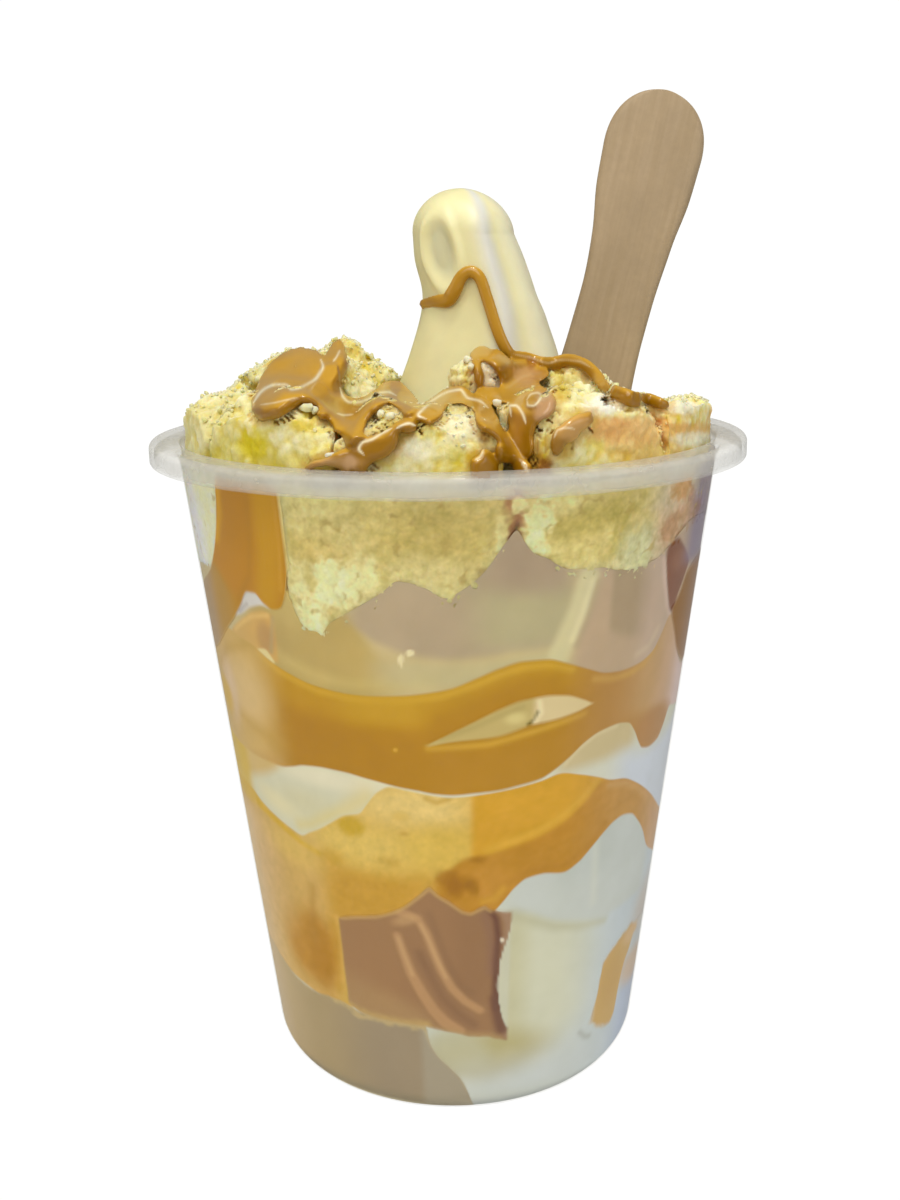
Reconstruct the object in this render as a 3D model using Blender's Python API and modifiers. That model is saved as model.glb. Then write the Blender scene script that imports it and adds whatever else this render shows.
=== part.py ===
"""Sundae cup: a clear plastic cup of layered cream, caramel and cake, with cake lumps,
a soft-serve peak, caramel threads and a flat wooden spoon on top.

Run with blender --background --python part.py, or from the text editor.
The origin is at the middle of the cup's underside, +Z is up, -Y is the front.
Angles round the cup are in degrees: 0 at the front (-Y), 90 at the right (+X).
"""

import bisect
import math

import bmesh
import bpy
from mathutils import Matrix, Vector, noise
from mathutils.bvhtree import BVHTree

MM = 0.001

# Cup
CUP_HEIGHT = 106.8 * MM
LIP_RADIUS = 47.6 * MM
LIP_SKIRT = 3.2 * MM
LIP_ROUNDING = 1.0 * MM
WALL_TOP_RADIUS = 43.0 * MM
WALL_FOOT_RADIUS = 30.5 * MM
WALL_TOP_LEVEL = 104.0 * MM
WALL_THICKNESS = 0.55 * MM
FLOOR_THICKNESS = 0.8 * MM
CORNER_RADIUS = 6.0 * MM
CORNER_STEPS = 4

# Gaps between pieces that touch
GAP = 0.3 * MM
COLUMNS = 60
CUP_COLUMNS = 40
HEART_RINGS = (0.62,)

# Spoon
SPOON_LENGTH = 82.0 * MM
SPOON_THICKNESS = 1.5 * MM
SPOON_HEAD_WIDTH = 16.6 * MM
SPOON_WAIST_WIDTH = 11.7 * MM
SPOON_TIP_WIDTH = 14.0 * MM
SPOON_TOP = Vector((37.1, 18.5, 160.3)) * MM
SPOON_TILT = math.radians(13.3)
SPOON_BACK_LEAN = math.radians(5.0)

# Colours: linear base colour and roughness
CREAM = ((0.78, 0.72, 0.48), 0.45)
CARAMEL = ((0.47, 0.23, 0.04), 0.3)
SPONGE = ((0.76, 0.68, 0.34), 0.9)
ICING = ((0.32, 0.19, 0.10), 0.5)
WOOD = ((0.48, 0.32, 0.17), 0.7)
PLASTIC = ((0.85, 0.85, 0.83), 0.12)


# ---------------------------------------------------------------- sizes worked out

def outer_radius(level):
    """The cup wall's outer radius at a level, with the rounded corner at the foot."""
    slope = (WALL_TOP_RADIUS - WALL_FOOT_RADIUS) / WALL_TOP_LEVEL
    return WALL_FOOT_RADIUS + slope * level - corner_inset(level, CORNER_RADIUS)


def corner_inset(height, radius):
    """How far a quarter-round corner stands back from the wall at a height above its floor."""
    if height >= radius:
        return 0.0
    drop = radius - max(height, 0.0)
    return radius - math.sqrt(max(radius * radius - drop * drop, 0.0))


def inner_radius(level):
    """The cup wall's inner radius at a level."""
    slope = (WALL_TOP_RADIUS - WALL_FOOT_RADIUS) / WALL_TOP_LEVEL
    inner_corner = CORNER_RADIUS - WALL_THICKNESS
    wall = WALL_FOOT_RADIUS - WALL_THICKNESS + slope * level
    return wall - corner_inset(level - FLOOR_THICKNESS, inner_corner)


def fill_radius(level):
    """The radius that the contents reach at a level, just clear of the wall."""
    return inner_radius(level) - GAP


def on_ring(angle, radius, level):
    """A point at an angle round the cup (degrees), a radius and a level."""
    turn = math.radians(angle)
    return Vector((radius * math.sin(turn), -radius * math.cos(turn), level))


def ring_curve(points):
    """A smooth level round the whole cup through (angle, millimetres) pairs.

    Slopes are limited so that the curve never swings past its points.
    """
    knots = [(angle, level * MM) for angle, level in points]
    first, last = knots[0], knots[-1]
    knots = [(last[0] - 360.0, last[1])] + knots + [(first[0] + 360.0, first[1])]
    return smooth_curve(knots)


def edge_curve(points):
    """A smooth level along part of the cup through (angle, millimetres) pairs."""
    return smooth_curve([(angle, level * MM) for angle, level in points])


def smooth_curve(knots):
    """Monotone cubic through (x, y) knots, level outside them."""
    xs = [knot[0] for knot in knots]
    ys = [knot[1] for knot in knots]
    rises = [(ys[i + 1] - ys[i]) / (xs[i + 1] - xs[i]) for i in range(len(xs) - 1)]
    slopes = [rises[0]]
    for before, after in zip(rises, rises[1:]):
        same_way = before * after > 0.0
        slopes.append(2.0 * before * after / (before + after) if same_way else 0.0)
    slopes.append(rises[-1])

    def value(x):
        if x <= xs[0]:
            return ys[0]
        if x >= xs[-1]:
            return ys[-1]
        i = bisect.bisect_right(xs, x) - 1
        width = xs[i + 1] - xs[i]
        t = (x - xs[i]) / width
        rest = 1.0 - t
        ends = ys[i] * (1.0 + 2.0 * t) * rest * rest + ys[i + 1] * t * t * (3.0 - 2.0 * t)
        lean = slopes[i] * t * rest * rest - slopes[i + 1] * t * t * rest
        return ends + width * lean

    return value


# ---------------------------------------------------------------- the layers' edges at the wall

# Top of the cream at the foot of the cup
LOWER_CREAM_TOP = ring_curve([
    (-180, 33), (-150, 29), (-120, 25), (-90, 23), (-70, 22.3), (-50, 20.2), (-35, 19.3),
    (-20, 21), (0, 32), (12, 40.5), (18, 44), (28, 43.7), (36, 46.5), (45, 50), (52, 48.5),
    (60, 43.5), (70, 38.5), (84, 36), (110, 34), (145, 36)])

# Top of the caramel-soaked cake and the caramel arc that runs on from it
SOAKED_TOP = ring_curve([
    (-180, 50), (-150, 53), (-120, 52), (-90, 52), (-70, 53), (-56, 53), (-50, 51), (-40, 49),
    (-34, 51), (-25, 54), (-18, 58), (-12, 58.6), (0, 57.6), (8, 58), (20, 59.1), (27, 60.8),
    (35, 58.5), (45, 56.5), (55, 53), (70, 47.5), (84, 44), (110, 43), (145, 46)])

# Lower and upper edge of the caramel band
BAND_FOOT = ring_curve([
    (-180, 66), (-150, 64), (-120, 62), (-84, 61), (-56, 59.5), (-44, 59.5), (-37, 60.8),
    (-25, 61.2), (-12, 59.7), (0, 58.7), (10, 59), (20, 60.2), (27, 63), (33, 65.8), (44, 66),
    (49, 62.5), (54, 60), (59, 60.3), (65, 64.5), (72, 63.5), (84, 62), (110, 61), (145, 63)])
BAND_TOP = ring_curve([
    (-180, 74), (-150, 76), (-120, 77), (-84, 78), (-58, 80), (-48, 79), (-42, 77),
    (-30, 74.5), (-20, 74), (-8, 74.6), (3, 76.4), (15, 79), (21, 79), (30, 76.5), (38, 75.1),
    (47, 75.8), (53, 79), (56, 81), (60, 79), (65, 74), (72, 71), (84, 69), (110, 70),
    (145, 72)])

# Top of the upper cream, under the cake lumps
UPPER_CREAM_TOP = ring_curve([
    (-180, 90), (-140, 89), (-100, 88), (-75, 87.5), (-52, 88), (-36, 87), (-30, 83.5),
    (-25, 81.5), (-19, 84.5), (-11, 87), (3, 88.3), (8, 91), (12, 93), (18, 92), (24, 90),
    (40, 88.6), (50, 90), (62, 93), (84, 92), (110, 90), (145, 90)])

# Edges of the pieces that lie inside a layer, against the wall
ICED_CAKE = {
    "span": (-30.5, 12.0),
    "foot": edge_curve([(-31, 20), (-25, 18.7), (-8, 18), (2, 16.6), (8, 17), (12, 15.6)]),
    "top": edge_curve([(-31, 36), (-20, 37.5), (-12, 40), (-6, 43.3), (0, 40.5), (4, 38.8),
                       (12, 40)]),
    "depth": 20.0 * MM,
}
BASE_CAKE = {
    "span": (-70.0, 4.5),
    "foot": edge_curve([(-70, 1.1), (5, 1.1)]),
    "top": edge_curve([(-70, 21), (-60, 20.6), (-50, 19), (-35, 17.9), (-28, 17.0), (-20, 16.9),
                       (-9, 16.6), (-6, 13.6), (-3, 11.0), (0, 9), (5, 4.0)]),
    "depth": 17.0 * MM,
}
CARAMEL_POCKET = {
    "span": (44.0, 74.0),
    "foot": edge_curve([(44, 20.5), (46, 11.0), (50, 10), (57, 11), (65, 13), (74, 16.5)]),
    "top": edge_curve([(44, 22), (50, 24.5), (57, 27.3), (65, 25), (74, 19)]),
    "depth": 5.0 * MM,
}
CREAM_FOLD = {
    "span": (-4.0, 31.0),
    "foot": edge_curve([(-4, 66.9), (5, 67.5), (10, 67.8), (17, 68.7), (22, 69.8), (31, 70.6)]),
    "top": edge_curve([(-4, 67.7), (0, 69), (5, 70.5), (10, 72), (15, 73.2), (20, 73.3),
                       (25, 72.7), (31, 71.4)]),
    "depth": 7.0 * MM,
}
LEFT_STREAK = {
    "span": (-70.0, -33.5),
    "foot": edge_curve([(-70, 79.4), (-62, 80), (-54, 82.2), (-46, 84), (-39, 85.5), (-33.5, 88)]),
    "top": edge_curve([(-70, 86), (-62, 91), (-57, 95), (-52, 102.5), (-33.5, 102.5)]),
    "depth": 3.2 * MM,
}
RIGHT_STREAK = {
    "span": (58.0, 84.0),
    "foot": edge_curve([(58, 84), (64, 81.5), (72, 80.5), (84, 80)]),
    "top": edge_curve([(58, 88), (64, 93.5), (72, 94.5), (84, 92)]),
    "depth": 3.0 * MM,
}

# The heart of each layer's edge, where no side shows it
LOWER_CREAM_HEART = 30.0 * MM
SOAKED_HEART = 53.0 * MM
BAND_FOOT_HEART = 66.0 * MM
BAND_TOP_HEART = 72.0 * MM


# ---------------------------------------------------------------- the soft-serve peak

# Ring by ring from the cream's top to the tip: level, middle across, middle in depth and
# the half widths across and in depth, in millimetres.
PEAK_RINGS = (
    (97.0, 5.5, 3.0, 24.5, 23.0), (103.0, 5.8, 3.0, 20.0, 18.0), (109.5, 5.7, 2.8, 15.6, 14.0),
    (114.7, 5.8, 2.5, 13.4, 11.8), (119.8, 6.0, 2.0, 11.6, 10.2), (124.5, 5.9, 1.6, 10.0, 9.2),
    (129.0, 5.2, 1.2, 8.8, 8.4), (133.5, 3.9, 0.8, 8.5, 7.8), (137.5, 2.9, 0.5, 7.8, 7.2),
    (141.0, 2.4, 0.4, 6.4, 6.0), (143.4, 2.3, 0.3, 4.2, 4.0),
)
PEAK_TIP = Vector((2.4, 0.3, 144.5)) * MM
PEAK_RIDGE_ANGLE = 14.0
PEAK_RIDGE_SPREAD = 20.0
PEAK_RIDGE_RISE = 0.09

# ---------------------------------------------------------------- the cake lumps

# Middle and half sizes in millimetres, and the turn about +Z in degrees
LUMPS = {
    "cake_lump_left": ((-33, -10, 101), (11.5, 13.5, 12.8), 20),
    "cake_lump_front_left": ((-22.5, -26, 98.5), (14.5, 13, 16.6), -30),
    "cake_lump_front_small": ((-11.2, -19, 108.2), (6.2, 6, 5.4), 10),
    "cake_lump_front": ((-3.2, -30, 99.5), (13, 13.5, 15), 5),
    "cake_lump_centre": ((8.5, -16.5, 106.5), (9.5, 7.5, 9.5), 20),
    "cake_lump_by_peak": ((4.9, -15.5, 116.0), (4.4, 4.0, 4.0), 30),
    "cake_lump_front_right": ((18, -28, 101), (13, 14, 14.4), 25),
    "cake_lump_inner_right": ((22.5, -5, 108), (9.5, 8.5, 9.6), 15),
    "cake_lump_right": ((32, -14, 101), (14, 15, 12.8), 65),
    "cake_lump_right_edge": ((36, 5, 101), (10, 11.5, 11.2), 10),
    "cake_lump_back_left": ((-22.5, 5, 108.0), (15, 13, 12.2), -15),
    "cake_lump_back": ((-2, 30, 101), (14.5, 12.5, 12.6), 5),
    "cake_lump_back_side": ((-25.5, 26, 100.5), (12.5, 12.5, 12), 40),
    "cake_lump_back_right": ((20.5, 28.5, 100.5), (13, 10.5, 12), -35),
}
SMALL_LUMPS = ("cake_lump_front_small", "cake_lump_by_peak")
CRUMB_REACH = 42.0 * MM
CRAG_DEPTH = 0.26
CRAG_SCALE = 2.1
LUMP_SQUARENESS = 3.4

# Extra crest that stands up from the back left lump
CREST = ((-15.4, 3.5, 117.2), (4.2, 3.4, 5.6), -20)

# ---------------------------------------------------------------- the caramel threads

# Each thread is laid over the lumps along lines from one place in front of the cup
# through (across, level) points, in millimetres, on an upright plane near the front.
POUR_POINT = Vector((0.0, -223.0, 135.0)) * MM
THREAD_PLANE = -20.0 * MM
THREAD_SUNK = 0.35
THREADS = {
    "peak": (0.85, ((-2.9, 128.2), (-0.1, 128.2), (1.3, 130), (2.5, 132.1), (4.7, 131.8),
                    (5.9, 128.5), (7.4, 124.1), (8.9, 120.9))),
    "right": (1.1, ((13.2, 119.2), (15.4, 118.8), (17.7, 119.2), (19.9, 118.8), (21.7, 117.5),
                    (22.9, 115.8), (25.5, 114.3), (28.6, 113.4))),
    "sheet": (2.0, ((10.1, 117.4), (11.3, 115.6), (11.9, 113.4), (10.9, 110.5), (11, 108.2))),
    "pool": (2.4, ((-26.6, 113.6), (-24.6, 115.6), (-21.5, 117.2), (-18.0, 117.0))),
    "back_ribbon": (1.6, ((-15.4, 120), (-16.1, 116.9), (-16.2, 113.3), (-14.5, 111.4),
                          (-12.4, 112.8), (-9.9, 114.5))),
    "front_left": (1.5, ((-20.3, 105.0), (-16.8, 106.2), (-13.8, 107.8), (-10.8, 108.9),
                         (-7.5, 110.2), (-4.8, 111.6), (-1.6, 112.4))),
    "front_right": (1.3, ((3.6, 111.8), (5.4, 109.6), (7.0, 107.4), (8.8, 105.6))),
    "hook": (1.0, ((21.3, 110.9), (19.3, 110.5), (17.3, 109.9), (16.3, 108.6), (16.2, 106.8))),
}


# ---------------------------------------------------------------- making meshes

def collection_named(name):
    """A new collection in the scene."""
    group = bpy.data.collections.new(name)
    bpy.context.scene.collection.children.link(group)
    return group


def material_named(name, finish):
    """A Principled material from a colour and a roughness."""
    colour, roughness = finish
    material = bpy.data.materials.new(name)
    material.use_nodes = True
    shader = material.node_tree.nodes["Principled BSDF"]
    shader.inputs["Base Color"].default_value = (*colour, 1.0)
    shader.inputs["Roughness"].default_value = roughness
    shader.inputs["Metallic"].default_value = 0.0
    return material


def object_from(bm, name, group, material=None):
    """A named object of a bmesh, with its faces pointing out."""
    bmesh.ops.remove_doubles(bm, verts=bm.verts, dist=0.002 * MM)
    bmesh.ops.triangulate(bm, faces=bm.faces)
    bmesh.ops.recalc_face_normals(bm, faces=bm.faces)
    if bm.calc_volume(signed=True) < 0.0:
        bmesh.ops.reverse_faces(bm, faces=bm.faces)
    mesh = bpy.data.meshes.new(name)
    bm.to_mesh(mesh)
    bm.free()
    made = bpy.data.objects.new(name, mesh)
    group.objects.link(made)
    if material:
        mesh.materials.append(material)
    return made


def as_cutter(made):
    """Marks an object as a guide that the model leaves out."""
    made.hide_render = True
    made.display_type = "WIRE"
    return made


def loft(bm, sections, closed):
    """Joins sections of equal length, each a loop of points, into a skin."""
    loops = [[bm.verts.new(point) for point in section] for section in sections]
    pairs = list(zip(loops, loops[1:]))
    if closed:
        pairs.append((loops[-1], loops[0]))
    for first, second in pairs:
        size = len(first)
        for i in range(size):
            j = (i + 1) % size
            bm.faces.new((first[i], first[j], second[j], second[i]))
    return loops


def side_levels(foot, top, from_floor):
    """Levels of the rows up a piece's side, closer together at the foot's corner."""
    if not from_floor:
        return [foot, top]
    corner = FLOOR_THICKNESS + CORNER_RADIUS
    rows = [foot + (corner - foot) * (1.0 - math.cos(math.pi / 2 * step / CORNER_STEPS))
            for step in range(CORNER_STEPS + 1)]
    return [min(row, top - (len(rows) - i) * 0.1 * MM) for i, row in enumerate(rows)] + [top]


def heart_level(wall_level, heart, share):
    """The level of a layer's edge at a share of the way out to the wall."""
    blend = share * share * (3.0 - 2.0 * share)
    return heart + (wall_level - heart) * blend


def disc_layer(name, group, material, foot, top, foot_heart, top_heart, grow=0.0):
    """A layer across the whole cup between two wavy edges, half a gap clear of both.

    A foot of None is the cup's floor. A grow makes a cutter that much larger.
    """
    bm = bmesh.new()
    half = GAP / 2.0 - grow
    floor = FLOOR_THICKNESS + GAP
    angles = [360.0 * i / COLUMNS - 180.0 for i in range(COLUMNS)]
    rows = []
    if foot is None:
        for share in HEART_RINGS:
            rows.append([on_ring(a, share * fill_radius(floor), floor) for a in angles])
    else:
        for share in HEART_RINGS:
            rows.append([on_ring(a, share * fill_radius(foot(a)),
                                 heart_level(foot(a), foot_heart, share) + half)
                         for a in angles])
    columns = []
    for angle in angles:
        low = floor if foot is None else foot(angle) + half
        levels = side_levels(low, top(angle) - half, foot is None)
        columns.append([on_ring(angle, fill_radius(level) + grow, level) for level in levels])
    rows.extend([list(row) for row in zip(*columns)])
    for share in reversed(HEART_RINGS):
        rows.append([on_ring(a, share * fill_radius(top(a)),
                             heart_level(top(a), top_heart, share) - half) for a in angles])
    loops = loft(bm, rows, closed=False)
    foot_middle = floor if foot is None else foot_heart + half
    cap_with_point(bm, loops[0], Vector((0, 0, foot_middle)))
    cap_with_point(bm, loops[-1], Vector((0, 0, top_heart - half)))
    return object_from(bm, name, group, material)


def cap_with_point(bm, loop, point):
    """Closes a loop of vertices with a fan about one point."""
    middle = bm.verts.new(point)
    for i, vertex in enumerate(loop):
        bm.faces.new((vertex, loop[(i + 1) % len(loop)], middle))


def wall_piece(name, group, material, shape, grow=0.0):
    """A piece that lies against the wall between two edges, over a span of angles.

    A grow makes the cutter of its pocket: that much larger, and out past the wall.
    """
    start, end = shape["span"]
    steps = max(2, math.ceil((end - start) / (360.0 / COLUMNS)))
    angles = [start + (end - start) * step / steps for step in range(steps + 1)]
    spread = math.degrees(grow / WALL_FOOT_RADIUS) * 1.2
    angles[0] -= spread
    angles[-1] += spread
    bm = bmesh.new()
    sections = []
    for angle in angles:
        foot, top = shape["foot"](angle) - grow, shape["top"](angle) + grow
        share = min(max((angle - start) / (end - start), 0.06), 0.94)
        depth = shape["depth"] * math.sin(math.pi * share) ** 0.5 + grow
        near_floor = foot < CORNER_RADIUS
        levels = side_levels(foot, top, near_floor)
        out = [on_ring(angle, wall_reach(level, grow), level) for level in levels]
        back = [on_ring(angle, fill_radius(max(level, CORNER_RADIUS)) - depth, level)
                for level in reversed(levels)]
        sections.append(out + back)
    loops = loft(bm, sections, closed=False)
    bm.faces.new(loops[0])
    bm.faces.new(loops[-1])
    return object_from(bm, name, group, material)


def wall_reach(level, grow):
    """Where a piece at the wall ends: just clear of it, or past it for a cutter."""
    if grow:
        return inner_radius(max(level, CORNER_RADIUS)) + 2.0 * MM
    return fill_radius(level)


def apply_modifiers(made):
    """Replaces an object's mesh with the one that its modifiers give."""
    graph = bpy.context.evaluated_depsgraph_get()
    mesh = bpy.data.meshes.new_from_object(made.evaluated_get(graph))
    old = made.data
    made.modifiers.clear()
    made.data = mesh
    mesh.name = old.name
    bpy.data.meshes.remove(old)


def combine(made, others, operation, solver="EXACT"):
    """One Boolean of an object with several others, applied, with scraps dropped."""
    if not others:
        return
    group = bpy.data.collections.new("working")
    bpy.context.scene.collection.children.link(group)
    for other in others:
        group.objects.link(other)
    boolean = made.modifiers.new("combine", "BOOLEAN")
    boolean.operation = operation
    boolean.solver = solver
    boolean.operand_type = "COLLECTION"
    boolean.collection = group
    apply_modifiers(made)
    for other in others:
        group.objects.unlink(other)
    bpy.data.collections.remove(group)
    keep_largest_body(made)


def keep_largest_body(made):
    """Drops the loose scraps that a cut leaves, and slivers with them."""
    bm = bmesh.new()
    bm.from_mesh(made.data)
    bmesh.ops.remove_doubles(bm, verts=bm.verts, dist=0.02 * MM)
    bmesh.ops.dissolve_degenerate(bm, edges=bm.edges, dist=0.01 * MM)
    bodies = []
    left = set(bm.verts)
    while left:
        body, edge = set(), [left.pop()]
        while edge:
            vertex = edge.pop()
            body.add(vertex)
            for link in vertex.link_edges:
                other = link.other_vert(vertex)
                if other in left:
                    left.discard(other)
                    edge.append(other)
        bodies.append(body)
    bodies.sort(key=len)
    for body in bodies[:-1]:
        bmesh.ops.delete(bm, geom=list(body), context="VERTS")
    bmesh.ops.triangulate(bm, faces=bm.faces)
    bm.to_mesh(made.data)
    bm.free()


# ---------------------------------------------------------------- the cup

def build_cup(group, material):
    """The clear cup, turned from one profile of its floor, wall and rolled lip."""
    slope = (WALL_TOP_RADIUS - WALL_FOOT_RADIUS) / WALL_TOP_LEVEL
    inner_top = WALL_FOOT_RADIUS - WALL_THICKNESS + slope * CUP_HEIGHT
    floor = FLOOR_THICKNESS
    corner = CORNER_RADIUS
    profile = [(0.0, floor)]
    for step in range(CORNER_STEPS + 1):
        level = floor + (corner - WALL_THICKNESS) * (1 - math.cos(math.pi / 2 * step / CORNER_STEPS))
        profile.append((inner_radius(level), level))
    profile.append((inner_top, CUP_HEIGHT - LIP_ROUNDING / 2))
    profile.append((inner_top + LIP_ROUNDING / 2, CUP_HEIGHT))
    for step in range(4):
        turn = math.pi / 2 * step / 3
        profile.append((LIP_RADIUS - LIP_ROUNDING * (1 - math.sin(turn)),
                        CUP_HEIGHT - LIP_ROUNDING * (1 - math.cos(turn))))
    skirt = CUP_HEIGHT - LIP_SKIRT
    underside = CUP_HEIGHT - 0.8 * MM
    profile += [(LIP_RADIUS, skirt), (LIP_RADIUS - 0.7 * MM, skirt),
                (LIP_RADIUS - 0.8 * MM, underside), (WALL_TOP_RADIUS + 0.9 * MM, underside)]
    profile.append((outer_radius(skirt), skirt))
    for step in range(CORNER_STEPS, -1, -1):
        level = corner * (1 - math.cos(math.pi / 2 * step / CORNER_STEPS))
        profile.append((outer_radius(level), level))
    profile.append((0.0, 0.0))

    bm = bmesh.new()
    line = [bm.verts.new((radius, 0.0, level)) for radius, level in profile]
    for first, second in zip(line, line[1:]):
        bm.edges.new((first, second))
    mesh = bpy.data.meshes.new("cup")
    bm.to_mesh(mesh)
    bm.free()
    cup = bpy.data.objects.new("cup", mesh)
    group.objects.link(cup)
    mesh.materials.append(material)
    screw = cup.modifiers.new("turn", "SCREW")
    screw.steps = screw.render_steps = CUP_COLUMNS
    screw.use_merge_vertices = True
    screw.merge_threshold = 0.01 * MM
    screw.use_smooth_shade = True
    return cup


# ---------------------------------------------------------------- the contents

def build_upper_cream(name, group, material, grow=0.0):
    """The upper cream: flat against the caramel band below, rising to the peak."""
    bm = bmesh.new()
    half = GAP / 2.0
    angles = [360.0 * i / COLUMNS - 180.0 for i in range(COLUMNS)]
    rows = [[on_ring(a, share * fill_radius(BAND_TOP(a)),
                     heart_level(BAND_TOP(a), BAND_TOP_HEART, share) + half) for a in angles]
            for share in HEART_RINGS]
    for edge, clear in ((BAND_TOP, half), (UPPER_CREAM_TOP, grow)):
        rows.append([on_ring(a, fill_radius(edge(a) + clear) + grow, edge(a) + clear)
                     for a in angles])
    shoulder = []
    for angle in angles:
        wall = on_ring(angle, fill_radius(UPPER_CREAM_TOP(angle)), UPPER_CREAM_TOP(angle))
        shoulder.append(wall.lerp(peak_point(PEAK_RINGS[0], angle, grow), 0.45))
    rows.append([point + Vector((0, 0, grow)) for point in shoulder])
    rows.append([peak_point(PEAK_RINGS[0], a, grow) for a in angles])
    loops = loft(bm, rows, closed=False)
    cap_with_point(bm, loops[0], Vector((0, 0, BAND_TOP_HEART + half)))

    half_angles = angles[::2]
    thin_rows = [[peak_point(ring, a, grow) for a in half_angles] for ring in PEAK_RINGS[1:]]
    thin_loops = loft(bm, thin_rows, closed=False)
    join_two_to_one(bm, loops[-1], thin_loops[0])
    cap_with_point(bm, thin_loops[-1], PEAK_TIP + Vector((0, 0, grow)))
    return object_from(bm, name, group, material)


def peak_point(ring, angle, grow):
    """A point of the peak's skin on one of its rings, with the ridge down its front."""
    level, across, depth, half_across, half_depth = (value * MM for value in ring)
    away = (angle - PEAK_RIDGE_ANGLE + 180.0) % 360.0 - 180.0
    ridge = 1.0 + PEAK_RIDGE_RISE * math.exp(-((away / PEAK_RIDGE_SPREAD) ** 2))
    turn = math.radians(angle)
    return Vector((across + (half_across * ridge + grow) * math.sin(turn),
                   depth - (half_depth * ridge + grow) * math.cos(turn),
                   level + grow))


def join_two_to_one(bm, wide, narrow):
    """Joins a loop to one with half as many vertices."""
    size = len(wide)
    for i, vertex in enumerate(narrow):
        following = narrow[(i + 1) % len(narrow)]
        left, middle, right = wide[2 * i], wide[2 * i + 1], wide[(2 * i + 2) % size]
        bm.faces.new((left, middle, vertex))
        bm.faces.new((middle, following, vertex))
        bm.faces.new((middle, right, following))


def build_spoon(group, material):
    """The flat wooden spoon: one outline, wide at the top, waisted and wider again."""
    half_waist = SPOON_WAIST_WIDTH / 2
    half_head = SPOON_HEAD_WIDTH / 2
    half_tip = SPOON_TIP_WIDTH / 2
    stations = smooth_curve([
        (0.0, 0.0), (0.012, half_head * 0.48), (0.035, half_head * 0.76), (0.075, half_head * 0.95),
        (0.12, half_head), (0.2, half_head * 0.96), (0.3, half_head * 0.82),
        (0.42, half_waist * 1.02), (0.5, half_waist), (0.62, half_waist * 1.1),
        (0.8, half_tip), (0.9, half_tip * 0.93), (0.96, half_tip * 0.7), (0.985, half_tip * 0.45),
        (1.0, 0.0)])
    shares = [0.0, 0.012, 0.035, 0.07, 0.12, 0.2, 0.3, 0.4, 0.5, 0.62, 0.72, 0.82, 0.9, 0.95,
              0.985, 1.0]
    right = [(stations(share), -share * SPOON_LENGTH) for share in shares]
    left = [(-across, along) for across, along in reversed(right[1:-1])]
    curve = bpy.data.curves.new("spoon_outline", "CURVE")
    curve.dimensions = "2D"
    curve.fill_mode = "BOTH"
    curve.extrude = SPOON_THICKNESS / 2
    spline = curve.splines.new("POLY")
    spline.points.add(len(right + left) - 1)
    for point, (across, along) in zip(spline.points, right + left):
        point.co = (across, along, 0.0, 1.0)
    spline.use_cyclic_u = True
    outline = bpy.data.objects.new("spoon_outline", curve)
    group.objects.link(outline)
    place = (Matrix.Translation(SPOON_TOP) @ Matrix.Rotation(SPOON_TILT, 4, "Y")
             @ Matrix.Rotation(math.pi / 2 - SPOON_BACK_LEAN, 4, "X"))
    graph = bpy.context.evaluated_depsgraph_get()
    mesh = bpy.data.meshes.new_from_object(outline.evaluated_get(graph))
    mesh.transform(place)
    bpy.data.objects.remove(outline)
    bm = bmesh.new()
    bm.from_mesh(mesh)
    spoon = object_from(bm, "spoon", group, material)
    return spoon


def grown_copy(made, name, group, grow):
    """A cutter that stands off from a convex or flat piece all round by a gap."""
    bm = bmesh.new()
    bm.from_mesh(made.data)
    bm.normal_update()
    moves = [vertex.normal * vertex.calc_shell_factor() * grow for vertex in bm.verts]
    for vertex, move in zip(bm.verts, moves):
        vertex.co += move
    return as_cutter(object_from(bm, name, group))


# ---------------------------------------------------------------- lumps and threads

def lump_mesh(middle, sizes, turn, detail, seed):
    """A craggy lump: a rounded block with seeded bumps, kept inside the cup's wall."""
    bm = bmesh.new()
    bmesh.ops.create_icosphere(bm, subdivisions=detail, radius=1.0)
    spin = Matrix.Rotation(math.radians(turn), 3, "Z")
    middle, sizes = Vector(middle) * MM, Vector(sizes) * MM
    for vertex in bm.verts:
        way = vertex.co.normalized()
        power = LUMP_SQUARENESS
        length = sum(abs(part) ** power for part in way) ** (-1.0 / power)
        crag = noise.noise(way * CRAG_SCALE + Vector((seed, 0, 0)))
        crag += 0.5 * noise.noise(way * CRAG_SCALE * 2.3 + Vector((0, seed, 0)))
        out = length * (1.0 + CRAG_DEPTH * crag)
        point = spin @ Vector(part * size * out for part, size in zip(way, sizes)) + middle
        reach = min(fill_radius(min(point.z, WALL_TOP_LEVEL)), CRUMB_REACH)
        flat = math.hypot(point.x, point.y)
        if flat > reach:
            point.x *= reach / flat
            point.y *= reach / flat
        vertex.co = point
    return bm


def lump_cell(name, own, group):
    """The space that one lump may fill: a block cut half way to each neighbour."""
    middle, sizes, _ = LUMPS[own]
    middle = Vector(middle) * MM
    bm = bmesh.new()
    bmesh.ops.create_cube(bm, size=60 * MM, matrix=Matrix.Translation(middle))
    for other, (place, other_sizes, _) in LUMPS.items():
        if other == own:
            continue
        way = Vector(place) * MM - middle
        share = sum(sizes) / (sum(sizes) + sum(other_sizes))
        if way.length * share > max(sizes) * 1.6 * MM:
            continue
        border = middle + way * share - way.normalized() * GAP / 2
        cut = bmesh.ops.bisect_plane(bm, geom=bm.verts[:] + bm.edges[:] + bm.faces[:],
                                     plane_co=border, plane_no=way, clear_outer=True)
        rim = [part for part in cut["geom_cut"] if isinstance(part, bmesh.types.BMEdge)]
        if rim:
            bmesh.ops.edgeloop_fill(bm, edges=rim)
    return as_cutter(object_from(bm, name, group))


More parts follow.
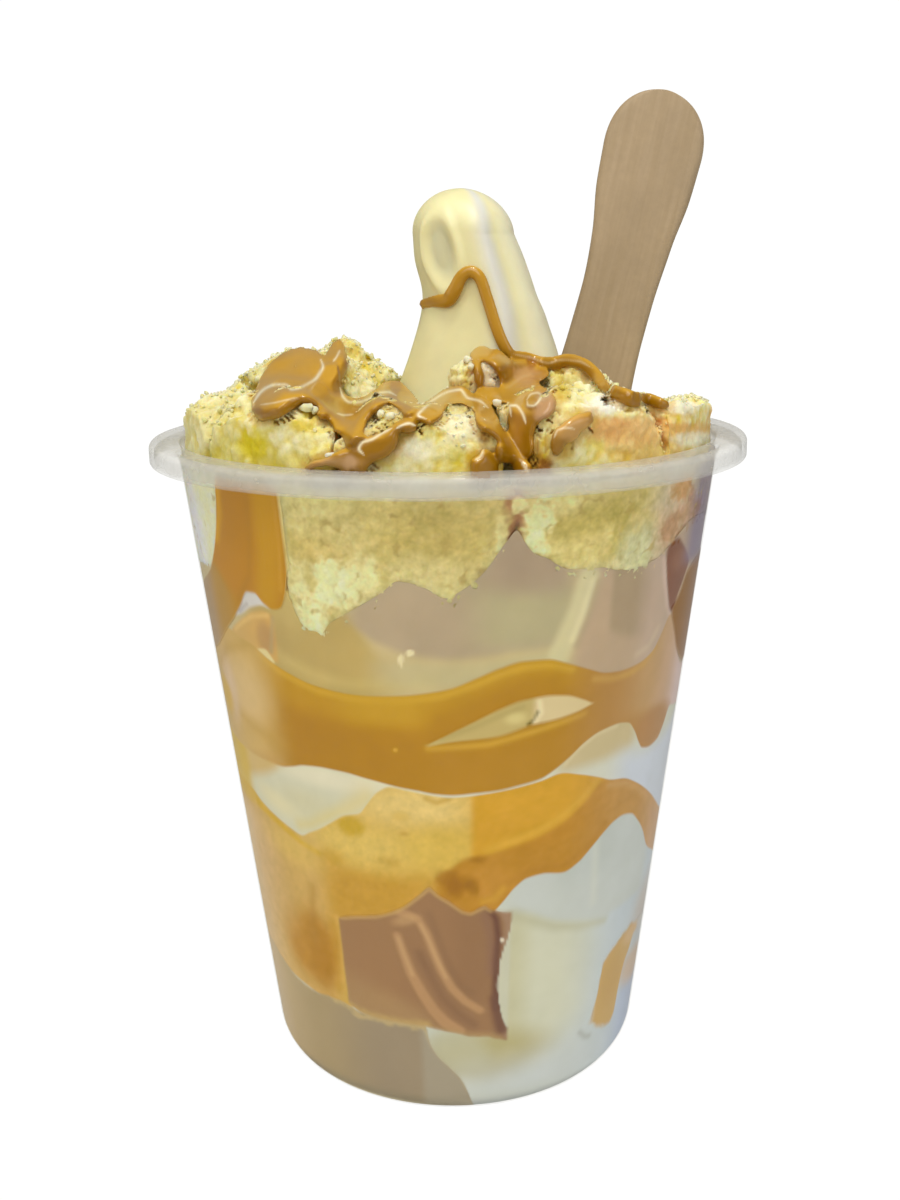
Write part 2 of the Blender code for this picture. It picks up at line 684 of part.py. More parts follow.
def thread_course(points, skins):
    """Points on the outer skins along lines from the pouring place."""
    course = []
    for across, level in points:
        through = Vector((across * MM, THREAD_PLANE, level * MM))
        way = (through - POUR_POINT).normalized()
        hits = [skin.ray_cast(POUR_POINT, way) for skin in skins]
        hits = [(distance, place) for place, _, _, distance in hits if place is not None]
        if hits:
            course.append(min(hits, key=lambda hit: hit[0])[1])
    return course


def thread_tube(name, course, radius, group):
    """A caramel thread as a closed tube along a course, a little sunk in what it lies on."""
    curve = bpy.data.curves.new(name, "CURVE")
    curve.dimensions = "3D"
    curve.bevel_depth = radius
    curve.bevel_resolution = 0
    curve.use_fill_caps = True
    spline = curve.splines.new("POLY")
    spline.points.add(len(course) - 1)
    for point, place in zip(spline.points, course):
        towards = (POUR_POINT - place).normalized()
        point.co = (*(place + towards * radius * THREAD_SUNK), 1.0)
    tube = bpy.data.objects.new(name, curve)
    group.objects.link(tube)
    graph = bpy.context.evaluated_depsgraph_get()
    mesh = bpy.data.meshes.new_from_object(tube.evaluated_get(graph))
    bpy.data.objects.remove(tube)
    bm = bmesh.new()
    bm.from_mesh(mesh)
    return as_cutter(object_from(bm, name, group))


def skin_of(made):
    """A search tree of an object's faces."""
    graph = bpy.context.evaluated_depsgraph_get()
    return BVHTree.FromObject(made, graph)


def main():
    for old in list(bpy.data.objects):
        bpy.data.objects.remove(old, do_unlink=True)
    parts = collection_named("sundae_cup")
    cutters = collection_named("cutters")
    cream = material_named("cream", CREAM)
    caramel = material_named("caramel", CARAMEL)
    sponge = material_named("sponge", SPONGE)
    icing = material_named("icing", ICING)
    wood = material_named("wood", WOOD)
    plastic = material_named("clear_plastic", PLASTIC)

    build_cup(parts, plastic)

    lower_cream = disc_layer("lower_cream", parts, cream, None, LOWER_CREAM_TOP,
                             None, LOWER_CREAM_HEART)
    soaked = disc_layer("soaked_cake", parts, sponge, LOWER_CREAM_TOP, SOAKED_TOP,
                        LOWER_CREAM_HEART, SOAKED_HEART)
    disc_layer("middle_cream", parts, cream, SOAKED_TOP, BAND_FOOT,
               SOAKED_HEART, BAND_FOOT_HEART)
    band = disc_layer("caramel_band", parts, caramel, BAND_FOOT, BAND_TOP,
                      BAND_FOOT_HEART, BAND_TOP_HEART)
    upper_cream = build_upper_cream("upper_cream", parts, cream)

    wall_pieces = (
        ("iced_cake", icing, ICED_CAKE, (lower_cream, soaked)),
        ("base_cake", icing, BASE_CAKE, (lower_cream,)),
        ("caramel_pocket", caramel, CARAMEL_POCKET, (lower_cream,)),
        ("cream_fold", cream, CREAM_FOLD, (band,)),
        ("caramel_streak_left", caramel, LEFT_STREAK, (upper_cream,)),
        ("caramel_streak_right", caramel, RIGHT_STREAK, (upper_cream,)),
    )
    pockets = {}
    for name, material, shape, layers in wall_pieces:
        wall_piece(name, parts, material, shape)
        pockets[name] = as_cutter(wall_piece("pocket_" + name, cutters, None, shape, GAP))
    for layer in (lower_cream, soaked, band, upper_cream):
        cuts = [pockets[name] for name, _, _, layers in wall_pieces if layer in layers]
        combine(layer, cuts, "DIFFERENCE")

    spoon = build_spoon(parts, wood)
    spoon_slot = grown_copy(spoon, "spoon_slot", cutters, GAP)
    combine(upper_cream, [spoon_slot], "DIFFERENCE")

    cream_room = as_cutter(build_upper_cream("cream_room", cutters, None, GAP))
    lumps = {}
    for number, (name, (middle, sizes, turn)) in enumerate(LUMPS.items()):
        detail = 2 if name in SMALL_LUMPS else 3
        lumps[name] = object_from(lump_mesh(middle, sizes, turn, detail, 3.7 * number + 1.3),
                                  name, parts, sponge)
    crest = as_cutter(object_from(lump_mesh(*CREST, 2, 55.5), "crest", cutters))
    combine(lumps["cake_lump_back_left"], [crest], "UNION")

    skins = [skin_of(upper_cream)] + [skin_of(lump) for lump in lumps.values()]
    tubes = {}
    for name, (radius, points) in THREADS.items():
        course = thread_course(points, skins)
        tubes[name] = thread_tube("thread_" + name, course, radius * MM, cutters)
    combine(upper_cream, [tubes["peak"]], "UNION")

    resting_on = {
        "cake_lump_back_left": ("pool", "back_ribbon"),
        "cake_lump_front_left": ("front_left",),
        "cake_lump_front_small": ("front_left",),
        "cake_lump_front": ("front_left", "front_right"),
        "cake_lump_centre": ("sheet", "right"),
        "cake_lump_front_right": ("hook", "front_right"),
        "cake_lump_inner_right": ("right",),
        "cake_lump_right": ("hook",),
    }
    streaks = [pockets["caramel_streak_left"], pockets["caramel_streak_right"]]
    for name, lump in lumps.items():
        threads = [tubes[thread] for thread in resting_on.get(name, ())]
        combine(lump, threads, "UNION")
        combine(lump, [lump_cell("cell_" + name, name, cutters)], "INTERSECT")
        combine(lump, [cream_room, spoon_slot] + streaks, "DIFFERENCE")


main()
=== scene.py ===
"""Looks of the sundae cup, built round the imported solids.

Numbers are millimetres and degrees unless a name says otherwise. The cup stands on the
origin, +Z is up and -Y is the front. Angles round the cup are 0 at the front and 90 at +X.
"""

import itertools
import logging
import math
from dataclasses import dataclass, replace
from enum import Enum
from typing import Iterable, Sequence

import bmesh
import bpy
import numpy as np
from mathutils import Matrix, Vector
from mathutils.bvhtree import BVHTree
from mathutils.kdtree import KDTree


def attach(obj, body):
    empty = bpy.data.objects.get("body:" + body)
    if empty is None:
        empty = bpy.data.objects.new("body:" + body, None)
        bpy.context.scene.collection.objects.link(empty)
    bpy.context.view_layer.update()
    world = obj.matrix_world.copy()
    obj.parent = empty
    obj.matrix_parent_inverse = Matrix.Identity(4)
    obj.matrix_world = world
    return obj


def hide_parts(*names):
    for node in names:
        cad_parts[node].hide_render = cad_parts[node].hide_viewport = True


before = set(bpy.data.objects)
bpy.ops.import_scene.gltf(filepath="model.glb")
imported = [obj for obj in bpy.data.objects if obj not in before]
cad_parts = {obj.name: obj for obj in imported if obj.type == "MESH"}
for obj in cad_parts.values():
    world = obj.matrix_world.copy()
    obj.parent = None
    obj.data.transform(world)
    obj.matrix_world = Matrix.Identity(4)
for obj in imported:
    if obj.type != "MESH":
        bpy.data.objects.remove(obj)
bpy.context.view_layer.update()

MM = 0.001
TINT = "tint"
BODY = "root"
Array = np.ndarray
Point = tuple[float, float]

log = logging.getLogger("sundae_cup")


class Slot(Enum):
    """The material slots."""

    PLASTIC = "clear_plastic"
    WOOD = "spoon_wood"
    CREAM = "cream"
    CARAMEL = "caramel"
    SOAKED = "soaked_sponge"
    SPONGE = "sponge"
    ICING = "icing"


# ---------------------------------------------------------------- numbers and meshes

def linear(colour: str) -> Array:
    """A colour written as six hex digits, in linear light.

    Args:
        colour: red, green and blue as screen values, such as "c8a452".

    Returns:
        Three numbers from 0 to 1.
    """
    screen = np.array([int(colour[i:i + 2], 16) / 255.0 for i in (0, 2, 4)])
    return np.where(screen <= 0.04045, screen / 12.92, ((screen + 0.055) / 1.055) ** 2.4)


def smooth_step(low: float, high: float, value: Array) -> Array:
    """Rises smoothly from 0 at low to 1 at high."""
    share = np.clip((value - low) / (high - low), 0.0, 1.0)
    return share * share * (3.0 - 2.0 * share)


def round_cup(angles: Array, radius: Array, level: Array) -> Array:
    """Points at angles round the cup, radii and levels.

    Args:
        angles: degrees from the front, towards +X.
        radius: distance from the cup's axis.
        level: height above the table.

    Returns:
        An array of points with x, y and z last.
    """
    turn = np.radians(angles)
    angles, radius, level = np.broadcast_arrays(turn, radius, level)
    return np.stack([radius * np.sin(angles), -radius * np.cos(angles), level], axis=-1)


def hashed(cells: Array, seed: int) -> Array:
    """A steady number from 0 to 1 for each whole-numbered cell.

    Args:
        cells: whole numbers of each cell, one row for each.
        seed: which set of draws to use.

    Returns:
        A number from 0 to 1 for each row.
    """
    x, y, z = (cells[..., i].astype(np.int64).astype(np.uint64) for i in range(3))
    mask = np.uint64(0xFFFFFFFF)
    mixed = (x * np.uint64(0x9E3779B1)) ^ (y * np.uint64(0x85EBCA77)) ^ (z * np.uint64(0xC2B2AE3D))
    mixed = (mixed + np.uint64(seed * 0x27D4EB2F % 0xFFFFFFFF)) & mask
    for shift, factor in ((15, 0x2C1B3C6D), (12, 0x297A2D39)):
        mixed = ((mixed ^ (mixed >> np.uint64(shift))) * np.uint64(factor)) & mask
    mixed = mixed ^ (mixed >> np.uint64(15))
    return (mixed & np.uint64(0xFFFFFF)).astype(float) / 0xFFFFFF


def noise_at(points: Array, scale: float, seed: int = 0) -> Array:
    """Smooth noise of about -1 to 1 at each point.

    Args:
        points: one row for each point.
        scale: size of a bump.
        seed: moves the pattern, so that two noises differ.

    Returns:
        One number for each point.
    """
    places = points / scale + seed * 17.31
    base = np.floor(places)
    part = places - base
    fade = part ** 3 * (part * (part * 6.0 - 15.0) + 10.0)
    total = np.zeros(len(points))
    for corner in itertools.product((0.0, 1.0), repeat=3):
        cell = base + corner
        slope = np.stack([hashed(cell, 5 * seed + i) for i in range(3)], axis=-1) * 2.0 - 1.0
        weight = np.prod(np.where(np.array(corner) > 0.5, fade, 1.0 - fade), axis=1)
        total += weight * ((part - corner) * slope).sum(axis=1)
    return total * 1.7


def cells_at(points: Array, scale: float, seed: int = 0) -> tuple[Array, Array]:
    """Distance to the nearest and to the second nearest of scattered centres.

    Args:
        points: one row for each point.
        scale: usual distance between centres.
        seed: moves the pattern.

    Returns:
        Two arrays, in units of the scale.
    """
    places = points / scale + seed * 9.73
    base = np.floor(places)
    first = np.full(len(points), 9.0)
    second = np.full(len(points), 9.0)
    for step in itertools.product((-1.0, 0.0, 1.0), repeat=3):
        cell = base + step
        middle = cell + np.stack([hashed(cell, 7 * seed + i) for i in range(3)], axis=-1)
        gap = np.linalg.norm(places - middle, axis=1)
        second = np.minimum(second, np.maximum(first, gap))
        first = np.minimum(first, gap)
    return first, second


def grid_faces(rows: int, columns: int, around: bool, start: int = 0) -> Array:
    """Quads of a grid of points that are numbered row by row.

    Args:
        rows: number of rows of points.
        columns: number of points in a row.
        around: whether the last column joins the first.
        start: number of the first point.

    Returns:
        One row of four point numbers for each quad.
    """
    row, column = np.meshgrid(np.arange(rows - 1), np.arange(columns - (not around)),
                              indexing="ij")
    following = (column + 1) % columns
    here, there = row * columns + column, row * columns + following
    quads = np.stack([here, there, there + columns, here + columns], axis=-1)
    return quads.reshape(-1, 4) + start


def fan(ring: Array, middle: int, flip: bool) -> list[tuple[int, ...]]:
    """Triangles that close a ring of points about one in its middle."""
    pairs = zip(ring.tolist(), np.roll(ring, -1).tolist())
    return [(b, a, middle) if flip else (a, b, middle) for a, b in pairs]


def signed_volume(points: Array, faces: Sequence[Sequence[int]]) -> float:
    """Volume inside a closed skin, below zero where its faces point inwards."""
    total = 0.0
    quads = np.array([face if len(face) == 4 else (*face, face[2]) for face in faces])
    a, b, c, d = (points[quads[:, i]] for i in range(4))
    total += np.einsum("ij,ij->", a, np.cross(b, c))
    total += np.einsum("ij,ij->", a, np.cross(c, d))
    return total / 6.0


def piece_from(name: str, points: Array, faces: Sequence[Sequence[int]],
               crease: float | None = None) -> bpy.types.Object:
    """A smooth shaded object of a closed skin, with its faces pointing out.

    Args:
        name: the piece's name.
        points: one row for each point.
        faces: point numbers of each quad or triangle.
        crease: degrees of bend above which an edge stays sharp, if any does.

    Returns:
        The new object, in the scene.
    """
    if signed_volume(points, faces) < 0.0:
        faces = [tuple(reversed(face)) for face in faces]
    mesh = bpy.data.meshes.new(name)
    mesh.from_pydata((points * MM).tolist(), [], [tuple(face) for face in faces])
    mesh.shade_smooth()
    if crease is not None:
        mesh.set_sharp_from_angle(angle=math.radians(crease))
    piece = bpy.data.objects.new(name, mesh)
    bpy.context.scene.collection.objects.link(piece)
    return piece


def points_of(piece: bpy.types.Object) -> Array:
    """An object's points, one row each."""
    flat = np.zeros(len(piece.data.vertices) * 3, np.float32)
    piece.data.vertices.foreach_get("co", flat)
    return flat.reshape(-1, 3).astype(float) / MM


def normals_of(piece: bpy.types.Object) -> Array:
    """The way out of the skin at each of an object's points."""
    flat = np.zeros(len(piece.data.vertices) * 3, np.float32)
    piece.data.vertex_normals.foreach_get("vector", flat)
    return flat.reshape(-1, 3).astype(float)


def move_points(piece: bpy.types.Object, points: Array) -> None:
    """Gives an object's points new places."""
    piece.data.vertices.foreach_set("co", (points * MM).astype(np.float32).ravel())
    piece.data.update()


def paint_points(piece: bpy.types.Object, colours: Array, grain: Array | float = 0.0) -> None:
    """Stores a colour at each point, and how grainy the surface is there.

    Args:
        piece: the object.
        colours: linear red, green and blue for each point.
        grain: from 0, smooth, to 1, crumb.
    """
    stored = piece.data.color_attributes.new(TINT, "FLOAT_COLOR", "POINT")
    values = np.ones((len(colours), 4), np.float32)
    values[:, :3] = colours
    values[:, 3] = grain
    stored.data.foreach_set("color", values.ravel())


def apply_modifiers(piece: bpy.types.Object) -> None:
    """Replaces an object's mesh with the one that its modifiers give.

    Args:
        piece: the object, whose mesh is replaced.
    """
    graph = bpy.context.evaluated_depsgraph_get()
    made = bpy.data.meshes.new_from_object(piece.evaluated_get(graph))
    old = piece.data
    piece.modifiers.clear()
    piece.data = made
    made.name = old.name
    bpy.data.meshes.remove(old)
    piece.data.shade_smooth()


def remesh(piece: bpy.types.Object, size: float, smoothing: int = 0) -> None:
    """Makes one even skin of all that an object holds.

    Args:
        piece: the object.
        size: width of the new faces.
        smoothing: how many times the new skin is smoothed.
    """
    even = piece.modifiers.new("even", "REMESH")
    even.mode = "VOXEL"
    even.voxel_size = size * MM
    if smoothing:
        soften = piece.modifiers.new("soften", "SMOOTH")
        soften.iterations = smoothing
        soften.factor = 0.5
    apply_modifiers(piece)


def fit_out(piece: bpy.types.Object, material: bpy.types.Material,
            nodes: Iterable[str] = ()) -> None:
    """Dresses a finished piece, ties it to the cup and reports it.

    Args:
        piece: the object.
        material: the finish.
        nodes: the solids that the piece stands for.
    """
    piece.data.materials.clear()
    piece.data.materials.append(material)
    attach(piece, BODY)
    if nodes:
        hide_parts(*nodes)
    log.info("%s: %d faces", piece.name, len(piece.data.polygons))


@dataclass(frozen=True)
class Curve:
    """A smooth line of levels over angles, which never swings past its own points."""

    points: tuple[Point, ...]
    closed: bool = False

    def at(self, places: Array | float) -> Array:
        """The line's level at each place.

        Args:
            places: angles, or whatever the first number of each point is.

        Returns:
            One level for each place.
        """
        knots = np.array(self.points, float)
        if self.closed:
            before, after = knots[-1] - (360.0, 0.0), knots[0] + (360.0, 0.0)
            knots = np.vstack([before, knots, after])
        xs, ys = knots[:, 0], knots[:, 1]
        rises = np.diff(ys) / np.diff(xs)
        slopes = np.zeros_like(ys)
        slopes[0], slopes[-1] = rises[0], rises[-1]
        product = rises[:-1] * rises[1:]
        total = rises[:-1] + rises[1:]
        slopes[1:-1] = np.where(product > 0, 2 * product / np.where(total == 0, 1, total), 0)
        x = np.clip(np.asarray(places, float), xs[0], xs[-1])
        i = np.clip(np.searchsorted(xs, x, side="right") - 1, 0, len(xs) - 2)
        width = xs[i + 1] - xs[i]
        t = (x - xs[i]) / width
        rest = 1.0 - t
        ends = ys[i] * (1 + 2 * t) * rest ** 2 + ys[i + 1] * t * t * (3 - 2 * t)
        return ends + width * (slopes[i] * t * rest ** 2 - slopes[i + 1] * t * t * rest)


# ---------------------------------------------------------------- finishes

class Bench:
    """A new material, and short calls that add nodes to it."""

    def __init__(self, name: str) -> None:
        """Starts a material with nothing but its output."""
        self.material = bpy.data.materials.new(name)
        self.material.use_nodes = True
        self.tree = self.material.node_tree
        self.tree.nodes.clear()
        self.output = self.tree.nodes.new("ShaderNodeOutputMaterial")

    def add(self, kind: str, **values: object) -> bpy.types.Node:
        """Adds a node.

        Args:
            kind: the node's type, without its ShaderNode prefix.
            values: socket values by name, with _ for a space, or properties of the node.

        Returns:
            The node.
        """
        node = self.tree.nodes.new("ShaderNode" + kind)
        for name, value in values.items():
            socket = node.inputs.get(name.replace("_", " "))
            if socket is None:
                setattr(node, name, value)
            elif isinstance(value, bpy.types.NodeSocket):
                self.tree.links.new(value, socket)
            else:
                socket.default_value = value
        return node

    def link(self, out: bpy.types.NodeSocket, into: bpy.types.NodeSocket) -> None:
        """Joins two sockets."""
        self.tree.links.new(out, into)

    def noise(self, size: float, detail: float = 3.0, roughness: float = 0.55
              ) -> bpy.types.NodeSocket:
        """Noise whose bumps have a size in millimetres."""
        place = self.add("NewGeometry").outputs["Position"]
        node = self.add("TexNoise", Vector=place, Scale=1.0 / (size * MM), Detail=detail,
                        Roughness=roughness)
        return node.outputs["Fac"]

    def spread(self, value: bpy.types.NodeSocket, low: float, high: float,
               start: float = 0.3, end: float = 0.7) -> bpy.types.NodeSocket:
        """Maps a value from start to end onto low to high."""
        node = self.add("MapRange", Value=value)
        for name, number in (("From Min", start), ("From Max", end), ("To Min", low),
                             ("To Max", high)):
            node.inputs[name].default_value = number
        return node.outputs["Result"]

    def times(self, first: bpy.types.NodeSocket, second: bpy.types.NodeSocket | float
              ) -> bpy.types.NodeSocket:
        """The product of two values."""
        node = self.add("Math", operation="MULTIPLY")
        self.link(first, node.inputs[0])
        if isinstance(second, bpy.types.NodeSocket):
            self.link(second, node.inputs[1])
        else:
            node.inputs[1].default_value = second
        return node.outputs[0]

    def shade(self, colour: bpy.types.NodeSocket, amount: bpy.types.NodeSocket
              ) -> bpy.types.NodeSocket:
        """A colour made lighter or darker by an amount about 1."""
        node = self.add("VectorMath", operation="SCALE")
        self.link(colour, node.inputs[0])
        self.link(amount, node.inputs["Scale"])
        return node.outputs[0]

    def blend(self, share: bpy.types.NodeSocket, first: str, second: str
              ) -> bpy.types.NodeSocket:
        """A mix of two colours, from none of the second to all of it."""
        node = self.add("Mix", data_type="RGBA")
        self.link(share, node.inputs["Factor"])
        for socket in node.inputs:
            if socket.type == "RGBA":
                colour = first if socket.name == "A" else second
                socket.default_value = (*linear(colour), 1.0)
        return next(socket for socket in node.outputs if socket.type == "RGBA")

    def bump(self, height: bpy.types.NodeSocket, depth: float, strength: float
             ) -> bpy.types.NodeSocket:
        """Small relief of a depth in millimetres."""
        node = self.add("Bump", Height=height, Distance=depth * MM, Strength=strength)
        return node.outputs["Normal"]

    def finish(self, shader: bpy.types.NodeSocket) -> bpy.types.Material:
        """Ends the material in a shader."""
        self.link(shader, self.output.inputs["Surface"])
        return self.material


@dataclass(frozen=True)
class PaintedFinish:
    """Soft food whose colours are stored at its points, with fine grain and relief."""

    name: str
    roughness: float = 0.5
    grain_size: float = 0.8
    grain_shade: float = 0.12
    relief: float = 0.12
    softness: float = 0.0
    reach: float = 1.5
    gloss_coat: float = 0.0
    specular: float = 0.5
    cloud_size: float = 7.0
    cloud_shade: float = 0.05

    def make(self) -> bpy.types.Material:
        """Builds the material."""
        bench = Bench(self.name)
        paint = bench.add("Attribute", attribute_name=TINT)
        grain = bench.noise(self.grain_size, 4.0, 0.6)
        cloud = bench.noise(self.cloud_size, 2.0)
        fine = bench.spread(grain, -self.grain_shade, self.grain_shade)
        fine = bench.times(fine, paint.outputs["Alpha"])
        broad = bench.spread(cloud, 1.0 - self.cloud_shade, 1.0 + self.cloud_shade)
        both = bench.add("Math", operation="ADD")
        bench.link(fine, both.inputs[0])
        bench.link(broad, both.inputs[1])
        colour = bench.shade(paint.outputs["Color"], both.outputs[0])
        relief = bench.times(grain, paint.outputs["Alpha"])
        shader = bench.add("BsdfPrincipled", Base_Color=colour, Roughness=self.roughness,
                           Normal=bench.bump(relief, self.relief, 1.0))
        shader.inputs["Specular IOR Level"].default_value = self.specular
        shader.inputs["Subsurface Weight"].default_value = self.softness
        shader.inputs["Subsurface Radius"].default_value = (1.0, 0.7, 0.4)
        shader.inputs["Subsurface Scale"].default_value = self.reach * MM
        shader.inputs["Coat Weight"].default_value = self.gloss_coat
        shader.inputs["Coat Roughness"].default_value = 0.06
        return bench.finish(shader.outputs[0])


@dataclass(frozen=True)
class PlasticFinish:
    """Thin clear plastic: see-through with a gloss, and milkier in its thick rim."""

    name: str = "clear_plastic_wall"
    milk: float = 0.012
    rim_milk: float = 0.36
    rim_from: float = 103.2
    rim_full: float = 104.2
    milk_colour: str = "dedcd3"
    gloss: float = 0.42
    gloss_roughness: float = 0.1

    def make(self) -> bpy.types.Material:
        """Builds the material."""
        bench = Bench(self.name)
        clear = bench.add("BsdfTransparent")
        clear.inputs["Color"].default_value = (0.99, 0.99, 0.985, 1.0)
        place = bench.add("NewGeometry")
        level = bench.add("SeparateXYZ", Vector=place.outputs["Position"])
        rim = bench.spread(level.outputs["Z"], self.milk, self.rim_milk, self.rim_from * MM,
                           self.rim_full * MM)
        haze = bench.spread(bench.noise(6.0, 3.0), 0.75, 1.25)
        milk = bench.add("BsdfDiffuse")
        milk.inputs["Color"].default_value = (*linear(self.milk_colour), 1.0)
        body = bench.add("MixShader", Fac=bench.times(rim, haze))
        bench.link(clear.outputs[0], body.inputs[1])
        bench.link(milk.outputs[0], body.inputs[2])
        ripple = bench.bump(bench.noise(6.0, 1.0), 0.04, 0.3)
        gloss = bench.add("BsdfGlossy", Roughness=self.gloss_roughness, Normal=ripple)
        edge = bench.add("Fresnel", IOR=1.36, Normal=ripple)
        outside = bench.add("Math", operation="SUBTRACT")
        outside.inputs[0].default_value = 1.0
        bench.link(place.outputs["Backfacing"], outside.inputs[1])
        amount = bench.times(bench.times(edge.outputs[0], outside.outputs[0]), self.gloss)
        whole = bench.add("MixShader", Fac=amount)
        bench.link(body.outputs[0], whole.inputs[1])
        bench.link(gloss.outputs[0], whole.inputs[2])
        return bench.finish(whole.outputs[0])


@dataclass(frozen=True)
class WoodFinish:
    """Plain pale wood, with long fine grain down the spoon."""

    name: str = "spoon_birch"
    pale: str = "ab9474"
    dark: str = "a38c6a"
    roughness: float = 0.62

    def make(self, along: Matrix) -> bpy.types.Material:
        """Builds the material.

        Args:
            along: the spoon's place, whose Y axis is the way the grain runs.

        Returns:
            The material.
        """
        bench = Bench(self.name)
        turn = along.to_3x3().inverted().to_euler()
        place = bench.add("NewGeometry").outputs["Position"]
        local = bench.add("VectorRotate", rotation_type="EULER_XYZ", Vector=place)
        local.inputs["Rotation"].default_value = turn
        stretch = bench.add("Mapping", Vector=local.outputs[0])
        stretch.inputs["Scale"].default_value = (1400.0, 60.0, 1400.0)
        grain = bench.add("TexNoise", Vector=stretch.outputs[0], Scale=1.0, Detail=4.0)
        broad = bench.noise(14.0, 2.0)
        flecks = bench.noise(1.3, 2.0, 0.7)
        share = bench.spread(grain.outputs["Fac"], 0.0, 1.0)
        tone = bench.blend(share, self.pale, self.dark)
        tone = bench.shade(tone, bench.spread(broad, 0.93, 1.07))
        tone = bench.shade(tone, bench.spread(flecks, 0.96, 1.03))
        shader = bench.add("BsdfPrincipled", Base_Color=tone, Roughness=self.roughness,
                           Normal=bench.bump(grain.outputs["Fac"], 0.04, 0.5))
        return bench.finish(shader.outputs[0])


# ---------------------------------------------------------------- the cup

@dataclass(frozen=True)
class CupShape:
    """The clear cup's sizes, which the contents fit."""

    height: float = 106.8
    lip_radius: float = 47.6
    lip_skirt: float = 3.2
    lip_rounding: float = 1.0
    wall_top_radius: float = 43.0
    wall_foot_radius: float = 30.5
    wall_top_level: float = 104.0
    wall: float = 0.55
    floor: float = 0.8
    corner: float = 6.0
    reach: float = 0.36
    fill_floor: float = 0.3
    fill_corner: float = 5.7
    columns: int = 160
    arc_steps: int = 10

    def slope(self) -> float:
        """How much wider the wall gets for each millimetre up."""
        return (self.wall_top_radius - self.wall_foot_radius) / self.wall_top_level

    def inset(self, height: Array | float, radius: float) -> Array:
        """How far a quarter-round corner stands back at a height above its floor."""
        drop = np.clip(radius - np.asarray(height, float), 0.0, radius)
        return radius - np.sqrt(np.maximum(radius ** 2 - drop ** 2, 0.0))

    def outer(self, level: Array | float) -> Array:
        """The wall's outer radius at a level."""
        return self.wall_foot_radius + self.slope() * level - self.inset(level, self.corner)

    def inner(self, level: Array | float) -> Array:
        """The wall's inner radius at a level."""
        inner_corner = self.corner - self.wall
        wall = self.wall_foot_radius - self.wall + self.slope() * np.asarray(level, float)
        return wall - self.inset(np.asarray(level, float) - self.floor, inner_corner)

    def filled(self, level: Array | float) -> Array:
        """The radius that the contents reach, just into the wall."""
        level = np.asarray(level, float)
        wall = self.wall_foot_radius - self.wall + self.slope() * level + self.reach
        return wall - self.inset(level - self.fill_floor, self.fill_corner)

    def profile(self) -> list[Point]:
        """Radius and level along the turned outline, from the floor's middle and back."""
        inner_top = self.inner(self.height)
        line: list[Point] = [(0.0, self.floor)]
        for step in range(self.arc_steps + 1):
            turn = math.pi / 2 * step / self.arc_steps
            level = self.floor + (self.corner - self.wall) * (1.0 - math.cos(turn))
            line.append((float(self.inner(level)), level))
        line += [(float(self.inner(level)), level) for level in (30.0, 60.0, 85.0, 100.0)]
        middle = float(inner_top) + self.lip_rounding / 2
        for step in range(5):
            turn = math.pi / 2 * step / 4
            line.append((middle - 0.5 * math.cos(turn), self.height - 0.5 + 0.5 * math.sin(turn)))
        for step in range(self.arc_steps + 1):
            turn = math.pi / 2 * step / self.arc_steps
            line.append((self.lip_radius - self.lip_rounding * (1 - math.sin(turn)),
                         self.height - self.lip_rounding * (1 - math.cos(turn))))
        skirt = self.height - self.lip_skirt
        under = self.height - 0.8
        line += [(self.lip_radius, skirt + 0.25), (self.lip_radius - 0.12, skirt),
                 (self.lip_radius - 0.58, skirt), (self.lip_radius - 0.7, skirt + 0.25),
                 (self.lip_radius - 0.8, under - 0.5), (self.lip_radius - 1.3, under),
                 (self.wall_top_radius + 1.3, under), (self.wall_top_radius + 0.6, under - 0.6),
                 (float(self.outer(skirt)), skirt)]
        line += [(float(self.outer(level)), level) for level in (85.0, 60.0, 30.0)]
        for step in range(self.arc_steps, -1, -1):
            level = self.corner * (1 - math.cos(math.pi / 2 * step / self.arc_steps))
            line.append((float(self.outer(level)), level))
        line.append((0.0, 0.0))
        return line


@dataclass(frozen=True)
class ClearCup:
    """The turned plastic cup with its flat rim and rolled lip."""

    shape: CupShape
    finish: PlasticFinish = PlasticFinish()

    def build(self) -> bpy.types.Object:
        """Turns the outline into the finished cup."""
        outline = np.array(self.shape.profile())
        ring = np.linspace(0.0, 360.0, self.shape.columns, endpoint=False)
        rows = [round_cup(ring, radius, level) for radius, level in outline[1:-1]]
        points = np.vstack([*rows, [[0, 0, self.shape.floor]], [[0, 0, 0]]])
        columns = self.shape.columns
        faces: list[tuple[int, ...]] = [tuple(quad) for quad in
                                        grid_faces(len(rows), columns, True).tolist()]
        faces += fan(np.arange(columns), len(points) - 2, True)
        last = (len(rows) - 1) * columns
        faces += fan(np.arange(last, last + columns), len(points) - 1, False)
        cup = piece_from("clear_cup", points, faces)
        fit_out(cup, self.finish.make(), ["cup"])
        return cup


# ---------------------------------------------------------------- the filling's pattern

